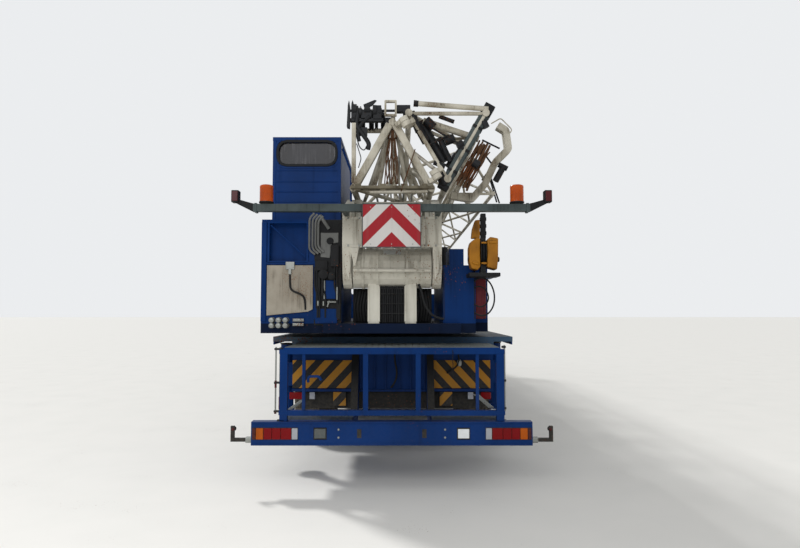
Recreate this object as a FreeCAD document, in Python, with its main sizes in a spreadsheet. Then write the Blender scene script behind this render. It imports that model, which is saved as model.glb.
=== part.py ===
"""Folding mobile tower crane on a four-axle truck carrier, in road transport state.

Frame: +Y forward, +X to the right, +Z up, millimetres. The origin lies on the ground, midway between
the ends and the sides. The superstructure turns on a slew ring over the rear axles. Its lattice mast
lies forward over the carrier, hinged at its rear foot, and an inner mast slides out of it. The jib is
hinged at the mast's head and folded back over the mast in three sections of triangular lattice.
"""

import FreeCAD, Part
import math
import os
import re

import Sketcher
from FreeCAD import Placement, Rotation, Vector

DOCUMENT = FreeCAD.newDocument("mobile_tower_crane")
SHEET = DOCUMENT.addObject("Spreadsheet::Sheet", "Sizes")
NODES = {}

SIZES = {
    # Running gear: tyres, axles and steering
    "tyre_radius": 650, "tyre_width": 385, "track_half": 1180, "tread_chamfer": 40,
    "tread_edge": 27, "wheel_sides": 20, "bar_sides": 12, "axle_sides": 8,
    "rim_radius": 300, "rim_dish": 25, "disc_thickness": 30, "hub_radius": 110, "bead_inset": 14,
    "axle_one_y": 4050, "axle_two_y": 2400, "axle_three_y": -2350, "axle_four_y": -4000,
    "axle_tube_radius": 70, "differential_radius": 190, "kingpin_offset": 880, "kingpin_radius": 45,
    "kingpin_eye_radius": 75, "kingpin_eye_height": 160, "knuckle_gap": 10, "knuckle_plate": 40,
    "knuckle_half_width": 80, "knuckle_web_gap": 85, "knuckle_web": 35, "drum_brake_radius": 210,
    "drum_brake_width": 140, "strut_x": 540, "strut_radius": 45, "strut_bracket_drop": 155,
    "strut_bracket_height": 100, "curved_gap": 0.3,
    # Carrier frame and deck
    "frame_half": 450, "frame_low": 880, "deck_low": 1405, "deck_top": 1460, "frame_rear_y": -6100,
    "nose_low": 430, "cab_rear_y": 4880, "neck_depth": 190, "neck_slope": 160,
    "deck_half": 1340, "deck_front_y": 4600, "skirt_low": 1310, "skirt_thickness": 50,
    # Rear bumper, platform and guard frame
    "bumper_half": 1375, "bumper_rear_y": -6910, "bumper_depth": 100, "bumper_low": 437,
    "bumper_top": 666, "hanger_inner": 380, "hanger_low": 500, "platform_outer": 1100,
    "platform_thickness": 26, "platform_front_y": -6330, "guard_rear_y": -6880, "guard_tube": 60,
    "guard_half": 1070, "guard_outer_post": 75, "guard_inner_post_x": 260, "guard_inner_post": 50,
    "guard_rail": 50, "guard_top": 1370, "guard_bottom": 720, "grating_thickness": 15,
    "marker_length": 205, "marker_low": 470, "marker_top": 620, "marker_thickness": 34,
    "lamp_low": 493, "lamp_top": 611, "lamp_inner": 915, "lamp_outer": 1365, "lamp_depth": 15,
    "small_lamp_x": 700, "small_lamp_half": 65,
    # Outriggers
    "housing_half": 1120, "housing_low": 850, "housing_top": 1310, "front_housing_y": 1050,
    "rear_housing_y": -5800, "housing_depth": 600, "beam_pitch": 300, "beam_width": 220,
    "beam_low": 910, "beam_top": 1170, "beam_clearance": 8, "beam_inner_end": 900,
    "jack_x": 1205, "sleeve_radius": 75, "jack_rod_radius": 55, "sleeve_low": 600,
    "sleeve_top": 1380, "jack_foot_radius": 140, "jack_foot_low": 430, "jack_foot_thickness": 30,
    # Lockers, tank, engine and its hood
    "locker_outer": 1330, "locker_low": 560, "locker_rear_y": -1600, "locker_front_y": 550,
    "locker_split_y": -550, "locker_gap": 50, "tank_radius": 330, "tank_x": 880, "tank_z": 930,
    "rear_locker_outer": 1100, "rear_locker_low": 800, "rear_locker_rear_y": -5460,
    "rear_locker_front_y": -4800, "hood_half": 620, "hood_rear_y": 160, "hood_front_y": 1880,
    "hood_top": 1900, "hood_wall": 20, "hood_bevel": 90, "grille_slot": 30, "grille_pitch": 70,
    "grille_count": 4, "grille_inset": 160, "engine_half": 350, "engine_rear_y": 360,
    "engine_front_y": 1700, "engine_top": 1800,
    "mast_rest_half": 350, "mast_rest_y": 3000, "mast_rest_depth": 160, "mast_rest_gap": 40,
    # Driver's cab
    "cab_half": 1250, "cab_low": 600, "cab_top": 1980, "cab_nose_y": 6560, "cab_chin_y": 6620,
    "cab_chin_z": 1100, "cab_brow_y": 6430, "cab_brow_z": 1900, "cab_roof_front_y": 6320,
    "cab_wall": 45, "screen_half": 1120, "screen_low": 1150, "screen_top": 1850, "pane": 10,
    "door_rear_y": 5150, "door_front_y": 6150, "door_low": 700, "door_top": 1860, "door_gap": 6,
    "door_window_low": 1250, "door_window_margin": 110, "hinge_radius": 9.7, "hinge_length": 120,
    "seat_half": 260, "seat_x": 620, "seat_rear_y": 4935, "seat_depth": 520, "seat_top": 1000,
    "seat_back_top": 1650, "seat_back": 130, "dash_rear_y": 6080, "dash_top": 1120,
    "column_radius": 35, "column_length": 250, "column_tilt": 35, "steering_radius": 210,
    "front_bumper_y": 6600, "front_bumper_depth": 130, "front_bumper_low": 420,
    "front_bumper_top": 640, "head_lamp_x": 1030, "head_lamp_half": 150, "tow_lug_x": 300,
    "tow_lug_thickness": 50, "tow_bore_radius": 25, "tow_lug_radius": 70, "tow_z": 530,
    # Slew ring, turntable and counterweight
    "slew_y": -3700, "slew_radius": 700, "slew_bore": 500, "turntable_low": 1520,
    "turntable_top": 1620, "turntable_tail_y": -6750, "turntable_tail_half": 700,
    "turntable_half": 950, "turntable_nose_y": -1150, "weight_half": 1200, "weight_rear_y": -2400,
    "weight_front_y": -1200, "weight_top": 2050, "weight_slab": 130, "weight_joint": 10,
    # Mast stand: two legs that carry the torque tube
    "pivot_y": -6600, "pivot_z": 2190, "leg_inner": 132, "leg_outer": 245, "torque_tube_radius": 205,
    "torque_tube_half": 400, "pivot_pin_radius": 60, "pivot_pin_half": 515,
    # Operator's cab
    "booth_left": -1290, "booth_right": -560, "booth_rear_y": -6450, "booth_front_y": -4950,
    "booth_top": 3620, "booth_wall": 40, "booth_floor": 330, "cabinet_left": -1344,
    "cabinet_right": -520, "cabinet_rear_y": -6700, "cabinet_top": 2690, "cabinet_pocket": 60,
    "booth_door_rear_y": -5850, "booth_door_front_y": -5050, "booth_window_low": 3330,
    "booth_window_top": 3570, "booth_window_margin": 60,
    # Power unit, winch and hook block
    "power_left": 525, "power_right": 860, "power_rear_y": -6650, "power_front_y": -5000,
    "power_top": 2220, "power_wide": 1050, "power_wide_rear_y": -6200, "power_stack_left": 590,
    "power_stack_right": 740, "power_stack_top": 2390, "shelf_right": 1070, "shelf_left": 770,
    "shelf_rear_y": -6930, "shelf_top": 2125, "shelf_thickness": 30, "winch_y": -5150,
    "winch_radius": 160, "winch_flange_radius": 200, "winch_half": 240, "winch_z": 1850,
    "hook_cheek": 110, "hook_gap": 70, "hook_top": 2490, "hook_sheave_radius": 120,
    # Outer mast
    "mast_half": 425, "mast_low": 2120, "mast_chord": 90, "mast_lacing": 50, "mast_rear_y": -6300,
    "mast_front_y": 5600, "mast_bays": 10, "cheek_inner": 410, "cheek_outer": 500,
    "cheek_radius": 215, "shoe_length": 120, "shoe_depth": 35, "cheek_front_y": -5700,
    "shroud_rear_y": -6860, "shroud_low": 2390, "shroud_top": 2690, "shroud_plate": 40,
    # Light beam, board and beacons
    "light_rear_y": -7170, "light_depth": 80, "light_half": 1325, "light_low": 2700,
    "light_top": 2770, "light_arm_x": 455, "light_arm": 50, "board_width": 564, "board_height": 423,
    "board_thickness": 20, "beacon_x": 1205, "beacon_radius": 70, "beacon_height": 190,
    "beacon_foot_radius": 45, "beacon_foot_height": 25, "wing_lamp_x": 1500, "wing_lamp_half": 32,
    "wing_lamp_low": 2790, "wing_lamp_top": 2900,
    # Inner mast and its head
    "inner_half": 325, "inner_chord": 70, "inner_lacing": 40, "inner_rear_y": -5900,
    "inner_front_y": 6600, "inner_bays": 10, "head_front_y": 7200, "head_plate": 40,
    "jib_pivot_y": 6950, "jib_pin_radius": 35,
    # Raise cylinders
    "cylinder_x": 340, "cylinder_foot_y": -6300, "cylinder_foot_z": 1700, "cylinder_pin_y": -3600,
    "cylinder_pin_z": 2070, "cylinder_radius": 50, "cylinder_length": 1900, "piston_radius": 32,
    "cylinder_eye_radius": 42, "cylinder_eye_half": 22, "ear_gap": 18, "ear_plate": 18,
    # Jib: root, middle and tip sections
    "jib_side": 820, "jib_chord": 80, "jib_lacing": 45, "jib_base_z": 3040, "jib_rear_y": -6600,
    "jib_root_bays": 10, "fold_gap": 200, "fold_y": -6680, "mid_front_y": 5400, "mid_bays": 9,
    "lug_thickness": 45, "lug_radius": 50, "lug_pin_radius": 20, "tip_side": 450, "tip_chord": 50,
    "tip_lacing": 30, "tip_gap": 120, "tip_rear_y": -6100, "tip_front_y": 5320, "tip_fold_y": 5460,
    "tip_bays": 10, "lug_edge": 40, "lug_play": 8, "jib_lug_room": 250, "sheave_radius": 150,
    "sheave_thickness": 40, "sheave_step": 20, "sheave_axle": 30, "sheave_post": 40, "sheave_set_y": 260,
    "sheave_left": 425, "sheave_right": 5, "strut_width": 110, "strut_over": 110, "strut_y": 80,
    "hoop_width": 80,
    "hoop_a_x": 663, "hoop_a_z": 3060, "hoop_b_x": 900, "hoop_b_z": 3023, "hoop_c_x": 1051,
    "hoop_c_z": 3195, "hoop_d_x": 1169, "hoop_d_z": 3444, "hoop_e_x": 1320, "hoop_e_z": 3595,
    "hoop_f_x": 1293, "hoop_f_z": 3810, "hoop_g_x": 1200, "hoop_g_z": 3870,
    "crane_top": 4000,
}

PROBE_CELL = "D1"


def fill_sheet():
    """Write every driving size into the sheet under its alias."""
    for row, (alias, value) in enumerate(SIZES.items(), start=1):
        SHEET.set(f"A{row}", alias)
        SHEET.set(f"B{row}", str(value))
        SHEET.setAlias(f"B{row}", alias)
    SHEET.recompute()


def cell(alias):
    """The size held in the sheet under an alias."""
    return float(SHEET.get(alias))


def qualified(text):
    """The expression with each alias written as a cell of the sheet."""
    return re.sub(r"[a-z][a-z_]+", lambda word: SHEET.Name + "." + word.group(0)
                  if word.group(0) in SIZES else word.group(0), str(text))


def amount(text):
    """The present value of an expression on the sheet."""
    SHEET.set(PROBE_CELL, "=" + str(text))
    SHEET.recompute()
    return float(SHEET.get(PROBE_CELL))


def bind(target, **properties):
    """Tie properties of an object to expressions; a double underscore stands for a point."""
    for name, text in properties.items():
        target.setExpression(name.replace("__", "."), qualified(text))


def block(name, across, along, upward):
    """A box; each argument after the name is a pair of expressions, low and high."""
    box = DOCUMENT.addObject("Part::Box", name)
    spans = (("Length", "x", across), ("Width", "y", along), ("Height", "z", upward))
    for side, axis, (low, high) in spans:
        bind(box, **{side: f"({high}) - ({low})", f"Placement__Base__{axis}": low})
    return box


TURNS = {
    "x": Rotation(Vector(0, 1, 0), 90),
    "y": Rotation(Vector(1, 0, 0), -90),
    "z": Rotation(),
}


def bar(name, along, radius, start, length, sides="bar_sides"):
    """A many-sided bar along one axis from its start point; its corners lie at the radius."""
    prism = DOCUMENT.addObject("Part::Prism", name)
    prism.Placement = Placement(Vector(), TURNS[along])
    bind(prism, Polygon=sides, Circumradius=radius, Height=length)
    for axis, text in zip("xyz", start):
        bind(prism, **{f"Placement__Base__{axis}": text})
    return prism


def bore(name, along, radius, start, length, sides="bar_sides"):
    """A many-sided hole for a bar to turn in; its flats lie at the radius."""
    return bar(name, along, f"({radius}) / cos(180 / {sides})", start, length, sides)


def turned(name, along, radius, start, length):
    """A truly round pin or hole along one axis."""
    cylinder = DOCUMENT.addObject("Part::Cylinder", name)
    cylinder.Placement = Placement(Vector(), TURNS[along])
    bind(cylinder, Radius=radius, Height=length)
    for axis, text in zip("xyz", start):
        bind(cylinder, **{f"Placement__Base__{axis}": text})
    return cylinder


def sketch(body, name, role, corners, offset="0"):
    """A closed outline on a body's origin plane; its corners are pairs of expressions."""
    outline = body.newObject("Sketcher::SketchObject", name)
    plane = next(item for item in body.Origin.OriginFeatures if item.Role == role)
    outline.AttachmentSupport = [(plane, "")]
    outline.MapMode = "FlatFace"
    bind(outline, AttachmentOffset__Base__z=offset)
    points = [Vector(amount(first), amount(second), 0) for first, second in corners]
    count = len(points)
    for index in range(count):
        outline.addGeometry(Part.LineSegment(points[index], points[(index + 1) % count]))
    for index in range(count):
        outline.addConstraint(Sketcher.Constraint("Coincident", index, 2, (index + 1) % count, 1))
    for index, pair in enumerate(corners):
        for kind, text, value in zip(("DistanceX", "DistanceY"), pair, points[index]):
            number = outline.addConstraint(Sketcher.Constraint(kind, -1, 1, index, 1, value))
            outline.setExpression(f"Constraints[{number}]", qualified(text))
    return outline


def slab(name, role, corners, low, high):
    """An outline padded between two levels along its plane's axis (X for YZ, Y for XZ, Z for XY)."""
    body = DOCUMENT.addObject("PartDesign::Body", name)
    start = f"-({high})" if role == "XZ_Plane" else low
    outline = sketch(body, name + "_outline", role, corners, start)
    pad = body.newObject("PartDesign::Pad", name + "_pad")
    pad.Profile = outline
    bind(pad, Length=f"({high}) - ({low})")
    body.Tip = pad
    return body


def lathe(profile, sides, closed):
    """A solid of flat faces round the X axis: a profile of (across, radius) carried round in steps.

    The flats lie at the stated radius. An open profile gets a flat cap at each end.
    """
    angles = [2 * math.pi * (index + 0.5) / sides for index in range(sides)]
    rings = [[Vector(across, radius / math.cos(math.pi / sides) * math.cos(angle),
                     radius / math.cos(math.pi / sides) * math.sin(angle)) for angle in angles]
             for across, radius in profile]
    faces = []
    for index in range(len(rings) if closed else len(rings) - 1):
        first, second = rings[index], rings[(index + 1) % len(rings)]
        for step in range(sides):
            after = (step + 1) % sides
            corners = [first[step], first[after], second[after], second[step]]
            faces.append(Part.Face(Part.makePolygon(corners + corners[:1])))
    if not closed:
        faces += [Part.Face(Part.makePolygon(ring + ring[:1])) for ring in (rings[0], rings[-1])]
    shape = Part.Solid(Part.Shell(faces))
    if shape.Volume < 0:
        shape.reverse()
    return shape


def placed(name, shape, place):
    """An object with a worked-out shape, put at a place given as three expressions."""
    feature = solid(name, shape)
    for axis, text in zip("xyz", place):
        bind(feature, **{f"Placement__Base__{axis}": text})
    return feature


def joined(name, *parts):
    """The union of several objects, with faces in one plane merged."""
    union = DOCUMENT.addObject("Part::MultiFuse", name)
    union.Shapes = list(parts)
    union.Refine = True
    return union


def carved(name, base, *tools):
    """The base without the tools."""
    cut = DOCUMENT.addObject("Part::Cut", name)
    cut.Base = base
    cut.Tool = tools[0] if len(tools) == 1 else joined(name + "_tools", *tools)
    cut.Refine = True
    return cut


def together(name, *parts):
    """Several solids that don't touch, kept as one object."""
    group = DOCUMENT.addObject("Part::Compound", name)
    group.Links = list(parts)
    return group


def node(label, shape_object):
    """Name an object as one of the crane's pieces."""
    shape_object.Label = label
    NODES[label] = shape_object
    return shape_object


def solid(name, shape):
    """An object whose shape is worked out by Part's own functions from the sheet's sizes."""
    feature = DOCUMENT.addObject("Part::Feature", name)
    feature.Shape = shape
    return feature


def signed(side, text):
    """An expression for a place on the left (-1) or the right (1)."""
    return f"-({text})" if side < 0 else text


def span(side, inner, outer):
    """The low and high ends of a stretch on one side of the middle plane."""
    return (f"-({outer})", f"-({inner})") if side < 0 else (inner, outer)


DIFFERENTIAL_FORM = ((-1.25, 0.45), (-0.6, 0.85), (0.0, 1.0), (0.6, 0.85), (1.25, 0.45))

EQUAL_RISE = math.sqrt(3) / 2
COSINE = 0.5
FOLD_TILT = 60
OUT_RIGHT = Vector(EQUAL_RISE, 0, COSINE)
OUT_DOWN = Vector(EQUAL_RISE, 0, -COSINE)
SHEAVE_PLACES = (0.92, 0.6, 0.3)

SIDES = {"left": -1, "right": 1}
AXLES = {"one": True, "two": True, "three": False, "four": True}
HOUSINGS = {"front": "front_housing_y", "rear": "rear_housing_y"}


def member(start, end, width):
    """A square tube between two points, one pair of its faces level where it can be."""
    run = end - start
    beam = Part.makeBox(width, width, run.Length, Vector(-width / 2, -width / 2, 0))
    beam.Placement = Placement(start, Rotation(Vector(0, 0, 1), run))
    return beam


def lacing(first, second, levels, width):
    """Zigzag members between two chords; each chord is a pair (x, z)."""
    rails = (first, second)
    pieces = []
    for index in range(len(levels) - 1):
        near, far = rails[index % 2], rails[(index + 1) % 2]
        start = Vector(near[0], levels[index], near[1])
        end = Vector(far[0], levels[index + 1], far[1])
        pieces.append(member(start, end, width))
    return pieces


def battens(corners, level, width):
    """A ring of members round the chords at one level."""
    ring = []
    for index, corner in enumerate(corners):
        other = corners[(index + 1) % len(corners)]
        ring.append(member(Vector(corner[0], level, corner[1]), Vector(other[0], level, other[1]), width))
    return ring


def lattice(corners, rear, front, bays, chord, width, margin):
    """Chords along Y with zigzag lacing on every face and a ring of battens at each end."""
    pieces = []
    for x, z in corners:
        pieces.append(Part.makeBox(chord, front - rear, chord, Vector(x - chord / 2, rear, z - chord / 2)))
    step = (front - rear - 2 * margin) / bays
    levels = [rear + margin + step * index for index in range(bays + 1)]
    for index, corner in enumerate(corners):
        pieces += lacing(corner, corners[(index + 1) % len(corners)], levels, width)
    for level in (levels[0], levels[-1]):
        pieces += battens(corners, level, width)
    return pieces


def fused(pieces):
    """One solid out of many."""
    return pieces[0].multiFuse(pieces[1:]).removeSplitter()


def chassis_frame():
    """Box frame with a gooseneck to the front, outrigger housings and rear hangers."""
    spine = slab("spine", "YZ_Plane", [
        ("frame_rear_y", "frame_low"), ("cab_rear_y - neck_depth - neck_slope", "frame_low"),
        ("cab_rear_y - neck_depth", "nose_low"), ("front_bumper_y", "nose_low"),
        ("front_bumper_y", "cab_low"), ("cab_rear_y - door_gap", "cab_low"),
        ("cab_rear_y - door_gap", "deck_low"), ("frame_rear_y", "deck_low")],
        "-frame_half", "frame_half")
    parts, tunnels = [spine], []
    for side in (-1, 1):
        parts.append(slab(f"hanger_{'left' if side < 0 else 'right'}", "YZ_Plane", [
            ("bumper_rear_y + bumper_depth", "hanger_low"), ("frame_rear_y - bumper_depth", "hanger_low"),
            ("frame_rear_y + housing_depth / 3", "frame_low"),
            ("frame_rear_y + housing_depth / 3", "housing_top"), ("frame_rear_y", "housing_top"),
            ("platform_front_y", "bumper_top - platform_thickness"),
            ("bumper_rear_y + bumper_depth", "bumper_top - platform_thickness")],
            *span(side, "hanger_inner", "frame_half")))
    for place, level in HOUSINGS.items():
        parts.append(block(f"housing_{place}", ("-housing_half", "housing_half"),
                           (f"{level} - housing_depth / 2", f"{level} + housing_depth / 2"),
                           ("housing_low", "housing_top")))
        for name, side in SIDES.items():
            middle = f"{level} + {side} * beam_pitch / 2"
            half = "(beam_width / 2 + beam_clearance)"
            tunnels.append(block(f"tunnel_{place}_{name}", ("-housing_half - 1", "housing_half + 1"),
                                 (f"{middle} - {half}", f"{middle} + {half}"),
                                 ("beam_low - curved_gap", "beam_top + beam_clearance")))
    for axle in AXLES:
        level = f"axle_{axle}_y"
        for name, side in SIDES.items():
            parts.append(block(f"strut_bracket_{axle}_{name}",
                               span(side, "frame_half - 20", "strut_x + strut_radius + 15"),
                               (f"{level} - strut_radius - 15", f"{level} + strut_radius + 15"),
                               ("deck_low - strut_bracket_drop - strut_bracket_height",
                                "deck_low - strut_bracket_drop")))
    rest = block("mast_rest", ("-mast_rest_half", "mast_rest_half"),
                 ("mast_rest_y - mast_rest_depth / 2", "mast_rest_y + mast_rest_depth / 2"),
                 ("deck_low - 20", "mast_low - mast_rest_gap"))
    notch = block("mast_rest_notch", ("-mast_rest_half + 110", "mast_rest_half - 110"),
                  ("mast_rest_y - mast_rest_depth", "mast_rest_y + mast_rest_depth"),
                  ("deck_top + 90", "mast_low - mast_rest_gap - 120"))
    parts.append(carved("mast_rest_frame", rest, notch))
    node("chassis_frame", carved("frame_body", joined("frame_union", *parts), *tunnels))


def deck():
    """Walkway plate over the frame, with a skirt at the rear and an opening for the mast rest."""
    plate = block("deck_plate", ("-deck_half", "deck_half"), ("frame_rear_y", "deck_front_y"),
                  ("deck_low", "deck_top"))
    skirt = block("deck_skirt", ("-deck_half + 220", "deck_half - 220"),
                  ("frame_rear_y - skirt_thickness", "frame_rear_y"), ("skirt_low", "deck_top"))
    hole = block("deck_rest_hole", ("-mast_rest_half", "mast_rest_half"),
                 ("mast_rest_y - mast_rest_depth / 2", "mast_rest_y + mast_rest_depth / 2"),
                 ("deck_low - 1", "deck_top + 1"))
    node("deck", carved("deck_body", joined("deck_union", plate, skirt), hole))


def rear_bumper():
    """Bumper channel with pockets for the lamps, and two platform plates in front of it."""
    beam = block("bumper_beam", ("-bumper_half", "bumper_half"),
                 ("bumper_rear_y", "bumper_rear_y + bumper_depth"), ("bumper_low", "bumper_top"))
    plates = [block(f"platform_{name}", span(side, "hanger_inner", "platform_outer"),
                    ("bumper_rear_y + bumper_depth - 10", "platform_front_y"),
                    ("bumper_top - platform_thickness", "bumper_top")) for name, side in SIDES.items()]
    pockets = []
    for name, side in SIDES.items():
        pockets.append(block(f"lamp_pocket_{name}", span(side, "lamp_inner", "lamp_outer"),
                             ("bumper_rear_y - 1", "bumper_rear_y + lamp_depth"),
                             ("lamp_low", "lamp_top")))
        pockets.append(block(f"small_pocket_{name}",
                             span(side, "small_lamp_x - small_lamp_half", "small_lamp_x + small_lamp_half"),
                             ("bumper_rear_y - 1", "bumper_rear_y + lamp_depth"),
                             ("lamp_low", "lamp_top")))
    node("rear_bumper", carved("bumper_body", joined("bumper_union", beam, *plates), *pockets))


def front_bumper():
    """Front beam with two towing lugs, and pockets for the head lamps."""
    rear = "front_bumper_y"
    front = "front_bumper_y + front_bumper_depth"
    beam = block("front_beam", ("-cab_half", "cab_half"), (rear, front),
                 ("front_bumper_low", "front_bumper_top"))
    pockets, parts = [], [beam]
    for name, side in SIDES.items():
        pockets.append(block(f"head_pocket_{name}",
                             span(side, "head_lamp_x - head_lamp_half", "head_lamp_x + head_lamp_half"),
                             (f"{front} - lamp_depth", f"{front} + 1"),
                             ("front_bumper_low + 50", "front_bumper_top - 50")))
        lug = slab(f"tow_lug_{name}", "YZ_Plane", [
            (f"{front} - 20", "tow_z - tow_lug_radius"),
            (f"{front} + tow_lug_radius", "tow_z - tow_lug_radius"),
            (f"{front} + tow_lug_radius + 30", "tow_z"),
            (f"{front} + tow_lug_radius", "tow_z + tow_lug_radius"),
            (f"{front} - 20", "tow_z + tow_lug_radius")],
            *span(side, "tow_lug_x", "tow_lug_x + tow_lug_thickness"))
        parts.append(lug)
        pockets.append(turned(f"tow_bore_{name}", "x", "tow_bore_radius",
                           (signed(side, "tow_lug_x + tow_lug_thickness / 2") + " - tow_lug_thickness",
                            f"{front} + tow_lug_radius / 2 + 10", "tow_z"), "tow_lug_thickness * 2"))
    node("front_bumper", carved("front_bumper_body", joined("front_union", *parts), *pockets))


def lamps():
    """Tail lamp strips, two square lamps and the head lamps, each seated in its pocket."""
    pieces = []
    rear = ("bumper_rear_y - lamp_depth", "bumper_rear_y + lamp_depth")
    front = ("front_bumper_y + front_bumper_depth - lamp_depth",
             "front_bumper_y + front_bumper_depth + lamp_depth")
    for name, side in SIDES.items():
        pieces.append(block(f"tail_lamp_{name}", span(side, "lamp_inner", "lamp_outer"), rear,
                            ("lamp_low", "lamp_top")))
        pieces.append(block(f"square_lamp_{name}",
                            span(side, "small_lamp_x - small_lamp_half", "small_lamp_x + small_lamp_half"),
                            rear, ("lamp_low", "lamp_top")))
        pieces.append(block(f"head_lamp_{name}",
                            span(side, "head_lamp_x - head_lamp_half", "head_lamp_x + head_lamp_half"),
                            front, ("front_bumper_low + 50", "front_bumper_top - 50")))
    node("lamps", together("lamp_set", *pieces))


def marker_arms():
    """Bent arms at the rear bumper's ends, each with a small end lamp."""
    arms = []
    tip = "(bumper_half + marker_length)"
    for name, side in SIDES.items():
        along = ("bumper_rear_y + 20", "bumper_rear_y + 20 + marker_thickness")
        reach = block(f"arm_reach_{name}", span(side, "bumper_half", tip), along,
                      ("marker_low", "marker_low + marker_thickness"))
        rise = block(f"arm_rise_{name}", span(side, f"{tip} - marker_thickness", tip),
                     along, ("marker_low", "marker_top"))
        arms.append(joined(f"arm_{name}", reach, rise))
    node("marker_arms", together("marker_set", *arms))


def rear_guard():
    """Tube frame round the rear platform, with a grating on top."""
    rear = ("guard_rear_y", "guard_rear_y + guard_tube")
    parts = []
    for name, side in SIDES.items():
        parts.append(block(f"guard_outer_{name}",
                           span(side, "guard_half - guard_outer_post / 2",
                                "guard_half + guard_outer_post / 2"),
                           rear, ("bumper_top", "guard_top")))
        parts.append(block(f"guard_inner_{name}",
                           span(side, "guard_inner_post_x - guard_inner_post / 2",
                                "guard_inner_post_x + guard_inner_post / 2"),
                           rear, ("guard_bottom", "guard_top")))
        parts.append(block(f"guard_side_{name}",
                           span(side, "guard_half - guard_rail / 2", "guard_half + guard_rail / 2"),
                           ("guard_rear_y", "frame_rear_y - skirt_thickness"),
                           ("guard_top - guard_rail", "guard_top")))
    width = ("-guard_half", "guard_half")
    parts.append(block("guard_top_rail", width, rear, ("guard_top - guard_rail", "guard_top")))
    parts.append(block("guard_low_rail", width, rear, ("guard_bottom", "guard_bottom + guard_rail")))
    parts.append(block("guard_grating", width, ("guard_rear_y", "frame_rear_y - skirt_thickness"),
                       ("guard_top", "guard_top + grating_thickness")))
    node("rear_guard", joined("guard_union", *parts))


def side_lockers():
    """Locker boxes between the axles and behind the last one, and the fuel tank on the right."""
    left = [("locker_rear_y", "locker_split_y"), ("locker_split_y + locker_gap", "locker_front_y")]
    pieces = [block(f"locker_left_{number}", span(-1, "frame_half", "locker_outer"), along,
                    ("locker_low", "deck_low")) for number, along in enumerate(left)]
    pieces.append(block("locker_right", span(1, "frame_half", "locker_outer"), left[0],
                        ("locker_low", "deck_low")))
    tank = bar("tank_shell", "y", "tank_radius", ("tank_x", "locker_split_y + locker_gap", "tank_z"),
               "locker_front_y - locker_split_y - locker_gap")
    saddle = block("tank_saddle", ("frame_half", "tank_x"),
                   ("locker_split_y + locker_gap * 4", "locker_front_y - locker_gap * 3"),
                   ("tank_z", "deck_low"))
    pieces.append(joined("tank", tank, saddle))
    for name, side in SIDES.items():
        pieces.append(block(f"rear_locker_{name}", span(side, "frame_half", "rear_locker_outer"),
                            ("rear_locker_rear_y", "rear_locker_front_y"),
                            ("rear_locker_low", "deck_low")))
    node("side_lockers", together("locker_set", *pieces))


def engine():
    """Engine as one plain block on the deck, and the hood over it with its side grilles."""
    node("engine_block", block("engine_mass", ("-engine_half", "engine_half"),
                               ("engine_rear_y", "engine_front_y"), ("deck_top", "engine_top")))
    shell = slab("hood_shell", "XZ_Plane", [
        ("-hood_half", "deck_top"), ("hood_half", "deck_top"), ("hood_half", "hood_top - hood_bevel"),
        ("hood_half - hood_bevel", "hood_top"), ("hood_bevel - hood_half", "hood_top"),
        ("-hood_half", "hood_top - hood_bevel")], "hood_rear_y", "hood_front_y")
    room = slab("hood_room", "XZ_Plane", [
        ("hood_wall - hood_half", "deck_top - 1"), ("hood_half - hood_wall", "deck_top - 1"),
        ("hood_half - hood_wall", "hood_top - hood_bevel - hood_wall / 2"),
        ("hood_half - hood_bevel - hood_wall / 2", "hood_top - hood_wall"),
        ("hood_bevel + hood_wall / 2 - hood_half", "hood_top - hood_wall"),
        ("hood_wall - hood_half", "hood_top - hood_bevel - hood_wall / 2")],
        "hood_rear_y + hood_wall", "hood_front_y - hood_wall")
    slots = []
    for index in range(int(cell("grille_count"))):
        low = f"deck_top + grille_pitch * {index + 1}"
        slots.append(block(f"hood_slot_{index}", ("-hood_half - 1", "hood_half + 1"),
                           ("hood_rear_y + grille_inset", "hood_front_y - grille_inset"),
                           (low, f"{low} + grille_slot")))
    node("engine_hood", carved("hood_body", shell, room, *slots))


def cab_profile(inset):
    """The driver's cab's side outline, moved inwards by a wall."""
    return [("cab_rear_y + %s" % inset, "cab_low + %s" % inset),
            ("cab_nose_y - %s" % inset, "cab_low + %s" % inset),
            ("cab_chin_y - %s" % inset, "cab_chin_z"),
            ("cab_brow_y - %s" % inset, "cab_brow_z"),
            ("cab_roof_front_y - %s / 2" % inset, "cab_top - %s" % inset),
            ("cab_rear_y + %s" % inset, "cab_top - %s" % inset)]


def driver_cab():
    """Low cab shell ahead of the first axle, open at its doors and its windscreen."""
    shell = slab("cab_shell", "YZ_Plane", cab_profile("0"), "-cab_half", "cab_half")
    room = slab("cab_room", "YZ_Plane", cab_profile("cab_wall"), "cab_wall - cab_half",
                "cab_half - cab_wall")
    doorway = block("cab_doorway", ("-cab_half - 1", "cab_half + 1"), ("door_rear_y", "door_front_y"),
                    ("door_low", "door_top"))
    screen = block("cab_screen_hole", ("-screen_half", "screen_half"),
                   ("cab_roof_front_y - cab_wall * 2", "cab_chin_y + 10"), ("screen_low", "screen_top"))
    node("driver_cab", carved("cab_body", shell, room, doorway, screen))


def screen_line(level, inset):
    """Where the sloping front wall lies at a level, moved inwards."""
    slope = "(cab_brow_y - cab_chin_y) / (cab_brow_z - cab_chin_z)"
    return f"cab_chin_y + ({level} - cab_chin_z) * {slope} - {inset}"


def cab_glass():
    """Windscreen pane in its opening."""
    node("cab_glass", slab("screen_pane", "YZ_Plane", [
        (screen_line("screen_low", "cab_wall / 2"), "screen_low"),
        (screen_line("screen_top", "cab_wall / 2"), "screen_top"),
        (screen_line("screen_top", "cab_wall / 2 + pane"), "screen_top"),
        (screen_line("screen_low", "cab_wall / 2 + pane"), "screen_low")],
        "-screen_half", "screen_half"))


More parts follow.
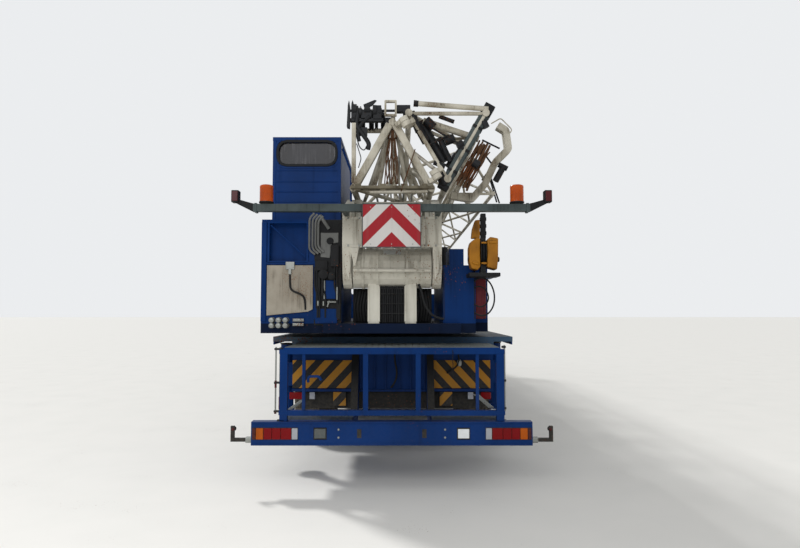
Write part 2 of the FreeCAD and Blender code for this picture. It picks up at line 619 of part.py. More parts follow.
def cab_interior():
    """Two seats, the dashboard and the steering wheel."""
    floor_level = "cab_low + cab_wall"
    pieces = []
    for name, side in SIDES.items():
        across = span(side, "seat_x - seat_half", "seat_x + seat_half")
        cushion = block(f"seat_cushion_{name}", across, ("seat_rear_y", "seat_rear_y + seat_depth"),
                        (floor_level, "seat_top"))
        back = block(f"seat_back_{name}", across, ("seat_rear_y", "seat_rear_y + seat_back"),
                     ("seat_top - 10", "seat_back_top"))
        pieces.append(joined(f"seat_{name}", cushion, back))
    dash = slab("dashboard", "YZ_Plane", [
        ("dash_rear_y", floor_level), ("cab_nose_y - cab_wall - 10", floor_level),
        ("cab_nose_y - cab_wall - 10", "dash_top"), ("dash_rear_y", "dash_top - 60")],
        "cab_wall - cab_half + 20", "cab_half - cab_wall - 20")
    column = bar("steering_column", "z", "column_radius", ("-seat_x", "dash_rear_y + 60",
                 "dash_top - 120"), "column_length + 10", "8")
    rim = bar("steering_rim", "z", "steering_radius",
              ("-seat_x", "dash_rear_y + 60 - column_length * sin(column_tilt)",
               "dash_top - 120 + column_length * cos(column_tilt)"), "24", "16")
    for item in (column, rim):
        item.Placement.Rotation = Rotation(Vector(1, 0, 0), cell("column_tilt"))
    pieces.append(joined("dash_set", dash, column, rim))
    node("cab_interior", together("interior_set", *pieces))


def hinged_door(label, face, side, rear, front, low, high, window, wall):
    """A door in a side wall whose outer face lies at a given distance, hinged at its front edge."""
    inner = f"{face} - {wall}"
    leaf = block(label + "_leaf", span(side, inner, face), (f"{rear} + door_gap", f"{front} - door_gap"),
                 (f"{low} + door_gap", f"{high} - door_gap"))
    glass_hole = block(label + "_window", span(side, f"{inner} - 1", f"{face} + 1"),
                       (f"{rear} + door_window_margin", f"{front} - door_window_margin"),
                       (window, f"{high} - door_window_margin"))
    parts = [leaf]
    for number, level in enumerate((f"{low} + 150", f"{high} - 150 - hinge_length")):
        centre = signed(side, f"{face} + 10")
        parts.append(turned(f"{label}_hinge_{number}", "z", "hinge_radius", (centre, front, level),
                            "hinge_length"))
        parts.append(block(f"{label}_strap_{number}", span(side, face, f"{face} + 10"),
                           (f"{front} - 90", front), (level, f"{level} + hinge_length")))
    node(label, carved(label + "_body", joined(label + "_union", *parts), glass_hole))


def slew_ring():
    """Ring bearing on the deck."""
    start = ("0", "slew_y", "deck_top")
    height = "turntable_low - deck_top"
    node("slew_ring", carved("slew_body",
                             turned("slew_outer", "z", "slew_radius", start, height),
                             bore("slew_inner", "z", "slew_bore", start, height, "wheel_sides")))


def axles():
    """Four axle beams with their differentials, suspension cylinders and kingpin eyes."""
    beams = []
    for axle, steered in AXLES.items():
        level = f"axle_{axle}_y"
        end = "kingpin_offset" if steered else "track_half - disc_thickness"
        parts = [bar(f"axle_tube_{axle}", "x", "axle_tube_radius", (f"-({end})", level, "tyre_radius"),
                     f"2 * ({end})", "axle_sides")]
        radius = cell("differential_radius")
        parts.append(placed(f"differential_{axle}", lathe(
            [(across * radius, share * radius) for across, share in DIFFERENTIAL_FORM],
            int(cell("axle_sides")), False), ("0", level, "tyre_radius")))
        cuts = []
        for name, side in SIDES.items():
            parts.append(bar(f"strut_{axle}_{name}", "z", "strut_radius",
                             (signed(side, "strut_x"), level, "tyre_radius"),
                             "deck_low - strut_bracket_drop - strut_bracket_height - tyre_radius",
                             "axle_sides"))
            if steered:
                eye = (signed(side, "kingpin_offset"), level, "tyre_radius - kingpin_eye_height / 2")
                parts.append(bar(f"eye_{axle}_{name}", "z", "kingpin_eye_radius", eye,
                                 "kingpin_eye_height", "axle_sides"))
                cuts.append(bore(f"eye_bore_{axle}_{name}", "z", "kingpin_radius + curved_gap", eye,
                                 "kingpin_eye_height", "axle_sides"))
            else:
                parts.append(turned(f"stub_{axle}_{name}", "x", "hub_radius - curved_gap",
                                    ("track_half - drum_brake_width", level, "tyre_radius")
                                    if side > 0 else
                                    ("-track_half - rim_dish - 25", level, "tyre_radius"),
                                    "drum_brake_width + rim_dish + 25"))
                parts.append(bar(f"brake_{axle}_{name}", "x", "drum_brake_radius",
                                 ("track_half - disc_thickness - drum_brake_width", level, "tyre_radius")
                                 if side > 0 else
                                 ("disc_thickness - track_half", level, "tyre_radius"),
                                 "drum_brake_width"))
        beam = joined(f"axle_union_{axle}", *parts)
        beams.append(carved(f"axle_body_{axle}", beam, *cuts) if cuts else beam)
    node("axles", together("axle_set", *beams))


def knuckle(axle, name, side):
    """Steering knuckle: a fork round the axle's eye, its pin, the brake drum and the hub."""
    level = f"axle_{axle}_y"
    key = f"{axle}_{name}"
    along = (f"{level} - knuckle_half_width", f"{level} + knuckle_half_width")
    web = "kingpin_offset + knuckle_web_gap"
    reach = "(kingpin_eye_height / 2 + knuckle_gap)"
    parts = []
    for number, low in enumerate((f"tyre_radius + {reach}",
                                  f"tyre_radius - {reach} - knuckle_plate")):
        parts.append(block(f"fork_{key}_{number}",
                           span(side, "kingpin_offset - kingpin_radius - 10", f"{web} + knuckle_web"),
                           along, (low, f"{low} + knuckle_plate")))
    parts.append(block(f"web_{key}", span(side, web, f"{web} + knuckle_web"), along,
                       (f"tyre_radius - {reach} - knuckle_plate",
                        f"tyre_radius + {reach} + knuckle_plate")))
    parts.append(turned(f"pin_{key}", "z", "kingpin_radius",
                        (signed(side, "kingpin_offset"), level, f"tyre_radius - {reach} - knuckle_plate"),
                        f"2 * ({reach} + knuckle_plate)"))
    hub_reach = f"track_half + rim_dish + 25 - ({web})"
    parts.append(turned(f"hub_{key}", "x", "hub_radius - curved_gap",
                        (web if side > 0 else "-(track_half + rim_dish + 25)", level, "tyre_radius"),
                        hub_reach))
    drum_inner = "track_half - disc_thickness - drum_brake_width"
    parts.append(bar(f"drum_{key}", "x", "drum_brake_radius",
                     (drum_inner if side > 0 else "disc_thickness - track_half", level, "tyre_radius"),
                     "drum_brake_width"))
    node(f"knuckle_{key}", joined(f"knuckle_union_{key}", *parts))


def wheel(axle, name, side):
    """Tyre and rim as one turned solid, its dish to the outside, bored for the hub."""
    half = "tyre_width / 2"
    corners = [("tread_edge - tyre_width / 2", "tyre_radius"),
               ("tyre_width / 2 - tread_edge", "tyre_radius"),
               (half, "tyre_radius - tread_chamfer"), (f"{half} - bead_inset", "rim_radius"),
               ("rim_dish", "rim_radius - 15"), ("rim_dish - 5", "hub_radius"),
               ("rim_dish - 5 - disc_thickness", "hub_radius"),
               ("rim_dish - 5 - disc_thickness", "rim_radius - 15"),
               (f"bead_inset - {half}", "rim_radius"), (f"-{half}", "tyre_radius - tread_chamfer")]
    profile = [(side * amount(across), amount(radius)) for across, radius in corners]
    node(f"wheel_{axle}_{name}", placed(f"wheel_body_{axle}_{name}",
                                        lathe(profile, int(cell("wheel_sides")), True),
                                        (signed(side, "track_half"), f"axle_{axle}_y", "tyre_radius")))


def outrigger(place, name, side):
    """Telescopic outrigger beam with its jack sleeve, and the jack's rod with its foot."""
    middle = f"{HOUSINGS[place]} + {side} * beam_pitch / 2"
    key = f"{place}_{name}"
    sleeve_start = (signed(side, "jack_x"), middle, "sleeve_low")
    beam = block(f"beam_{key}", span(side, "-beam_inner_end", "jack_x"),
                 (f"{middle} - beam_width / 2", f"{middle} + beam_width / 2"), ("beam_low", "beam_top"))
    sleeve = bar(f"sleeve_{key}", "z", "sleeve_radius", sleeve_start, "sleeve_top - sleeve_low")
    hole = bar(f"sleeve_bore_{key}", "z", "jack_rod_radius + curved_gap", sleeve_start,
               "sleeve_top - sleeve_low")
    node(f"outrigger_beam_{key}", carved(f"beam_body_{key}", joined(f"beam_union_{key}", beam, sleeve),
                                         hole))
    rod = bar(f"jack_rod_{key}", "z", "jack_rod_radius",
              (signed(side, "jack_x"), middle, "jack_foot_low"), "sleeve_top - 40 - jack_foot_low")
    foot = bar(f"jack_foot_{key}", "z", "jack_foot_radius",
               (signed(side, "jack_x"), middle, "jack_foot_low"), "jack_foot_thickness")
    node(f"jack_{key}", joined(f"jack_union_{key}", rod, foot))


def turntable():
    """Slewing platform: a tapered plate with side wings under the cab and the power unit."""
    low = "turntable_low + curved_gap"
    plate = slab("turntable_plate", "XY_Plane", [
        ("-turntable_tail_half", "turntable_tail_y"), ("turntable_tail_half", "turntable_tail_y"),
        ("turntable_tail_half", "slew_y - slew_radius - 200"), ("turntable_half", "slew_y - slew_radius"),
        ("turntable_half", "weight_rear_y - 300"), ("weight_half", "weight_rear_y"),
        ("weight_half", "turntable_nose_y"), ("-weight_half", "turntable_nose_y"),
        ("-weight_half", "weight_rear_y"), ("-turntable_half", "weight_rear_y - 300"),
        ("-turntable_half", "slew_y - slew_radius"),
        ("-turntable_tail_half", "slew_y - slew_radius - 200")], low, "turntable_top")
    left = block("wing_left", ("cabinet_left", "0"), ("cabinet_rear_y", "booth_front_y"),
                 (low, "turntable_top"))
    right = block("wing_right", ("0", "power_wide"), ("power_wide_rear_y", "power_front_y"),
                  (low, "turntable_top"))
    toe = block("wing_toe", ("0", "power_right"), ("power_rear_y", "power_front_y"),
                (low, "turntable_top"))
    node("turntable", joined("turntable_union", plate, left, right, toe))


def counterweight():
    """Stack of slabs at the nose of the platform, with a joint line between slabs."""
    slabs, level = [], "turntable_top"
    pitch = "(weight_slab + weight_joint)"
    height = cell("weight_top") - cell("turntable_top")
    count = int(height // (cell("weight_slab") + cell("weight_joint")))
    for index in range(count):
        low = f"{level} + {index} * {pitch}"
        slabs.append(block(f"weight_slab_{index}", ("-weight_half", "weight_half"),
                           ("weight_rear_y", "weight_front_y"), (low, f"{low} + weight_slab")))
    slabs.append(block("weight_core", ("-weight_half + 40", "weight_half - 40"),
                       ("weight_rear_y + 40", "weight_front_y - 40"),
                       (level, f"{level} + {count} * {pitch}")))
    node("counterweight", joined("weight_union", *slabs))


def mast_stand():
    """Two legs with a brace, carrying the torque tube on which the mast's foot turns."""
    parts = []
    for name, side in SIDES.items():
        parts.append(slab(f"leg_{name}", "YZ_Plane", [
            ("turntable_tail_y + 30", "turntable_top"), ("pivot_y + 1100", "turntable_top"),
            ("pivot_y + 1000", "turntable_top + 60"), ("pivot_y + 150", "pivot_z - 120"),
            ("pivot_y + 100", "pivot_z"), ("pivot_y - 100", "pivot_z"),
            ("pivot_y - 120", "pivot_z - 120")], *span(side, "leg_inner", "leg_outer")))
    parts.append(bar("torque_tube", "x", "torque_tube_radius", ("-torque_tube_half", "pivot_y", "pivot_z"),
                     "2 * torque_tube_half", "wheel_sides"))
    parts.append(turned("pivot_pin", "x", "pivot_pin_radius", ("-pivot_pin_half", "pivot_y", "pivot_z"),
                        "2 * pivot_pin_half"))
    for name, side in SIDES.items():
        parts.append(slab(f"cylinder_ear_{name}", "YZ_Plane", [
            ("cylinder_foot_y - 90", "turntable_top"), ("cylinder_foot_y + 140", "turntable_top"),
            ("cylinder_foot_y + 45", "cylinder_foot_z + 50"),
            ("cylinder_foot_y - 45", "cylinder_foot_z + 50")],
            *span(side, "leg_outer - 10", "cylinder_x - cylinder_radius - 6")))
        parts.append(turned(f"cylinder_pin_{name}", "x", "piston_radius",
                            ("leg_outer - 10" if side > 0 else "-(cylinder_x + 40)", "cylinder_foot_y",
                             "cylinder_foot_z"), "cylinder_x + 40 - (leg_outer - 10)"))
    node("mast_stand", joined("stand_union", *parts))


def operator_cab():
    """Tall hollow cab on the left with a deeper cabinet at its lower rear."""
    wall = "booth_wall"
    shell = block("booth_shell", ("booth_left", "booth_right"), ("booth_rear_y", "booth_front_y"),
                  ("turntable_top", "booth_top"))
    cabinet = block("cabinet_shell", ("cabinet_left", "cabinet_right"),
                    ("cabinet_rear_y", "booth_rear_y + 10"), ("turntable_top", "cabinet_top"))
    room = block("booth_room", (f"booth_left + {wall}", f"booth_right - {wall}"),
                 (f"booth_rear_y + {wall}", f"booth_front_y - {wall}"),
                 ("turntable_top + booth_floor", f"booth_top - {wall}"))
    rear_window = block("booth_rear_window",
                        ("booth_left + booth_window_margin", "booth_right - booth_window_margin"),
                        ("booth_rear_y - 1", f"booth_rear_y + {wall} + 1"),
                        ("booth_window_low", "booth_window_top"))
    front_window = block("booth_front_window",
                         ("booth_left + booth_window_margin", "booth_right - booth_window_margin"),
                         (f"booth_front_y - {wall} - 1", "booth_front_y + 1"),
                         ("turntable_top + booth_floor + 450", "booth_window_top"))
    doorway = block("booth_doorway", ("booth_left - 1", f"booth_left + {wall} + 1"),
                    ("booth_door_rear_y", "booth_door_front_y"),
                    ("turntable_top + booth_floor", "booth_window_top"))
    pocket = block("cabinet_recess", ("cabinet_left + 75", "cabinet_left + 470"),
                   ("cabinet_rear_y - 1", "cabinet_rear_y + cabinet_pocket"),
                   ("cabinet_top - 440", "cabinet_top - 30"))
    node("operator_cab", carved("booth_body", joined("booth_union", shell, cabinet), room, rear_window,
                                front_window, doorway, pocket))


def operator_glass():
    """Rear and front panes of the operator's cab."""
    across = ("booth_left + booth_window_margin", "booth_right - booth_window_margin")
    rear = block("booth_rear_pane", across,
                 ("booth_rear_y + booth_wall / 2", "booth_rear_y + booth_wall / 2 + pane"),
                 ("booth_window_low", "booth_window_top"))
    front = block("booth_front_pane", across,
                  ("booth_front_y - booth_wall / 2 - pane", "booth_front_y - booth_wall / 2"),
                  ("turntable_top + booth_floor + 450", "booth_window_top"))
    node("operator_glass", together("booth_panes", rear, front))


def power_unit():
    """Power unit box on the right with its stack and the shelf for the hook block."""
    narrow = block("power_narrow", ("power_left", "power_right"), ("power_rear_y", "power_front_y"),
                   ("turntable_top", "power_top"))
    wide = block("power_wide_box", ("power_left", "power_wide"), ("power_wide_rear_y", "power_front_y"),
                 ("turntable_top", "power_top"))
    stack = block("power_stack", ("power_stack_left", "power_stack_right"),
                  ("power_rear_y", "power_rear_y + 400"), ("power_top - 10", "power_stack_top"))
    shelf = block("hook_shelf", ("shelf_left", "shelf_right"), ("shelf_rear_y", "power_wide_rear_y"),
                  ("shelf_top - shelf_thickness", "shelf_top"))
    node("power_unit", joined("power_union", narrow, wide, stack, shelf))


def hook_block():
    """Hook block standing on its shelf: two cheeks, the sheave between them and the hook below."""
    middle = "(shelf_left + shelf_right) / 2"
    along = ("shelf_rear_y + 40", "shelf_rear_y + 40 + 2 * hook_sheave_radius")
    parts = []
    for name, side in SIDES.items():
        low = f"{middle} + hook_gap / 2" if side > 0 else f"{middle} - hook_gap / 2 - hook_cheek"
        parts.append(block(f"hook_cheek_{name}", (low, f"{low} + hook_cheek"), along,
                           ("shelf_top", "hook_top")))
    parts.append(bar("hook_sheave", "x", "hook_sheave_radius - 10",
                     (f"{middle} - hook_gap / 2 - 5", "shelf_rear_y + 40 + hook_sheave_radius",
                      "(shelf_top + hook_top) / 2"), "hook_gap + 10"))
    node("hook_block", joined("hook_union", *parts))


def winch():
    """Hoist drum with its flanges and side plates on the platform, and the hose box at the foot."""
    def drum(name, radius, half):
        return bar(name, "x", radius, (f"-({half})", "winch_y", "winch_z"), f"2 * ({half})")
    parts = [drum("winch_drum", "winch_radius", "winch_half")]
    for name, side in SIDES.items():
        parts.append(bar(f"winch_flange_{name}", "x", "winch_flange_radius",
                         ("winch_half - 40" if side > 0 else "-winch_half", "winch_y", "winch_z"), "40"))
        parts.append(block(f"winch_side_{name}", span(side, "winch_half", "winch_half + 35"),
                           ("winch_y - 170", "winch_y + 170"), ("turntable_top", "winch_z + 120")))
    hoses = block("hose_box", ("-leg_inner + 7", "leg_inner - 7"), ("pivot_y - 40", "pivot_y + 240"),
                  ("turntable_top", "pivot_z - torque_tube_radius - 10"))
    node("winch", together("winch_set", joined("winch_union", *parts), hoses))


def mast_outer():
    """Square lattice mast with foot cheeks on the pivot pin, a rear shroud and cylinder ears."""
    chord = cell("mast_chord")
    reach = cell("mast_half") - chord / 2
    low = cell("mast_low") + chord / 2
    high = low + 2 * reach
    corners = [(-reach, low), (reach, low), (reach, high), (-reach, high)]
    frame = solid("mast_lattice", fused(lattice(
        corners, cell("mast_rear_y"), cell("mast_front_y"), int(cell("mast_bays")), chord,
        cell("mast_lacing"), chord / 2)))
    mast_top = "(mast_low + 2 * mast_half)"
    parts, bores = [frame], []
    for name, side in SIDES.items():
        across = span(side, "cheek_inner", "cheek_outer")
        parts.append(slab(f"cheek_{name}", "YZ_Plane", [
            ("cheek_front_y", "mast_low"), ("pivot_y + cheek_radius", "mast_low"),
            ("pivot_y - cheek_radius", "pivot_z"), ("shroud_rear_y", "shroud_low"),
            ("shroud_rear_y", "light_top"), ("mast_rear_y", mast_top), ("cheek_front_y", mast_top)],
            *across))
        parts.append(bar(f"cheek_boss_{name}", "x", "cheek_radius", (across[0], "pivot_y", "pivot_z"),
                         "cheek_outer - cheek_inner", "wheel_sides"))
        bores.append(bore(f"cheek_bore_{name}", "x", "pivot_pin_radius + curved_gap",
                          (across[0], "pivot_y", "pivot_z"), "cheek_outer - cheek_inner"))
        for ear, offset in (("inner", f"-cylinder_eye_half - ear_gap - ear_plate"),
                            ("outer", "cylinder_eye_half + ear_gap")):
            inner = f"cylinder_x + ({offset})"
            parts.append(block(f"ear_{name}_{ear}", span(side, inner, f"{inner} + ear_plate"),
                               ("cylinder_pin_y - 60", "cylinder_pin_y + 60"),
                               ("cylinder_pin_z - 50", "mast_low + mast_chord / 2")))
        parts.append(block(f"ear_bridge_{name}",
                           span(side, "cylinder_x - cylinder_eye_half - ear_gap - ear_plate",
                                "cylinder_x + cylinder_eye_half + ear_gap"),
                           ("cylinder_pin_y - 60", "cylinder_pin_y + 60"),
                           ("mast_low + 5", "mast_low + mast_chord / 2")))
        parts.append(block(f"shoe_{name}",
                           span(side, "inner_half - inner_chord", "mast_half - mast_chord + 15"),
                           ("mast_front_y - shoe_length", "mast_front_y"),
                           ("mast_low + mast_chord - shoe_depth",
                            "mast_low + mast_half - inner_half - curved_gap")))
    parts.append(block("shroud_back", ("-cheek_outer", "cheek_outer"),
                       ("shroud_rear_y", "shroud_rear_y + shroud_plate"), ("shroud_low", "shroud_top")))
    node("mast_outer", carved("mast_body", joined("mast_union", *parts), *bores))


def light_beam():
    """Road light beam across the mast's foot, on two arms, with a wing lamp at each end."""
    parts = [block("light_bar", ("-light_half", "light_half"),
                   ("light_rear_y", "light_rear_y + light_depth"), ("light_low", "light_top"))]
    for name, side in SIDES.items():
        parts.append(block(f"light_arm_{name}",
                           span(side, "light_arm_x - light_arm / 2", "light_arm_x + light_arm / 2"),
                           ("light_rear_y + light_depth - 5", "shroud_rear_y"),
                           ("light_low", "light_low + light_arm")))
        parts.append(slab(f"wing_{name}", "XZ_Plane", [
            (signed(side, "light_half - 30"), "light_low"), (signed(side, "wing_lamp_x"), "wing_lamp_low"),
            (signed(side, "wing_lamp_x"), "wing_lamp_low + 30"),
            (signed(side, "light_half - 30"), "light_top")],
            "light_rear_y + 25", "light_rear_y + light_depth - 25"))
        parts.append(block(f"wing_lamp_{name}",
                           span(side, "wing_lamp_x - wing_lamp_half", "wing_lamp_x + wing_lamp_half"),
                           ("light_rear_y + 5", "light_rear_y + light_depth - 5"),
                           ("wing_lamp_low", "wing_lamp_top")))
    node("light_beam", joined("light_union", *parts))


def warning_board():
    """Standard warning board hung on the light beam's rear face."""
    node("warning_board", block("board", ("-board_width / 2", "board_width / 2"),
                                ("light_rear_y - board_thickness", "light_rear_y"),
                                ("light_top - board_height", "light_top")))


def beacons():
    """Two beacons standing on the light beam."""
    pieces = []
    for name, side in SIDES.items():
        place = (signed(side, "beacon_x"), "light_rear_y + light_depth / 2", "light_top")
        foot = bar(f"beacon_foot_{name}", "z", "beacon_foot_radius", place, "beacon_foot_height + 5")
        dome = bar(f"beacon_dome_{name}", "z", "beacon_radius", (
            place[0], place[1], "light_top + beacon_foot_height"), "beacon_height - beacon_foot_height")
        pieces.append(joined(f"beacon_{name}", foot, dome))
    node("beacons", together("beacon_set", *pieces))


def mast_inner():
    """Inner lattice mast with the head frame that carries the jib's pin."""
    chord = cell("inner_chord")
    reach = cell("inner_half") - chord / 2
    middle = cell("mast_low") + cell("mast_half")
    corners = [(-reach, middle - reach), (reach, middle - reach), (reach, middle + reach),
               (-reach, middle + reach)]
    frame = solid("inner_lattice", fused(lattice(
        corners, cell("inner_rear_y"), cell("inner_front_y"), int(cell("inner_bays")), chord,
        cell("inner_lacing"), chord / 2)))
    parts = [frame]
    low, high = "mast_low + mast_half - inner_half", "mast_low + mast_half + inner_half"
    for name, side in SIDES.items():
        parts.append(slab(f"head_{name}", "YZ_Plane", [
            ("inner_front_y - 300", low), ("head_front_y - 250", low), ("head_front_y", f"{low} + 200"),
            ("head_front_y", "jib_base_z + 60"), ("jib_pivot_y - 120", "jib_base_z + 60"),
            ("jib_pivot_y - 150", high), ("inner_front_y - 300", high)],
            *span(side, "inner_half - 10", "inner_half + head_plate - 10")))
    parts.append(turned("jib_pin", "x", "jib_pin_radius",
                        ("-jib_side / 2 - jib_chord / 2", "jib_pivot_y", "jib_base_z"),
                        "jib_side + jib_chord"))
    parts.append(bar("head_sheave", "x", "sheave_radius", ("-60", "head_front_y - 220", f"{low} + 330"),
                     "120"))
    parts.append(bar("head_axle", "x", "40", ("-inner_half", "head_front_y - 220", f"{low} + 330"),
                     "2 * inner_half"))
    node("mast_inner", joined("inner_union", *parts))


def round_bar(radius, length, start, way, is_bore=False):
    """A many-sided bar from a start point in any direction; a bore has its flats at the radius."""
    sides = int(cell("bar_sides"))
    reach = radius / math.cos(math.pi / sides) if is_bore else radius
    turn = Rotation(Vector(0, 0, 1), way)
    angles = [2 * math.pi * step / sides for step in range(sides)]
    ring = [start + turn.multVec(Vector(reach * math.cos(angle), reach * math.sin(angle), 0))
            for angle in angles]
    return Part.Face(Part.makePolygon(ring + ring[:1])).extrude(way * length)


def raise_cylinders():
    """A pair of cylinders from the stand to the mast's underside: barrels, and rods with eyes."""
    foot = Vector(0, cell("cylinder_foot_y"), cell("cylinder_foot_z"))
    pin = Vector(0, cell("cylinder_pin_y"), cell("cylinder_pin_z"))
    run = pin - foot
    way = Vector(run)
    way.normalize()
    eye_half, eye_radius = cell("cylinder_eye_half"), cell("cylinder_eye_radius")
    gap = cell("curved_gap")
    barrels, rods = [], []
    for side in (-1, 1):
        shift = Vector(side * cell("cylinder_x"), 0, 0)
        across = Vector(1, 0, 0)
        barrel = round_bar(cell("cylinder_radius"), cell("cylinder_length"), foot + shift, way)
        barrel = barrel.fuse(round_bar(cell("cylinder_radius"), 2 * cell("cylinder_radius"),
                                       foot + shift - across * cell("cylinder_radius"), across))
        tube_bore = round_bar(cell("piston_radius") + gap, cell("cylinder_length") - 110,
                              foot + shift + way * 110, way)
        seat = round_bar(cell("piston_radius") + gap, 4 * cell("cylinder_radius"),
                         foot + shift - across * 2 * cell("cylinder_radius"), across, True)
        barrels.append(barrel.cut(tube_bore).cut(seat))
        rod = round_bar(cell("piston_radius"), run.Length - 125 - eye_radius * 0.8,
                        foot + shift + way * 125, way)
        eye = round_bar(eye_radius, 2 * eye_half, pin + shift - across * eye_half, across)
        hole = round_bar(eye_radius / 2, 4 * eye_half, pin + shift - across * 2 * eye_half, across)
        rods.append(rod.fuse(eye).cut(hole))
    node("raise_barrels", solid("barrel_pair", Part.makeCompound(barrels)))
    node("raise_rods", solid("rod_pair", Part.makeCompound(rods)))


def triangle(side, apex, up):
    """Corners of an equilateral section: base left, base right and apex, or the same upside down."""
    rise = side * math.sqrt(3) / 2 * (1 if up else -1)
    return [(apex[0] - side / 2, apex[1] - rise), (apex[0] + side / 2, apex[1] - rise), apex]


def oblique(shape, base, degrees):
    """A shape made in a frame along an oblique side, turned about Y and moved to its base."""
    turned_shape = shape.copy()
    turned_shape.Placement = Placement(base, Rotation(Vector(0, 1, 0), degrees))
    return turned_shape


def fold_lug(start, length, inner, outer, end_y, pin_y):
    """A lug plate square to a fold axis: start and length along the axis, inner and outer across it."""
    reach = end_y + math.copysign(cell("jib_chord"), end_y - pin_y)
    plate = Part.makeBox(length, abs(reach - pin_y), outer - inner,
                         Vector(start, min(reach, pin_y), inner))
    knob = round_bar(cell("lug_radius"), length, Vector(start, pin_y, 0), Vector(1, 0, 0))
    return plate.fuse(knob)


def pin_through(radius, start, length, pin_y, base, degrees, is_bore=False):
    """A round pin, or the many-sided hole for one, along a fold axis."""
    corner, way = Vector(start, pin_y, 0), Vector(1, 0, 0)
    shape = round_bar(radius, length, corner, way, True) if is_bore else Part.makeCylinder(
        radius, length, corner, way)
    return oblique(shape, base, degrees)


def sheave_set(rear, apex_z):
    """Three rope sheaves on one axle, on a light frame over the root section's end."""
    axle_z = cell("crane_top") - cell("sheave_radius")
    axle_y = rear + cell("sheave_set_y")
    post = cell("sheave_post")
    left, right = -cell("sheave_left"), cell("sheave_right")
    pieces = []
    for number, offset in enumerate(SHEAVE_PLACES):
        pieces.append(round_bar(cell("sheave_radius") - number * cell("sheave_step"),
                                cell("sheave_thickness"), Vector(offset * left, axle_y, axle_z),
                                Vector(1, 0, 0)))
    pieces.append(round_bar(cell("sheave_axle"), right - left, Vector(left, axle_y, axle_z),
                            Vector(1, 0, 0)))
    for x in (left, right):
        pieces.append(member(Vector(x, axle_y, apex_z), Vector(x, axle_y, axle_z + post), post))
    pieces.append(member(Vector(left - post / 2, axle_y, apex_z), Vector(right + post / 2, axle_y, apex_z),
                         post))
    return pieces


def jib_root():
    """Root section, its apex upwards, hinged to the mast's head and lugged for the middle section."""
    side, chord = cell("jib_side"), cell("jib_chord")
    rear, base = cell("jib_rear_y"), cell("jib_base_z")
    lug_room = cell("jib_lug_room")
    corners = triangle(side, root_apex(), True)
    pieces = lattice(corners, rear, cell("jib_pivot_y") - lug_room, int(cell("jib_root_bays")), chord,
                     cell("jib_lacing"), chord / 2)
    for x, z in corners[:2]:
        pieces.append(Part.makeBox(chord, lug_room + chord, chord,
                                   Vector(x - chord / 2, cell("jib_pivot_y") - lug_room, z - chord / 2)))
    half, thickness, pin_y = cell("fold_gap") / 2, cell("lug_thickness"), cell("fold_y")
    axis = Vector(root_apex()[0], 0, root_apex()[1]) + OUT_RIGHT * half
    for spot in lug_spots(side):
        pieces.append(oblique(fold_lug(spot, thickness, -half, 0.0, rear, pin_y), axis, FOLD_TILT))
    pieces += sheave_set(rear, root_apex()[1] - chord / 4)
    mast_pin_hole = round_bar(cell("jib_pin_radius") + cell("curved_gap"), 2 * side,
                              Vector(-side, cell("jib_pivot_y"), base), Vector(1, 0, 0), True)
    fold_hole = pin_through(cell("lug_pin_radius") + cell("curved_gap"), 0, side, pin_y, axis, FOLD_TILT,
                            True)
    node("jib_root", solid("root_section", fused(pieces).cut(mast_pin_hole).cut(fold_hole)))


def lug_spots(side):
    """Where the two outer lugs of a fold start along its axis."""
    edge = cell("lug_edge")
    return edge, side - edge - cell("lug_thickness")


def inner_spots(side):
    """Where the two inner lugs of a fold start, each beside its outer lug."""
    first, second = lug_spots(side)
    step = cell("lug_thickness") + cell("lug_play")
    return first + step, second - step


def root_apex():
    """Top corner of the root section as (x, z)."""
    return 0.0, cell("jib_base_z") + cell("jib_side") * EQUAL_RISE


def middle_corners():
    """Corners of the middle section: upper left, upper right and the apex below."""
    side = cell("jib_side")
    top = Vector(root_apex()[0], 0, root_apex()[1]) + OUT_RIGHT * cell("fold_gap")
    return [(top.x, top.z), (top.x + side, top.z), (top.x + side / 2, top.z - side * EQUAL_RISE)]


def band(points, level, width):
    """A bent band through points (x, z) at one level along the crane."""
    return [member(Vector(first[0], level, first[1]), Vector(second[0], level, second[1]), width)
            for first, second in zip(points, points[1:])]


def jib_mid():
    """Middle section, its apex downwards, with lugs at both ends and a cross strut."""
    side, chord, thickness = cell("jib_side"), cell("jib_chord"), cell("lug_thickness")
    rear, front = cell("jib_rear_y"), cell("mid_front_y")
    corners = middle_corners()
    pieces = lattice(corners, rear, front, int(cell("mid_bays")), chord, cell("jib_lacing"), chord / 2)
    half, pin_y = cell("fold_gap") / 2, cell("fold_y")
    axis = Vector(root_apex()[0], 0, root_apex()[1]) + OUT_RIGHT * half
    pin, reach = cell("lug_pin_radius"), 2 * thickness + cell("lug_play")
    for spot in inner_spots(side):
        pieces.append(oblique(fold_lug(spot, thickness, 0.0, half, rear, pin_y), axis, FOLD_TILT))
    for spot, inner in zip(lug_spots(side), inner_spots(side)):
        pieces.append(pin_through(pin, min(spot, inner), reach, pin_y, axis, FOLD_TILT))
    tip_side, tip_half = cell("tip_side"), cell("tip_gap") / 2
    tip_axis = Vector(corners[2][0], 0, corners[2][1]) + OUT_DOWN * tip_half
    line = cell("tip_fold_y")
    for spot, inner in zip(lug_spots(tip_side), inner_spots(tip_side)):
        pieces.append(oblique(fold_lug(spot, thickness, 0.0, tip_half, front, line), tip_axis, -FOLD_TILT))
        pieces.append(pin_through(pin, min(spot, inner), reach, line, tip_axis, -FOLD_TILT))
    strut_y = rear + cell("strut_y")
    right, apex = corners[1], corners[2]
    over = cell("strut_over")
    pieces += band([(apex[0] - over * COSINE, apex[1] - over * EQUAL_RISE),
                    (right[0] + over * COSINE, right[1] + over * EQUAL_RISE)], strut_y,
                   cell("strut_width"))
    node("jib_mid", solid("mid_section", fused(pieces)))


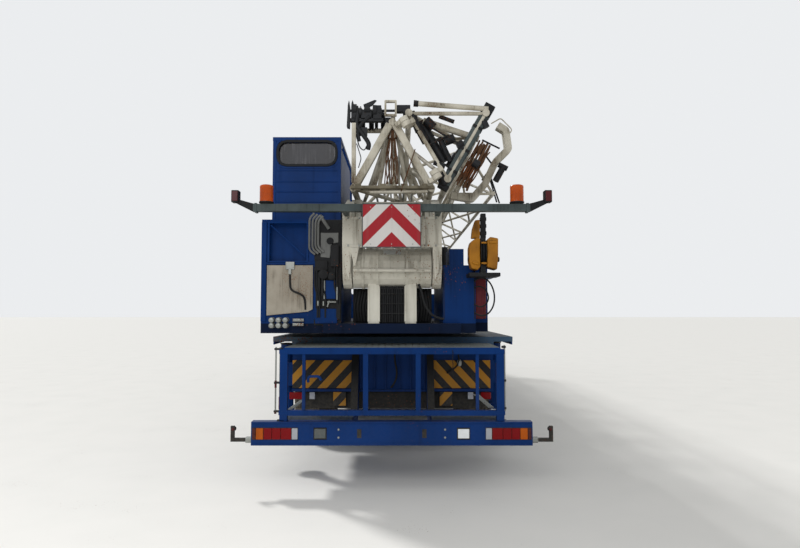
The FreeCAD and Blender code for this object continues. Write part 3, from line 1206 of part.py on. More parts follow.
def jib_tip():
    """Tip section, hinged to the middle section's front end and folded beneath it, with an end hoop."""
    side, chord, half = cell("tip_side"), cell("tip_chord"), cell("tip_gap") / 2
    below = middle_corners()[2]
    corner = Vector(below[0], 0, below[1]) + OUT_DOWN * cell("tip_gap")
    corners = [(corner.x, corner.z), (corner.x + side, corner.z),
               (corner.x + side / 2, corner.z + side * EQUAL_RISE)]
    front, line = cell("tip_front_y"), cell("tip_fold_y")
    pieces = lattice(corners, cell("tip_rear_y"), front, int(cell("tip_bays")), chord, cell("tip_lacing"),
                     chord / 2)
    axis = Vector(below[0], 0, below[1]) + OUT_DOWN * half
    for spot in inner_spots(side):
        pieces.append(oblique(fold_lug(spot, cell("lug_thickness"), -half, 0.0, front, line), axis,
                              -FOLD_TILT))
    hoop = [(cell(f"hoop_{key}_x"), cell(f"hoop_{key}_z")) for key in "abcdefg"]
    pieces += band(hoop, cell("tip_rear_y") + cell("hoop_width") / 2, cell("hoop_width"))
    hole = pin_through(cell("lug_pin_radius") + cell("curved_gap"), 0, side, line, axis, -FOLD_TILT, True)
    node("jib_tip", solid("tip_section", fused(pieces).cut(hole)))


def build():
    """Make every piece of the crane."""
    fill_sheet()
    chassis_frame()
    deck()
    rear_bumper()
    front_bumper()
    lamps()
    marker_arms()
    rear_guard()
    side_lockers()
    engine()
    driver_cab()
    cab_glass()
    cab_interior()
    for name, side in SIDES.items():
        hinged_door(f"cab_door_{name}", "cab_half", side, "door_rear_y", "door_front_y", "door_low",
                    "door_top", "door_window_low", "cab_wall")
    slew_ring()
    axles()
    for axle, steered in AXLES.items():
        for name, side in SIDES.items():
            if steered:
                knuckle(axle, name, side)
            wheel(axle, name, side)
    for place in HOUSINGS:
        for name, side in SIDES.items():
            outrigger(place, name, side)
    turntable()
    counterweight()
    mast_stand()
    operator_cab()
    operator_glass()
    hinged_door("operator_door", "-booth_left", -1, "booth_door_rear_y", "booth_door_front_y",
                "turntable_top + booth_floor", "booth_window_top", "turntable_top + booth_floor + 700",
                "booth_wall")
    power_unit()
    hook_block()
    winch()
    mast_outer()
    light_beam()
    warning_board()
    beacons()
    mast_inner()
    raise_cylinders()
    jib_root()
    jib_mid()
    jib_tip()


def check():
    """Stop on any object that failed and any piece with an empty or invalid shape."""
    for item in DOCUMENT.Objects:
        faults = {"Invalid", "Error"} & set(item.State)
        if faults:
            raise RuntimeError(f"{item.Name} failed: {item.State}")
    for label, item in NODES.items():
        if item.Shape.isNull() or not item.Shape.isValid() or not item.Shape.Solids:
            raise RuntimeError(f"{label} has no valid shape")


def write():
    """Write each piece to its own file."""
    os.makedirs("parts", exist_ok=True)
    for label, item in NODES.items():
        item.Shape.exportStep(f"parts/{label}.step")


build()
DOCUMENT.recompute()
check()
write()
print(f"{len(NODES)} pieces written")
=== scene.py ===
"""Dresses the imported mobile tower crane: fine pieces, finishes, floor, light and camera."""

from __future__ import annotations

import logging
import math
from dataclasses import dataclass
from enum import Enum

import bmesh
import bpy
import numpy as np
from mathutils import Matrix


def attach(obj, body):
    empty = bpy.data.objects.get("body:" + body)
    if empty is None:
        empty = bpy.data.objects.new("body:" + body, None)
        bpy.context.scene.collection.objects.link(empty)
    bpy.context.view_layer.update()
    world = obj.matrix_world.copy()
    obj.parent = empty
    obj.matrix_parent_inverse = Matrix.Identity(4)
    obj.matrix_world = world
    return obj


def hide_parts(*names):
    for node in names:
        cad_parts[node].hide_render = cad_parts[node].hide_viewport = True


LOG = logging.getLogger("tower_crane")
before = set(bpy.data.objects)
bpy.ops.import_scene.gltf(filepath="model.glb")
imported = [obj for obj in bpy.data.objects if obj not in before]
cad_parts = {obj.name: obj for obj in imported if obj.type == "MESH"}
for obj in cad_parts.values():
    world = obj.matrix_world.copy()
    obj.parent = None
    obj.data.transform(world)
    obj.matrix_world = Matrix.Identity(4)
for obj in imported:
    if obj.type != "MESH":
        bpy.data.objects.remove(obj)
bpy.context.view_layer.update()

SIDES = {"left": -1.0, "right": 1.0}
Point = tuple[float, float, float]
Pair = tuple[float, float]


# Surfaces worked out with numpy


@dataclass
class Surface:
    """Points and faces of one surface, before they become a mesh.

    Args:
        points: array of shape (n, 3), in metres.
        faces: tuples of point numbers, outward by the right-hand rule.
    """

    points: np.ndarray
    faces: list[tuple[int, ...]]

    def moved(self, shift: Point) -> "Surface":
        """Return a copy moved by a shift: p' = p + shift."""
        return Surface(self.points + np.asarray(shift), self.faces)

    def mirrored(self) -> "Surface":
        """Return the copy on the other side of the middle plane: x' = -x, faces reversed."""
        return Surface(self.points * np.array([-1.0, 1.0, 1.0]), [face[::-1] for face in self.faces])

    def turned(self, axis: str, angle: float, centre: Point) -> "Surface":
        """Return a copy turned by an angle about an axis through a centre.

        Args:
            axis: "x", "y" or "z".
            angle: in radians, by the right-hand rule.
            centre: a point on the axis.

        Returns:
            The turned surface: p' = c + R (p - c).
        """
        return Surface((self.points - centre) @ rotation(axis, angle).T + centre, self.faces)


def rotation(axis: str, angle: float) -> np.ndarray:
    """Return the matrix of a turn about a main axis by the right-hand rule."""
    first, second = {"x": (1, 2), "y": (2, 0), "z": (0, 1)}[axis]
    matrix = np.eye(3)
    matrix[first, first] = matrix[second, second] = math.cos(angle)
    matrix[first, second] = -math.sin(angle)
    matrix[second, first] = math.sin(angle)
    return matrix


def merged(*surfaces: Surface) -> Surface:
    """Return one surface with the points and faces of several."""
    points, faces, start = [], [], 0
    for surface in surfaces:
        points.append(surface.points)
        faces += [tuple(number + start for number in face) for face in surface.faces]
        start += len(surface.points)
    return Surface(np.vstack(points), faces)


def grid(points: np.ndarray, wrap_rows: bool, caps: bool) -> Surface:
    """Join a grid of points into faces; the columns always close into rings.

    Args:
        points: array (rows, columns, 3); face (r, c) joins rows r, r+1 and columns c, c+1.
        wrap_rows: whether the last row joins the first.
        caps: whether the first and last rings are filled.

    Returns:
        The surface, with quads in the order that makes rings run anticlockwise about the path.
    """
    rows, columns = points.shape[:2]
    row = np.arange(rows if wrap_rows else rows - 1)[:, None]
    column = np.arange(columns)[None, :]
    after, beside = (row + 1) % rows, (column + 1) % columns
    quads = np.stack(np.broadcast_arrays(row * columns + column, row * columns + beside,
                                         after * columns + beside, after * columns + column), -1)
    faces = [tuple(quad) for quad in quads.reshape(-1, 4).tolist()]
    if caps and not wrap_rows:
        faces.append(tuple(range(columns))[::-1])
        faces.append(tuple(range((rows - 1) * columns, rows * columns)))
    return Surface(points.reshape(-1, 3), faces)


def carried(path: np.ndarray, section: np.ndarray, closed: bool = False) -> Surface:
    """Carry a closed section along a path: p(s, t) = path(s) + u(t) n(s) + v(t) b(s).

    Args:
        path: array (n, 3); its own plane's normal n keeps the section from twisting.
        section: array (m, 2) of (u, v), anticlockwise.
        closed: whether the path's end joins its start.

    Returns:
        The tube's surface, capped where the path is open.
    """
    path = np.asarray(path, float)
    if closed:
        tangent = np.roll(path, -1, 0) - np.roll(path, 1, 0)
    else:
        tangent = np.gradient(path, axis=0)
    tangent /= np.linalg.norm(tangent, axis=1, keepdims=True)
    spread = np.linalg.svd(path - path.mean(0))[2]
    normal = spread[2]
    if len(path) == 2 or np.linalg.matrix_rank(path - path.mean(0), tol=1e-4) < 2:
        normal = np.array([0.0, 0.0, 1.0]) if abs(tangent[0, 2]) < 0.9 else np.array([0.0, 1.0, 0.0])
    across = normal - (tangent @ normal)[:, None] * tangent
    across /= np.linalg.norm(across, axis=1, keepdims=True)
    side = np.cross(tangent, across)
    section = np.asarray(section, float)
    points = path[:, None] + section[None, :, :1] * across[:, None] + section[None, :, 1:] * side[:, None]
    return grid(points, closed, True)


def circle(radius: float, sides: int) -> np.ndarray:
    """Return points on a circle: (r cos a, r sin a)."""
    angle = np.linspace(0, 2 * math.pi, sides, endpoint=False)
    return np.stack([radius * np.cos(angle), radius * np.sin(angle)], 1)


def rectangle(width: float, height: float, corner: float = 0.0) -> np.ndarray:
    """Return a rectangle about the origin, its corners rounded by short arcs when asked.

    Args:
        width: size along u.
        height: size along v.
        corner: radius of the corners.

    Returns:
        Points (u, v), anticlockwise.
    """
    if not corner:
        return np.array([[-width, -height], [width, -height], [width, height], [-width, height]]) / 2
    angle = np.linspace(0, math.pi / 2, 4)
    arc = np.stack([np.cos(angle), np.sin(angle)], 1) * corner
    inner = np.array([width / 2 - corner, height / 2 - corner])
    parts = []
    for number, sign in enumerate(((1, 1), (-1, 1), (-1, -1), (1, -1))):
        turn = number * math.pi / 2
        matrix = np.array([[math.cos(turn), math.sin(turn)], [-math.sin(turn), math.cos(turn)]])
        parts.append(arc @ matrix + inner * sign)
    return np.vstack(parts)


def tube(points: list[Point], radius: float, sides: int = 10, bend: float = 0.0,
         closed: bool = False) -> Surface:
    """A round bar through points, its corners bent to an arc.

    Args:
        points: corners of the bar's middle line.
        radius: of the bar.
        sides: of its section.
        bend: distance from each corner at which the bend starts.
        closed: whether it is a ring.

    Returns:
        The bar's surface.
    """
    path = bent(points, bend) if bend else np.asarray(points, float)
    return carried(path, circle(radius, sides), closed)


def bent(points: list[Point], reach: float, steps: int = 6) -> np.ndarray:
    """Round a path's corners: p(t) = (1-t)^2 a + 2 t (1-t) c + t^2 b about each corner c."""
    path = np.asarray(points, float)
    parts = [path[:1]]
    share = np.linspace(0, 1, steps)[:, None]
    for before, corner, after in zip(path, path[1:], path[2:]):
        first = corner + (before - corner) * min(0.49, reach / np.linalg.norm(before - corner))
        last = corner + (after - corner) * min(0.49, reach / np.linalg.norm(after - corner))
        parts.append((1 - share) ** 2 * first + 2 * share * (1 - share) * corner + share ** 2 * last)
    parts.append(path[-1:])
    return np.vstack(parts)


def lathe(profile: list[Pair], centre: Point, axis: str, segments: int = 32,
          closed: bool = False) -> Surface:
    """Turn a profile about an axis: p(s, a) = c + along(s) e + r(s) (cos a, sin a).

    Args:
        profile: pairs (along the axis, radius), from low to high along the axis on the outside.
        centre: the profile's zero.
        axis: "x", "y" or "z".
        segments: steps round.
        closed: whether the profile is a closed loop, such as a ring's section.

    Returns:
        The turned surface, its ends filled when the profile is open.
    """
    profile = np.asarray(profile, float)
    angle = np.linspace(0, 2 * math.pi, segments, endpoint=False)
    order = {"x": (1, 2, 0), "y": (2, 0, 1), "z": (0, 1, 2)}[axis]
    points = np.zeros((len(profile), segments, 3))
    points[..., order[0]] = profile[:, 1:] * np.cos(angle)
    points[..., order[1]] = profile[:, 1:] * np.sin(angle)
    points[..., order[2]] = profile[:, :1]
    return grid(points + np.asarray(centre), closed, True)


def box(low: Point, high: Point) -> Surface:
    """The faces of an upright block between two corners."""
    low, high = np.minimum(low, high), np.maximum(low, high)
    corners = np.array([[x, y, z] for z in (0, 1) for y in (0, 1) for x in (0, 1)])
    faces = [(0, 2, 3, 1), (4, 5, 7, 6), (0, 1, 5, 4), (2, 6, 7, 3), (0, 4, 6, 2), (1, 3, 7, 5)]
    return Surface(low + corners * (high - low), faces)


def plate(outline: list[Pair], plane: str, low: float, high: float) -> Surface:
    """A flat plate: an outline in a plane, carried from a low to a high level.

    Args:
        outline: corners in the plane, in either order.
        plane: "xz", "yz" or "xy".
        low: lower level along the plane's normal.
        high: upper level.

    Returns:
        The plate's surface.
    """
    flat = np.asarray(outline, float)
    first, second = flat[:, 0], flat[:, 1]
    if np.sum(first * np.roll(second, -1) - np.roll(first, -1) * second) < 0:
        flat = flat[::-1]
    order = {"xz": (0, 2, 1), "yz": (1, 2, 0), "xy": (0, 1, 2)}[plane]
    points = np.zeros((2, len(flat), 3))
    points[..., order[0]] = flat[:, 0]
    points[..., order[1]] = flat[:, 1]
    points[0, :, order[2]] = low
    points[1, :, order[2]] = high
    surface = grid(points, False, True)
    if plane == "xz":
        surface.faces = [face[::-1] for face in surface.faces]
    return surface


def hollow_frame(centre: Pair, size: Pair, corner: float, band: float, plane: str, low: float,
                 high: float) -> Surface:
    """A rounded frame, such as a window's rubber: a rounded loop and the same loop moved inwards.

    Args:
        centre: of the opening in the plane.
        size: of the frame's outside.
        corner: radius of the outer corners.
        band: width of the frame's face.
        plane: "xz" or "yz".
        low: lower level along the plane's normal.
        high: upper level.

    Returns:
        A ring with a four-sided section.
    """
    outer = rectangle(*size, corner) + centre
    inner = rectangle(size[0] - 2 * band, size[1] - 2 * band, max(corner - band, 0.004)) + centre
    order = {"xz": (0, 2, 1), "yz": (1, 2, 0)}[plane]
    loops = ((outer, low), (outer, high), (inner, high), (inner, low))
    points = np.zeros((len(loops), len(outer), 3))
    for number, (loop, level) in enumerate(loops):
        points[number][:, order[0]] = loop[:, 0]
        points[number][:, order[1]] = loop[:, 1]
        points[number][:, order[2]] = level
    return grid(points, True, False)


def copies(surface: Surface, shifts: np.ndarray) -> Surface:
    """Repeat a surface at many shifts: p(k) = p + shift(k)."""
    shifts = np.asarray(shifts, float)
    points = (surface.points[None] + shifts[:, None]).reshape(-1, 3)
    size = len(surface.points)
    faces = [tuple(number + size * copy for number in face)
             for copy in range(len(shifts)) for face in surface.faces]
    return Surface(points, faces)


def round_about(surface: Surface, axis: str, centre: Point, count: int, start: float = 0.0) -> Surface:
    """Repeat a surface evenly round an axis."""
    return merged(*[surface.turned(axis, start + 2 * math.pi * step / count, centre)
                    for step in range(count)])


def bolts(centres: list[Point], axis: str, radius: float, height: float) -> Surface:
    """Hexagon bolt heads that stand on a face; a negative height stands towards the low side."""
    head = lathe([(0.0, radius), (height * 0.75, radius), (height, radius * 0.8)], (0, 0, 0), axis, 6)
    if height < 0:
        head.faces = [face[::-1] for face in head.faces]
    return copies(head, np.asarray(centres))


# Finishes


Colour = tuple[float, float, float]


def tint(code: str) -> Colour:
    """Turn a six-digit screen colour into a linear one: c = ((s + 0.055) / 1.055) ^ 2.4."""
    values = [int(code[start:start + 2], 16) / 255 for start in (0, 2, 4)]
    return tuple(value / 12.92 if value <= 0.04045 else ((value + 0.055) / 1.055) ** 2.4
                 for value in values)


@dataclass
class Tree:
    """A node tree being put together.

    Args:
        tree: the tree of a material or of a group.
    """

    tree: bpy.types.NodeTree

    def add(self, kind: str, feeds: dict | None = None, **settings) -> bpy.types.Node:
        """Add a node.

        Args:
            kind: the node's type without its "ShaderNode".
            feeds: for a socket's name or number, an output to link or a plain value.
            settings: the node's own options.

        Returns:
            The new node.
        """
        item = self.tree.nodes.new("ShaderNode" + kind)
        for name, value in settings.items():
            setattr(item, name, value)
        for socket, value in (feeds or {}).items():
            if isinstance(value, bpy.types.NodeSocket):
                self.tree.links.new(value, item.inputs[socket])
            else:
                item.inputs[socket].default_value = value
        return item

    def math(self, operation: str, *values) -> bpy.types.NodeSocket:
        """Return the output of a Math node on sockets or numbers."""
        return self.add("Math", dict(enumerate(values)), operation=operation).outputs[0]

    def step(self, value, low, high) -> bpy.types.NodeSocket:
        """Return a smooth step from 0 at the low value to 1 at the high one."""
        return self.add("MapRange", {"Value": value, "From Min": low, "From Max": high},
                        interpolation_type="SMOOTHSTEP").outputs[0]

    def blend(self, mask, first, second) -> bpy.types.NodeSocket:
        """Return a colour between two, by a mask from 0 to 1."""
        return self.add("Mix", {0: mask, 6: first, 7: second}, data_type="RGBA").outputs[2]

    def noise(self, vector, scale, detail: float = 4.0) -> bpy.types.NodeSocket:
        """Return a cloudy value from 0 to 1 at a scale per metre."""
        return self.add("TexNoise", {"Vector": vector, "Scale": scale, "Detail": detail}).outputs[0]

    def stretched(self, vector, factors: Point) -> bpy.types.NodeSocket:
        """Return a vector multiplied axis by axis."""
        return self.add("VectorMath", {0: vector, 1: factors}, operation="MULTIPLY").outputs[0]

    def split(self, vector) -> tuple:
        """Return the three parts of a vector."""
        return tuple(self.add("SeparateXYZ", {0: vector}).outputs)


def new_group(name: str, inputs: dict, outputs: dict) -> tuple[Tree, bpy.types.Node, bpy.types.Node]:
    """Make an empty node group.

    Args:
        name: of the group.
        inputs: socket kind by input name: Vector, Color or Float.
        outputs: the same for the outputs.

    Returns:
        The tree, its input node and its output node.
    """
    group = bpy.data.node_groups.new(name, "ShaderNodeTree")
    for direction, sockets in (("INPUT", inputs), ("OUTPUT", outputs)):
        for label, kind in sockets.items():
            group.interface.new_socket(name=label, in_out=direction, socket_type="NodeSocket" + kind)
    return Tree(group), group.nodes.new("NodeGroupInput"), group.nodes.new("NodeGroupOutput")


def weathering_group() -> bpy.types.NodeTree:
    """Build the ageing of a surface: tone, rain streaks, rust, dust on top and road dirt low down."""
    floats = ("Tone", "Streaks", "Rusting", "Dusting", "Mud", "Scale", "Rough")
    tree, given, result = new_group(
        "weathering",
        {"Vector": "Vector", "Paint": "Color", "Deep": "Color", "Grime": "Color", "Rust": "Color",
         **{label: "Float" for label in floats}},
        {"Color": "Color", "Roughness": "Float", "Height": "Float"})
    value = given.outputs
    place = value["Vector"]
    sized = tree.add("VectorMath", {0: place, "Scale": value["Scale"]}, operation="SCALE").outputs[0]
    cloud = tree.noise(sized, 1.7, 6.0)
    fine = tree.noise(sized, 34.0, 5.0)
    speck = tree.noise(tree.stretched(sized, (1.0, 1.0, 0.7)), 78.0, 3.0)
    run = tree.noise(tree.stretched(sized, (19.0, 19.0, 1.1)), 1.0, 4.0)
    facing = tree.split(tree.add("NewGeometry").outputs["Normal"])[2]
    height = tree.split(place)[2]
    upright = tree.math("SUBTRACT", 1.0, tree.math("ABSOLUTE", facing))
    tone = tree.math("MULTIPLY", tree.step(cloud, 0.3, 0.7), value["Tone"])
    colour = tree.blend(tone, value["Paint"], value["Deep"])
    patch = tree.step(cloud, 0.35, 0.62)
    streak = tree.math("MULTIPLY", tree.math("MULTIPLY", tree.step(run, 0.48, 0.74), upright),
                       tree.math("MULTIPLY", value["Streaks"], patch))
    colour = tree.blend(streak, colour, value["Grime"])
    spot = tree.math("ADD", speck, tree.math("MULTIPLY", tree.step(cloud, 0.42, 0.75), 0.16))
    bite = tree.math("SUBTRACT", 0.86, tree.math("MULTIPLY", value["Rusting"], 0.3))
    rust = tree.step(tree.math("ADD", spot, tree.math("MULTIPLY", fine, 0.12)), bite,
                     tree.math("ADD", bite, 0.05))
    colour = tree.blend(rust, colour, value["Rust"])
    dust = tree.math("MULTIPLY", tree.step(facing, 0.35, 0.95),
                     tree.math("MULTIPLY", value["Dusting"], tree.step(fine, 0.2, 0.75)))
    low = tree.math("MULTIPLY", tree.step(tree.math("ADD", height, tree.math("MULTIPLY", cloud, 0.7)),
                                          1.7, 0.5),
                    tree.math("MULTIPLY", value["Mud"], tree.step(fine, 0.15, 0.7)))
    soil = tree.math("MAXIMUM", dust, low)
    colour = tree.blend(soil, colour, (*tint("8b8375"), 1.0))
    worn = tree.math("MAXIMUM", tree.math("MAXIMUM", streak, rust), soil)
    rough = tree.math("ADD", value["Rough"], tree.math("MULTIPLY", tree.math("SUBTRACT", fine, 0.5), 0.16))
    rough = tree.math("MINIMUM", tree.math("ADD", rough, tree.math("MULTIPLY", worn, 0.35)), 0.98)
    relief = tree.math("SUBTRACT", tree.math("ADD", tree.math("MULTIPLY", fine, 0.5),
                                             tree.math("MULTIPLY", cloud, 0.5)),
                       tree.math("MULTIPLY", rust, 0.4))
    for label, socket in (("Color", colour), ("Roughness", rough), ("Height", relief)):
        tree.tree.links.new(socket, result.inputs[label])
    return tree.tree


def bands_group() -> bpy.types.NodeTree:
    """Build stripes: 1 where the fraction of (place . Across + Offset) / Period is under a half.

    Fold bends them into arrows by taking |x| for x.
    """
    tree, given, result = new_group(
        "bands", {"Vector": "Vector", "Across": "Vector", "Fold": "Float", "Period": "Float",
                  "Offset": "Float"}, {"Mask": "Float"})
    value = given.outputs
    x, y, z = tree.split(value["Vector"])
    folded = tree.math("ADD", tree.math("MULTIPLY", tree.math("ABSOLUTE", x), value["Fold"]),
                       tree.math("MULTIPLY", x, tree.math("SUBTRACT", 1.0, value["Fold"])))
    place = tree.add("CombineXYZ", {0: folded, 1: y, 2: z}).outputs[0]
    along = tree.add("VectorMath", {0: place, 1: value["Across"]}, operation="DOT_PRODUCT").outputs["Value"]
    steps = tree.math("DIVIDE", tree.math("ADD", along, value["Offset"]), value["Period"])
    turn = tree.math("FRACT", tree.math("ADD", steps, 0.25))
    centred = tree.math("ABSOLUTE", tree.math("SUBTRACT", turn, 0.5))
    tree.tree.links.new(tree.step(centred, 0.26, 0.24), result.inputs["Mask"])
    return tree.tree


def lugs_group() -> bpy.types.NodeTree:
    """Build the raised lugs of a tread plate: |sin| bumps crossed at two slants, as a height."""
    tree, given, result = new_group("lugs", {"Vector": "Vector", "Pitch": "Float"}, {"Height": "Float"})
    value = given.outputs
    x, y, z = tree.split(tree.add("VectorMath", {0: value["Vector"], "Scale": value["Pitch"]},
                                  operation="SCALE").outputs[0])
    flat = tree.math("ADD", y, z)
    first = tree.math("SINE", tree.math("ADD", x, tree.math("MULTIPLY", flat, 3.0)))
    second = tree.math("SINE", tree.math("SUBTRACT", tree.math("MULTIPLY", x, 3.0), flat))
    third = tree.math("SINE", tree.math("SUBTRACT", tree.math("MULTIPLY", flat, 1.0), x))
    lug = tree.math("MULTIPLY", tree.math("MULTIPLY", first, second), third)
    tree.tree.links.new(tree.step(lug, 0.25, 0.6), result.inputs["Height"])
    return tree.tree


class Pattern(Enum):
    """What is painted or pressed into a finish."""

    PLAIN = "plain"
    BANDS = "bands"
    LUGS = "lugs"
    MESH = "mesh"


GROUPS = {"weathering": weathering_group(), "bands": bands_group(), "lugs": lugs_group()}


@dataclass(frozen=True)
class Finish:
    """The look of one kind of surface.

    Args:
        name: of the material.
        slot: the record's slot that it belongs to; not used.
        paint, deep: the clean colour and its darker patches.
        grime, rust: colours of streaks and of rust.
        tone, streaks, rusting, dusting, mud: amounts from 0 to 1.
        scale: of the clouds and streaks.
        roughness, metal, coat, gloss, relief, clear: of the shader; clear is the light let through.
        pattern: what is painted or pressed in.
        second, across, period, offset, fold: colour and run of the bands, or pitch of the lugs.
    """

    name: str
    slot: str
    paint: str
    deep: str
    grime: str = "3d382e"
    rust: str = "6a3b20"
    tone: float = 0.5
    streaks: float = 0.35
    rusting: float = 0.2
    dusting: float = 0.25
    mud: float = 0.25
    scale: float = 1.0
    roughness: float = 0.5
    metal: float = 0.0
    coat: float = 0.0
    gloss: float = 0.2
    relief: float = 0.12
    clear: float = 0.0
    pattern: Pattern = Pattern.PLAIN
    second: str = "15161a"
    across: Point = (0.0, 0.0, 1.0)
    period: float = 0.1
    offset: float = 0.0
    fold: float = 0.0

    def material(self) -> bpy.types.Material:
        """Return the finish's material, made on first use."""
        found = bpy.data.materials.get(self.name)
        return found if found else self.made()

    def made(self) -> bpy.types.Material:
        """Build the material: pattern, weathering group, shader and bump."""
        material = bpy.data.materials.new(self.name)
        material.use_nodes = True
        tree = Tree(material.node_tree)
        shader = next(item for item in material.node_tree.nodes if item.type == "BSDF_PRINCIPLED")
        place = tree.add("TexCoord").outputs["Object"]
        aged = tree.add("Group", node_tree=GROUPS["weathering"])
        plain = {"Deep": (*tint(self.deep), 1.0), "Grime": (*tint(self.grime), 1.0),
                 "Rust": (*tint(self.rust), 1.0), "Tone": self.tone, "Streaks": self.streaks,
                 "Rusting": self.rusting, "Dusting": self.dusting, "Mud": self.mud,
                 "Scale": self.scale, "Rough": self.roughness, "Paint": (*tint(self.paint), 1.0)}
        for label, value in plain.items():
            aged.inputs[label].default_value = value
        tree.tree.links.new(place, aged.inputs["Vector"])
        height = aged.outputs["Height"]
        if self.pattern is Pattern.BANDS:
            mask = tree.add("Group", {}, node_tree=GROUPS["bands"])
            for label, value in (("Across", self.across), ("Fold", self.fold),
                                 ("Period", self.period), ("Offset", self.offset)):
                mask.inputs[label].default_value = value
            tree.tree.links.new(place, mask.inputs["Vector"])
            for label, code in (("Paint", self.paint), ("Deep", self.deep)):
                other = self.second
                mixed = tree.blend(mask.outputs[0], (*tint(code), 1.0), (*tint(other), 1.0))
                tree.tree.links.new(mixed, aged.inputs[label])
        elif self.pattern is Pattern.LUGS:
            lugs = tree.add("Group", node_tree=GROUPS["lugs"])
            lugs.inputs["Pitch"].default_value = self.period
            tree.tree.links.new(place, lugs.inputs["Vector"])
            height = tree.math("ADD", height, tree.math("MULTIPLY", lugs.outputs[0], 2.0))
        tree.tree.links.new(aged.outputs["Color"], shader.inputs["Base Color"])
        if self.clear:
            shader.inputs["Roughness"].default_value = self.roughness
        else:
            tree.tree.links.new(aged.outputs["Roughness"], shader.inputs["Roughness"])
        bump = tree.add("Bump", {"Height": height, "Strength": min(1.0, self.relief * 3),
                                 "Distance": 0.004})
        tree.tree.links.new(bump.outputs[0], shader.inputs["Normal"])
        shader.inputs["Metallic"].default_value = self.metal
        shader.inputs["Coat Weight"].default_value = self.coat
        shader.inputs["Specular IOR Level"].default_value = self.gloss
        shader.inputs["Transmission Weight"].default_value = self.clear
        return material


NAVY = Finish("navy paint", "carrier_blue", "052f68", "042450", "040d1c", roughness=0.42, gloss=0.08,
              tone=0.7, streaks=0.4, rusting=0.02, dusting=0.12, mud=0.12)
# Navy with painted shade: a much darker copy of the navy paint, for the turntable, which sits in shadow.
NAVY_WITH_PAINTED_SHADE = Finish("shaded navy paint", "carrier_blue", "061630", "040f22", "04080f", roughness=0.55,
                   tone=0.7, streaks=0.4, rusting=0.1, dusting=0.2, mud=0.15, gloss=0.08)
FRAME_BLUE = Finish("frame blue", "carrier_blue", "06316c", "042552", "050f22", roughness=0.4,
                    tone=0.6, streaks=0.25, rusting=0.05, dusting=0.15, mud=0.03, gloss=0.08)
DECK_PLATE = Finish("worn deck plate", "carrier_blue", "3b556f", "56605f", "2d3130", rusting=0.4,
                    roughness=0.6, relief=0.2, dusting=0.75, mud=0.3, pattern=Pattern.LUGS, period=60.0)
IVORY = Finish("ivory paint", "mast_white", "cccabf", "b1ada0", "615b4e", "74451f", tone=0.85,
               streaks=0.75, rusting=0.14, dusting=0.2, mud=0.1, roughness=0.55)
JIB_IVORY = Finish("jib ivory", "mast_white", "c3beb0", "8f8877", "3b352b", "5a3420", tone=1.0,
                   streaks=0.9, rusting=0.4, dusting=0.25, mud=0.0, scale=2.3, roughness=0.6)
# A dark brownish grey, far darker than the ivory, for the bar under the jib root's base.
DARKENED_IVORY = Finish("darkened ivory bar", "mast_white", "7a7361", "554e40", "2a261e", "55321e", tone=1.0,
                   streaks=0.8, rusting=0.4, dusting=0.3, mud=0.0, scale=2.5, roughness=0.65)
GALVANISED = Finish("dull galvanised", "galvanised", "424b4b", "303838", "1f2424", "5a3c28", tone=1.0,
                    rusting=0.12, roughness=0.5, metal=0.1, scale=2.4, streaks=0.6, mud=0.0, dusting=0.12)
PALE_STEEL = Finish("pale steel", "galvanised", "9b9e9a", "7d807c", "3d3d3a", "6e4b34", tone=0.8,
                    rusting=0.35, roughness=0.4, metal=0.6, mud=0.1)
DARK_STEEL = Finish("dark steel", "dark_steel", "2a2b2d", "1b1c1e", "100f0e", "4b2f20", tone=0.8,
                    rusting=0.4, roughness=0.55, metal=0.5, mud=0.3)
CHASSIS_BLACK = Finish("chassis black", "axle_black", "1c1d20", "131416", "0a0a0a", "3b281e", tone=0.8,
                       rusting=0.35, roughness=0.7, mud=0.7)
RUSTY_ROPE = Finish("rusty rope", "dark_steel", "5b4330", "3a2c21", "241c15", "6c3d20", tone=0.9,
                    rusting=0.7, roughness=0.8, metal=0.2, scale=3.0, mud=0.0)
BRIGHT_ROD = Finish("bright rod", "bright_rod", "b4b7ba", "9a9da0", "4b463e", tone=0.4, streaks=0.2,
                    rusting=0.05, roughness=0.2, metal=1.0, relief=0.03, mud=0.0)
TYRE = Finish("tyre rubber", "tyre_rubber", "1d1d1e", "29282a", "3a362f", "4a4237", tone=0.8,
              streaks=0.2, rusting=0.1, dusting=0.3, mud=0.6, roughness=0.85, relief=0.25)
RIM = Finish("rim paint", "carrier_blue", "c5c4bb", "9d9a8f", "443f35", tone=0.7, rusting=0.35,
             mud=0.45, roughness=0.5)
RUBBER = Finish("black rubber", "trim_dark", "17181a", "202122", "0d0d0d", tone=0.5, streaks=0.1,
                rusting=0.0, dusting=0.25, mud=0.2, roughness=0.7)
BLACK_TRIM = Finish("black trim", "trim_dark", "151618", "0f1011", "0a0a0a", tone=0.5, rusting=0.1,
                    roughness=0.6, mud=0.2)
SEAT_CLOTH = Finish("seat cloth", "trim_dark", "2c2e33", "222429", "151515", tone=0.6, rusting=0.0,
                    dusting=0.2, roughness=0.9, relief=0.4, scale=5.0, mud=0.0)
PANE = Finish("cab pane", "cab_glass", "3a4245", "30383b", "50544f", tone=0.4, streaks=0.2,
              rusting=0.0, dusting=0.05, mud=0.0, roughness=0.06, gloss=0.5, clear=0.6, relief=0.0)
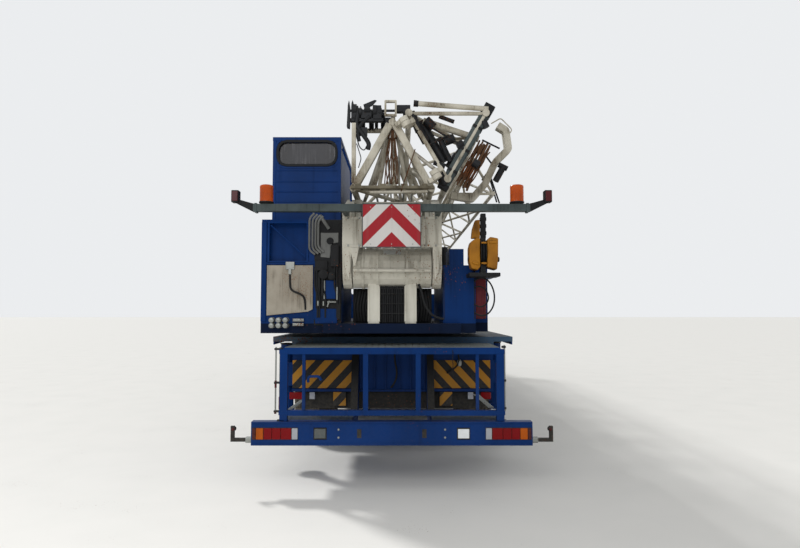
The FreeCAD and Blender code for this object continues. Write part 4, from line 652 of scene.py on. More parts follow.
# Rear pane: nearly opaque, its dark colour is painted shade of the booth's inside; its pale streaks draw a curtain's
# folds behind the glass, with painted shade between them.
REAR_PANE = Finish("rear pane", "cab_glass", "27272d", "18181c", "5b5a60", tone=0.8, streaks=0.85,
                   rusting=0.0, dusting=0.0, mud=0.0, scale=1.7, roughness=0.15, clear=0.1, relief=0.0)
RED_LENS = Finish("red lens", "lamp_red", "7e060d", "5f050a", "220606", tone=0.5, streaks=0.1,
                  rusting=0.0, dusting=0.05, mud=0.0, roughness=0.2, coat=0.04, gloss=0.12, relief=0.02)
DARK_LENS = Finish("dark red lens", "lamp_red", "4a1015", "340a0e", "1b0a0a", tone=0.5, rusting=0.0,
                   dusting=0.05, mud=0.05, roughness=0.25, coat=0.1, relief=0.02)
AMBER_LENS = Finish("amber lens", "beacon_orange", "b5560f", "93430a", "2b1a0b", tone=0.4, rusting=0.0,
                    dusting=0.05, mud=0.0, roughness=0.2, coat=0.04, gloss=0.12, relief=0.02)
WHITE_LENS = Finish("white lens", "cab_glass", "a3a6ad", "83878e", "44464a", tone=0.5, rusting=0.0,
                    dusting=0.1, mud=0.1, roughness=0.15, coat=0.6, relief=0.02)
CLEAR_LENS = Finish("bright lens", "cab_glass", "e4e8ea", "c3c9cc", "6e7174", tone=0.4, rusting=0.0,
                    dusting=0.05, mud=0.1, roughness=0.1, coat=0.8, relief=0.02)
DIM_LENS = Finish("dim lens", "cab_glass", "4a5152", "3a4142", "24282a", tone=0.5, rusting=0.0,
                  dusting=0.2, mud=0.2, roughness=0.3, coat=0.3, relief=0.04)
BEACON = Finish("beacon orange", "beacon_orange", "bf4e04", "983b03", "6a2703", tone=0.8, streaks=0.5,
                rusting=0.0, dusting=0.1, mud=0.0, scale=4.0, roughness=0.22, coat=0.06, relief=0.02)
AMBER = Finish("hook amber", "hook_amber", "a06a14", "774a0e", "2b1c09", "57341a", tone=0.9,
               streaks=0.6, rusting=0.3, roughness=0.55, mud=0.1, scale=2.2)
OXIDE = Finish("oxide red", "lamp_red", "641c26", "43141b", "1c0a0c", tone=0.9, rusting=0.25,
               roughness=0.55, mud=0.2, scale=2.2, streaks=0.6)
BEIGE = Finish("beige cover", "galvanised", "a29b8e", "857d70", "484238", "76502f", tone=0.9,
               streaks=0.6, rusting=0.3, roughness=0.6, mud=0.1, scale=1.8)
GREY_PLATE = Finish("grey plate", "galvanised", "6c6d6b", "545553", "2c2c2a", tone=0.8, streaks=0.4,
                    rusting=0.1, roughness=0.6, mud=0.0, scale=2.0)
BALLAST = Finish("ballast blue", "ballast", "0b3874", "082b5a", "07101f", tone=0.7, rusting=0.3,
                 streaks=0.5, dusting=0.3, roughness=0.6, mud=0.1, gloss=0.08)
ENGINE = Finish("engine iron", "engine_iron", "2d2f31", "1d1e20", "0f0e0d", "4a3325", tone=0.8,
                rusting=0.4, roughness=0.6, metal=0.4, mud=0.4)
GRATING = Finish("walkway grating", "galvanised", "7a807f", "5d625f", "35332e", "5f4532", tone=0.7,
                 rusting=0.3, dusting=0.5, roughness=0.55, metal=0.4, mud=0.2)
CHEVRON = Finish("chevron board", "board_red", "c3c0bd", "adaaa6", "66605a", tone=0.5, streaks=0.25,
                 rusting=0.03, dusting=0.0, mud=0.0, roughness=0.45, pattern=Pattern.BANDS,
                 second="8f0f1c", across=(1.0, 0.0, 1.0), period=0.274, offset=-2.633, fold=1.0)
HAZARD_LEFT = Finish("hazard left", "trim_dark", "b17a1c", "99691a", "2b2417", tone=0.5, streaks=0.3,
                     rusting=0.15, mud=0.3, pattern=Pattern.BANDS, second="14161b",
                     across=(0.73, 0.0, -0.68), period=0.151, offset=0.0855)
HAZARD_RIGHT = Finish("hazard right", "trim_dark", "b17a1c", "99691a", "2b2417", tone=0.5, streaks=0.3,
                      rusting=0.15, mud=0.3, pattern=Pattern.BANDS, second="14161b",
                      across=(0.73, 0.0, 0.68), period=0.151, offset=0.0455)
FOOT_BANDS = Finish("marker bands", "trim_dark", "b8b4aa", "9a968c", "3b362d", tone=0.5, rusting=0.2,
                    pattern=Pattern.BANDS, second="7a1a1c", across=(0.0, 0.0, 1.0), period=0.3,
                    offset=0.02)
FLOOR = Finish("pale floor", "galvanised", "e6e4df", "deddd8", "d5d3ce", tone=0.3, streaks=0.0,
               rusting=0.0, dusting=0.0, mud=0.0, roughness=0.8, relief=0.0)


# Pieces


@dataclass
class Piece:
    """One new object of the scene.

    Args:
        name: of the piece.
        body: the body it rides on.
        finish: its look.
        surfaces: what it is made of.
        bevel: width of its edges' bevel, 0 for none.
        smooth: angle in degrees above which an edge stays sharp.
        replaces: nodes that it stands for.
    """

    name: str
    body: str
    finish: Finish
    surfaces: list[Surface]
    bevel: float = 0.0
    smooth: float = 35.0
    replaces: tuple[str, ...] = ()

    def publish(self) -> bpy.types.Object:
        """Make the object, face it outwards, dress it and hang it on its body."""
        whole = merged(*self.surfaces)
        mesh = bpy.data.meshes.new(self.name)
        mesh.from_pydata(whole.points, [], whole.faces)
        shape = bmesh.new()
        shape.from_mesh(mesh)
        bmesh.ops.recalc_face_normals(shape, faces=shape.faces)
        shape.to_mesh(mesh)
        shape.free()
        mesh.shade_smooth()
        mesh.set_sharp_from_angle(angle=math.radians(self.smooth))
        mesh.materials.append(self.finish.material())
        piece = bpy.data.objects.new(self.name, mesh)
        bpy.context.scene.collection.objects.link(piece)
        if self.bevel:
            edge = piece.modifiers.new("edges", "BEVEL")
            edge.width = self.bevel
            edge.segments = 2
            edge.limit_method = "ANGLE"
            edge.harden_normals = True
        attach(piece, self.body)
        if self.replaces:
            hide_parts(*self.replaces)
        LOG.info("%s on %s, %d faces", self.name, self.body, len(whole.faces))
        return piece


def dress(finish: Finish, *nodes: str) -> None:
    """Give a finish to the CAD nodes' own objects."""
    for name in nodes:
        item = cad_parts[name]
        if not item.material_slots:
            item.data.materials.append(finish.material())
        for slot in item.material_slots:
            slot.material = finish.material()


def hose(name: str, body: str, finish: Finish, points: list[Point], diameter: float) -> bpy.types.Object:
    """Hang a hose between two fittings along one smooth spline.

    Args:
        name: of the piece.
        body: that both fittings are on.
        finish: its look.
        points: control points of its line.
        diameter: of the hose.

    Returns:
        The curve object.
    """
    line = bpy.data.curves.new(name, "CURVE")
    line.dimensions = "3D"
    line.bevel_depth = diameter / 2
    line.bevel_resolution = 3
    line.resolution_u = 10
    line.use_fill_caps = True
    spline = line.splines.new("NURBS")
    spline.points.add(len(points) - 1)
    for control, point in zip(spline.points, points):
        control.co = (*point, 1.0)
    spline.order_u = 3
    spline.use_endpoint_u = True
    line.materials.append(finish.material())
    piece = bpy.data.objects.new(name, line)
    bpy.context.scene.collection.objects.link(piece)
    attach(piece, body)
    return piece


# Helpers for bars, sheaves and fittings


def struts(starts: list[Point], ends: list[Point], radius: float, sides: int = 8) -> Surface:
    """Straight bars: p(k, s, a) = start(k) + s (end(k) - start(k)) + r (cos a n(k) + sin a b(k)).

    Args:
        starts: one end of each bar's middle line.
        ends: the other end.
        radius: of the bars.
        sides: of their section.

    Returns:
        All bars as one surface, each closed by itself.
    """
    low, high = np.asarray(starts, float), np.asarray(ends, float)
    way = high - low
    way /= np.linalg.norm(way, axis=1, keepdims=True)
    guide = np.where(np.abs(way[:, 2:]) < 0.9, [[0.0, 0.0, 1.0]], [[0.0, 1.0, 0.0]])
    normal = np.cross(guide, way)
    normal /= np.linalg.norm(normal, axis=1, keepdims=True)
    side = np.cross(way, normal)
    angle = np.linspace(0, 2 * math.pi, sides, endpoint=False) + math.pi / sides
    ring = radius * (np.cos(angle)[None, :, None] * normal[:, None]
                     + np.sin(angle)[None, :, None] * side[:, None])
    points = np.stack([low[:, None] + ring, high[:, None] + ring], 1)
    unit = grid(points[0], False, True).faces
    size = 2 * sides
    faces = [tuple(number + size * bar for number in face) for bar in range(len(low)) for face in unit]
    return Surface(points.reshape(-1, 3), faces)


def sheave(centre: Point, radius: float, width: float, axis: str = "x", segments: int = 28) -> Surface:
    """A rope sheave: a grooved rim, a thin web and a thick hub, as one turned profile."""
    half = width / 2
    profile = [(-half, radius * 0.22), (-half, radius * 0.3), (-half * 0.4, radius * 0.34),
               (-half * 0.4, radius * 0.78), (-half, radius * 0.84), (-half, radius),
               (-half * 0.75, radius), (0.0, radius * 0.87), (half * 0.75, radius), (half, radius),
               (half, radius * 0.84), (half * 0.4, radius * 0.78), (half * 0.4, radius * 0.34),
               (half, radius * 0.3), (half, radius * 0.22)]
    return lathe(profile, centre, axis, segments)


def rounded_bar(points: list[Point], width: float, height: float, corner: float, bend: float = 0.0) -> Surface:
    """A box section with rounded corners carried along a path."""
    path = bent(points, bend) if bend else np.asarray(points, float)
    return carried(path, rectangle(width, height, corner))


# Jib


@dataclass
class Truss:
    """One lattice section: round chords, zigzag braces on every face and rings at both ends.

    Args:
        corners: of its cross-section as (x, z).
        rear, front: ends along Y.
        bays: braces on each face.
        chord, brace: diameters.
    """

    corners: list[Pair]
    rear: float
    front: float
    bays: int
    chord: float
    brace: float

    def levels(self) -> np.ndarray:
        """Return the places along Y at which braces meet the chords."""
        return np.linspace(self.rear + self.chord / 2, self.front - self.chord / 2, self.bays + 1)

    def chords(self) -> list[Surface]:
        """Return the chords with a welded sleeve at each end."""
        made = []
        for x, z in self.corners:
            half = self.chord / 2
            profile = [(self.rear, half), (self.rear + 0.16, half), (self.rear + 0.17, half * 0.86),
                       (self.front - 0.17, half * 0.86), (self.front - 0.16, half), (self.front, half)]
            made.append(lathe(profile, (x, 0.0, z), "y", 14))
        return made

    def braces(self) -> Surface:
        """Return the zigzag of every face and the end rings."""
        starts, ends = [], []
        levels = self.levels()
        for number, corner in enumerate(self.corners):
            other = self.corners[(number + 1) % len(self.corners)]
            rails = (corner, other)
            for bay in range(self.bays):
                near, far = rails[bay % 2], rails[(bay + 1) % 2]
                starts.append((near[0], levels[bay], near[1]))
                ends.append((far[0], levels[bay + 1], far[1]))
            for level in (levels[0], levels[-1]):
                starts.append((corner[0], level, corner[1]))
                ends.append((other[0], level, other[1]))
        return struts(starts, ends, self.brace / 2, 10)

    def surfaces(self) -> list[Surface]:
        """Return the whole section."""
        return self.chords() + [self.braces()]


@dataclass
class FoldHinge:
    """Lugs of one oblique fold hinge, worked out along its axis and turned about Y.

    Args:
        base: where the axis starts, as (x, z).
        tilt: turn about Y in degrees.
        spots: where the lugs start along the axis.
        thickness, radius: of a lug.
        inner, outer: how far it reaches across the axis.
        pin: the axis's place along Y.
        root: where the lug ends along Y.
    """

    base: Pair
    tilt: float
    spots: tuple[float, float]
    inner: float
    outer: float
    pin: float
    root: float
    thickness: float = 0.045
    radius: float = 0.05

    def lugs(self) -> list[Surface]:
        """Return both lugs, each a plate with a round end, about the pin."""
        made = []
        low, high = sorted((self.pin, self.root))
        for spot in self.spots:
            plate_part = box((spot, low, self.inner), (spot + self.thickness, high, self.outer))
            knob = lathe([(spot - 0.002, self.radius), (spot + self.thickness + 0.002, self.radius)],
                         (0.0, self.pin, 0.0), "x", 24)
            made += [plate_part, knob]
        return [self.placed(part) for part in made]

    def placed(self, part: Surface) -> Surface:
        """Turn a part about Y and move it to the axis."""
        return part.turned("y", math.radians(self.tilt), (0, 0, 0)).moved((self.base[0], 0, self.base[1]))

    def pins(self, lengths: list[Pair], radius: float = 0.02) -> list[Surface]:
        """Return pins between pairs of places along the axis."""
        made = []
        for start, end in lengths:
            made.append(lathe([(start, radius), (end, radius)], (0.0, self.pin, 0.0), "x", 14))
        return [self.placed(part) for part in made]


@dataclass
class Jib:
    """The folded jib: root section apex up, middle section apex down and the slim tip below it."""

    side: float = 0.82
    base: float = 3.04
    rear: float = -6.6
    chord: float = 0.08
    brace: float = 0.045
    fold_y: float = -6.68
    fold_gap: float = 0.2
    tip_side: float = 0.45
    tip_gap: float = 0.12
    tip_fold_y: float = 5.46

    def __post_init__(self) -> None:
        """Work out the corners of the three sections."""
        rise = self.side * math.sqrt(3) / 2
        self.apex = (0.0, self.base + rise)
        self.root_corners = [(-self.side / 2, self.base), (self.side / 2, self.base), self.apex]
        out = (math.sqrt(3) / 2, 0.5)
        left = (out[0] * self.fold_gap, self.apex[1] + out[1] * self.fold_gap)
        self.mid_corners = [left, (left[0] + self.side, left[1]), (left[0] + self.side / 2, left[1] - rise)]
        below = self.mid_corners[2]
        start = (below[0] + out[0] * self.tip_gap, below[1] - out[1] * self.tip_gap)
        self.tip_corners = [start, (start[0] + self.tip_side, start[1]),
                            (start[0] + self.tip_side / 2, start[1] + self.tip_side * math.sqrt(3) / 2)]
        self.fold_base = (out[0] * self.fold_gap / 2, self.apex[1] + out[1] * self.fold_gap / 2)
        self.tip_base = (below[0] + out[0] * self.tip_gap / 2, below[1] - out[1] * self.tip_gap / 2)

    def build(self) -> None:
        """Publish all pieces of the jib."""
        self.root_section()
        self.middle_section()
        self.tip_section()
        self.sheaves()
        self.fittings()

    def hinge(self, inner: float, outer: float, inside: bool) -> FoldHinge:
        """Return the lugs of the fold between root and middle section."""
        spots = (0.093, 0.682) if inside else (0.04, 0.735)
        return FoldHinge(self.fold_base, 60.0, spots, inner, outer, self.fold_y, self.rear + self.chord)

    def tip_hinge(self, inner: float, outer: float, inside: bool) -> FoldHinge:
        """Return the lugs of the fold between middle section and tip."""
        spots = (0.093, 0.312) if inside else (0.04, 0.365)
        root = 5.4 - self.chord if not inside else 5.32 - self.chord
        return FoldHinge(self.tip_base, -60.0, spots, inner, outer, self.tip_fold_y, root)

    def root_section(self) -> None:
        """Publish the root section with its thick end frame, foot forks and lugs."""
        truss = Truss(self.root_corners, self.rear, 6.7, 10, self.chord, self.brace)
        parts = truss.surfaces()
        level = self.rear + 0.05
        frame_ends = [((x, level, z)) for x, z in self.root_corners]
        left, right, top = frame_ends
        parts.append(rounded_bar([(left[0], level, left[2]), (-0.03, level, top[2] - 0.02)], 0.08, 0.08, 0.012))
        parts.append(rounded_bar([(right[0], level, right[2]), (0.03, level, top[2] - 0.02)], 0.08, 0.08, 0.012))
        for x, z in self.root_corners[:2]:
            parts.append(rounded_bar([(x, 6.66, z), (x, 6.95, z)], 0.08, 0.08, 0.01))
            parts.append(lathe([(x - 0.04, 0.065), (x + 0.04, 0.065)], (0, 6.95, z), "x", 24))
        parts += self.hinge(-self.fold_gap / 2, 0.0, False).lugs()
        Piece("jib_root_section", "jib_root", JIB_IVORY, parts, replaces=("jib_root",)).publish()
        base_bar = rounded_bar([(-0.44, level - 0.045, self.base + 0.005), (0.44, level - 0.045, self.base + 0.005)],
                               0.035, 0.06, 0.008)
        clamps = [box((x - 0.03, level - 0.06, self.base - 0.03), (x + 0.03, level - 0.02, self.base + 0.045))
                  for x in (-0.36, -0.1, 0.12, 0.34)]
        pale = struts([(-0.24, level - 0.05, 2.992)], [(0.37, level - 0.05, 3.0)], 0.018, 14)
        Piece("jib_root_base_bar", "jib_root", DARKENED_IVORY, [base_bar, *clamps], bevel=0.003).publish()
        Piece("jib_root_pale_tube", "jib_root", JIB_IVORY, [pale]).publish()
        slants = ((0.05, 3.66, 0.16, 0.022), (0.08, 3.6, 0.24, 0.026), (0.13, 3.52, 0.31, 0.02),
                  (0.19, 3.42, 0.36, 0.018), (0.04, 3.5, 0.10, 0.014))
        inner = []
        for number, (x, z, foot, radius) in enumerate(slants):
            back = self.rear + 0.2 + 0.16 * number
            for side in (1.0, -1.0) if number < 3 else (1.0,):
                inner.append(struts([(x * side, back, z)], [(foot * side, back + 0.12, 3.06)], radius, 12))
        Piece("jib_root_slants", "jib_root", JIB_IVORY, inner).publish()

    def middle_section(self) -> None:
        """Publish the middle section, its lugs and pins, and the strut across its end."""
        truss = Truss(self.mid_corners, self.rear, 5.4, 9, self.chord, self.brace)
        parts = truss.surfaces()
        fold = self.hinge(0.0, self.fold_gap / 2, True)
        tip_fold = self.tip_hinge(0.0, self.tip_gap / 2, False)
        parts += fold.lugs() + tip_fold.lugs()
        Piece("jib_middle_section", "jib_mid", JIB_IVORY, parts, replaces=("jib_mid",)).publish()
        pins = fold.pins([(0.04, 0.138), (0.682, 0.78)]) + tip_fold.pins([(0.04, 0.138), (0.312, 0.41)])
        Piece("jib_fold_pins", "jib_mid", PALE_STEEL, pins).publish()
        level = self.rear + 0.08
        low, high = self.strut_ends(0.11)
        start = np.array([low[0], level, low[1]])
        end = np.array([high[0], level, high[1]])
        way = (end - start) / np.linalg.norm(end - start)
        strut = rounded_bar([tuple(start + way * 0.02), tuple(end - way * 0.1)], 0.11, 0.11, 0.014)
        Piece("jib_strut", "jib_mid", GALVANISED, [strut], bevel=0.0).publish()
        cap = rounded_bar([tuple(end - way * 0.13), tuple(end)], 0.116, 0.116, 0.012)
        foot = rounded_bar([tuple(start), tuple(start + way * 0.05)], 0.116, 0.116, 0.012)
        bands_on = [rounded_bar([tuple(start + way * share), tuple(start + way * (share + 0.03))],
                                0.118, 0.118, 0.012) for share in (0.2, 0.46, 0.74)]
        Piece("jib_strut_cap", "jib_mid", BLACK_TRIM, [cap, foot, *bands_on]).publish()

    def strut_ends(self, over: float) -> tuple[Pair, Pair]:
        """Return the strut's lower and upper ends, both past the section's corners."""
        low, high = self.mid_corners[2], self.mid_corners[1]
        rise = math.sqrt(3) / 2
        return ((low[0] - over * 0.5, low[1] - over * rise), (high[0] + over * 0.5, high[1] + over * rise))

    def tip_section(self) -> None:
        """Publish the tip section with the bent hoop on its end."""
        truss = Truss(self.tip_corners, -6.1, 5.32, 10, 0.05, 0.03)
        parts = truss.surfaces() + self.tip_hinge(-self.tip_gap / 2, 0.0, True).lugs()
        Piece("jib_tip_section", "jib_tip", JIB_IVORY, parts, replaces=("jib_tip",)).publish()
        level = -6.06
        outline = [(0.663, 3.06), (0.9, 3.023), (1.051, 3.195), (1.169, 3.444), (1.32, 3.595),
                   (1.293, 3.81), (1.2, 3.87)]
        path = [(x, level, z) for x, z in outline]
        hoop = rounded_bar(path, 0.11, 0.078, 0.006, 0.018)
        ribs = struts([(1.06, level, 3.2), (1.175, level, 3.45)], [(0.9, level, 3.05), (1.02, level, 3.24)],
                      0.014)
        stiff = struts([(1.3, level, 3.8), (1.22, level, 3.86)], [(1.34, level, 3.66), (1.31, level, 3.82)], 0.01)
        wire = tube([(1.13, level, 3.90), (1.24, level, 3.965), (1.37, level, 3.83), (1.345, level, 3.79)], 0.007, 8,
                    0.03)
        Piece("jib_tip_hoop", "jib_tip", JIB_IVORY, [hoop, ribs, stiff, wire]).publish()
        lamp = [struts([(1.165, level - 0.05, 3.22)], [(1.265, level - 0.05, 3.40)], 0.036, 18),
                struts([(1.20, level - 0.05, 3.41)], [(1.30, level - 0.05, 3.36)], 0.03, 14),
                struts([(1.09, level - 0.03, 3.30), (1.11, level - 0.03, 3.28)],
                       [(1.18, level - 0.03, 2.98), (1.21, level - 0.03, 2.97)], 0.009, 8),
                struts([(0.98, level - 0.03, 3.62), (1.02, level - 0.03, 3.70)],
                       [(1.16, level - 0.03, 3.38), (1.22, level - 0.03, 3.60)], 0.01, 8)]
        Piece("jib_tip_lamp", "jib_tip", DARK_STEEL, lamp).publish()

    def sheaves(self) -> None:
        """Publish the rope sheaves over the root section's end, with their axle and frame."""
        y, z = self.rear + 0.26, 3.85
        wheels = [sheave((-0.391 + 0.02, y, z), 0.15, 0.045), sheave((-0.255 + 0.02, y, z), 0.13, 0.045),
                  sheave((-0.1275 + 0.02, y, z), 0.11, 0.045), sheave((-0.325, y, z), 0.125, 0.03),
                  sheave((-0.18, y, z), 0.115, 0.03)]
        axle = lathe([(-0.425, 0.03), (0.005, 0.03)], (0, y, z), "x", 16)
        Piece("head_sheaves", "jib_root", DARK_STEEL, wheels + [axle]).publish()
        posts = [rounded_bar([(x, y, 3.73), (x, y, 3.9)], 0.045, 0.045, 0.006) for x in (-0.425, 0.005)]
        posts.append(rounded_bar([(-0.445, y, 3.73), (0.03, y, 3.73)], 0.045, 0.045, 0.006))
        front = self.rear + 0.02
        posts.append(rounded_bar([(-0.41, front, 3.1), (-0.41, front, 3.74)], 0.035, 0.045, 0.004))
        window = hollow_frame((-0.02, 3.9), (0.13, 0.17), 0.01, 0.02, "xz", front - 0.02, front + 0.02)
        Piece("head_frame", "jib_root", JIB_IVORY, [*posts, window]).publish()

    def fittings(self) -> None:
        """Publish the dark cylinders, clamps and brackets between the folded sections."""
        y = self.rear + 0.03
        Piece("fold_ram", "jib_mid", DARK_STEEL, [
            struts([(0.30, y + 0.14, 3.80)], [(0.56, y + 0.14, 3.36)], 0.05, 16),
            struts([(0.62, y + 0.16, 3.30)], [(0.70, y + 0.16, 3.44)], 0.055, 14),
            struts([(0.70, y + 0.1, 3.44)], [(0.92, y + 0.1, 3.74)], 0.03, 12)]).publish()
        self.head_gear(y)
        self.middle_gear(y)
        self.ropes(y)

    def head_gear(self, y: float) -> None:
        """Publish the small black gear on the root section's end: rollers, cranks, hooks and a winch."""
        rollers = [lathe([(x - wide, 0.02), (x - wide, radius), (x + wide, radius), (x + wide, 0.02)],
                         (0, y + 0.02, z), "x", 20)
                   for x, z, radius, wide in ((-0.405, 3.90, 0.055, 0.022), (-0.345, 3.87, 0.045, 0.015),
                                              (-0.27, 3.905, 0.05, 0.03), (-0.19, 3.885, 0.06, 0.02),
                                              (-0.13, 3.87, 0.04, 0.016), (0.07, 3.9, 0.045, 0.025),
                                              (0.13, 3.87, 0.05, 0.018))]
        axle = struts([(-0.46, y + 0.02, 3.885)], [(0.16, y + 0.02, 3.885)], 0.014, 10)
        blades = [plate([(-0.485, 3.70), (-0.455, 3.69), (-0.45, 3.90), (-0.462, 3.985), (-0.475, 3.93)],
                        "xz", y - 0.03, y + 0.05),
                  plate([(-0.44, 3.88), (-0.42, 3.87), (-0.415, 3.96), (-0.425, 3.99), (-0.437, 3.95)],
                        "xz", y - 0.02, y + 0.02),
                  plate([(-0.30, 3.90), (-0.22, 3.93), (-0.17, 3.985), (-0.19, 3.99), (-0.25, 3.965),
                         (-0.31, 3.94)], "xz", y - 0.02, y + 0.01)]
        arms = [tube([(-0.37, y, 3.84), (-0.39, y, 3.72), (-0.30, y, 3.60), (-0.245, y, 3.52), (-0.26, y, 3.46)],
                     0.024, 12, 0.05),
                tube([(-0.24, y, 3.82), (-0.33, y, 3.74), (-0.375, y, 3.66), (-0.35, y, 3.55)], 0.018, 10, 0.04),
                tube([(-0.40, y - 0.01, 3.66), (-0.35, y - 0.01, 3.48), (-0.30, y - 0.01, 3.44),
                      (-0.27, y - 0.01, 3.50)], 0.006, 8, 0.03),
                tube([(-0.38, y - 0.01, 3.52), (-0.33, y - 0.01, 3.36), (-0.36, y - 0.01, 3.26)], 0.005, 8, 0.03)]
        blocks = [box((-0.44, y - 0.01, 3.80), (-0.365, y + 0.09, 3.93)), box((-0.335, y, 3.79), (-0.225, y + 0.1, 3.885)),
                  box((-0.205, y - 0.01, 3.79), (-0.12, y + 0.09, 3.935)), box((0.05, y - 0.02, 3.865), (0.19, y + 0.06, 3.935)),
                  box((-0.45, y, 3.765), (-0.10, y + 0.06, 3.80)), box((-0.075, y + 0.02, 3.72), (0.03, y + 0.08, 3.80)),
                  box((-0.36, y, 3.62), (-0.27, y + 0.06, 3.70))]
        Piece("head_gear", "jib_root", DARK_STEEL, [*rollers, axle, *blades, *arms, *blocks], bevel=0.0).publish()

    def middle_gear(self, y: float) -> None:
        """Publish the long tubes over the middle section and the black cylinder beside them."""
        tubes = [struts([(0.255, y - 0.005, 3.955)], [(1.02, y - 0.005, 3.895)], 0.028, 16),
                 struts([(0.33, y + 0.1, 3.80)], [(0.93, y + 0.1, 3.60)], 0.036, 16),
                 struts([(0.40, y + 0.16, 3.70)], [(0.86, y + 0.16, 3.50)], 0.02, 12),
                 struts([(0.42, y + 0.2, 3.62)], [(0.84, y + 0.2, 3.64)], 0.016, 12)]
        Piece("middle_tubes", "jib_mid", JIB_IVORY, tubes).publish()
        caps = [struts([(0.225, y - 0.005, 3.957)], [(0.275, y - 0.005, 3.953)], 0.034, 18),
                struts([(0.27, y + 0.05, 3.72)], [(0.36, y + 0.05, 3.55)], 0.045, 14),
                struts([(0.50, y + 0.04, 3.83)], [(0.66, y + 0.04, 3.77)], 0.022, 12),
                struts([(0.42, y + 0.02, 3.70)], [(0.72, y + 0.02, 3.52)], 0.011, 8),
                struts([(0.36, y + 0.02, 3.50)], [(0.60, y + 0.02, 3.62)], 0.011, 8),
                struts([(0.69, y + 0.02, 3.50)], [(0.75, y + 0.02, 3.53)], 0.045, 14),
                struts([(0.50, y + 0.02, 3.20)], [(0.56, y + 0.02, 3.08)], 0.05, 14),
                struts([(0.44, y + 0.02, 3.33)], [(0.56, y + 0.02, 3.28)], 0.03, 12),
                struts([(0.86, y + 0.02, 3.33)], [(0.92, y + 0.02, 3.29)], 0.045, 14),
                struts([(0.97, y + 0.02, 3.77)], [(1.0, y + 0.02, 3.70)], 0.04, 14),
                struts([(0.56, y + 0.06, 3.56)], [(0.66, y + 0.06, 3.60)], 0.05, 14)]
        caps += [struts([(0.20, y + 0.03, 3.87)], [(0.285, y + 0.03, 3.66)], 0.042, 12),
                 struts([(0.36, y + 0.07, 3.80)], [(0.44, y + 0.07, 3.72)], 0.05, 12),
                 struts([(0.50, y + 0.05, 3.60)], [(0.62, y + 0.05, 3.34)], 0.03, 10)]
        Piece("middle_gear", "jib_mid", DARK_STEEL, caps).publish()

    def ropes(self, y: float) -> None:
        """Publish the rusty rope bundle with its small sheave, and the pendants along the root section."""
        strands = []
        for number in range(9):
            x = -0.065 + 0.014 * number
            sway = 0.02 * math.sin(2.3 * number)
            strands.append(tube([(x * 0.5, y + 0.05, 3.60), (x + sway, y + 0.06, 3.45), (x * 1.1 - sway, y + 0.05, 3.28),
                                 (x * 1.3 + sway, y + 0.06, 3.10)], 0.0065, 7, 0.05))
        strands.append(struts([(0.24, y - 0.05, 3.45)], [(0.09, y - 0.05, 3.0)], 0.006, 8))
        Piece("rope_bundle", "jib_root", RUSTY_ROPE, strands).publish()
        low, high = self.strut_ends(0.0)
        loose = []
        for number in range(13):
            out = 0.09 + 0.012 * number
            sway = 0.03 * math.sin(1.9 * number)
            line = [(low[0] + (high[0] - low[0]) * share + out * 0.87, y + 0.04 + 0.012 * (number % 4),
                     low[1] + (high[1] - low[1]) * share - out * 0.5 + sway * (row % 2 * 2 - 1))
                    for row, share in enumerate((0.04, 0.24, 0.44, 0.62 + 0.02 * (number % 3)))]
            loose.append(tube(line, 0.007 + 0.003 * (number % 3), 7, 0.06))
        Piece("stowed_pendants", "jib_mid", RUSTY_ROPE, loose).publish()
        wheel = sheave((0.0, y + 0.06, 3.63), 0.062, 0.03)
        cheek = [box((-0.05, y + 0.02, 3.60), (-0.03, y + 0.1, 3.70)), box((0.03, y + 0.02, 3.60), (0.05, y + 0.1, 3.70))]
        Piece("rope_sheave", "jib_root", RUSTY_ROPE, [wheel, *cheek], bevel=0.0).publish()
        starts = [(-0.2, 3.12), (-0.1, 3.10), (0.12, 3.1), (0.22, 3.13), (-0.06, 3.52), (0.07, 3.5)]
        rods = struts([(x, self.rear + 0.3, z) for x, z in starts], [(x, 6.4, z) for x, z in starts], 0.014, 8)
        Piece("jib_pendants", "jib_root", PALE_STEEL, [rods]).publish()


# Masts and what they carry


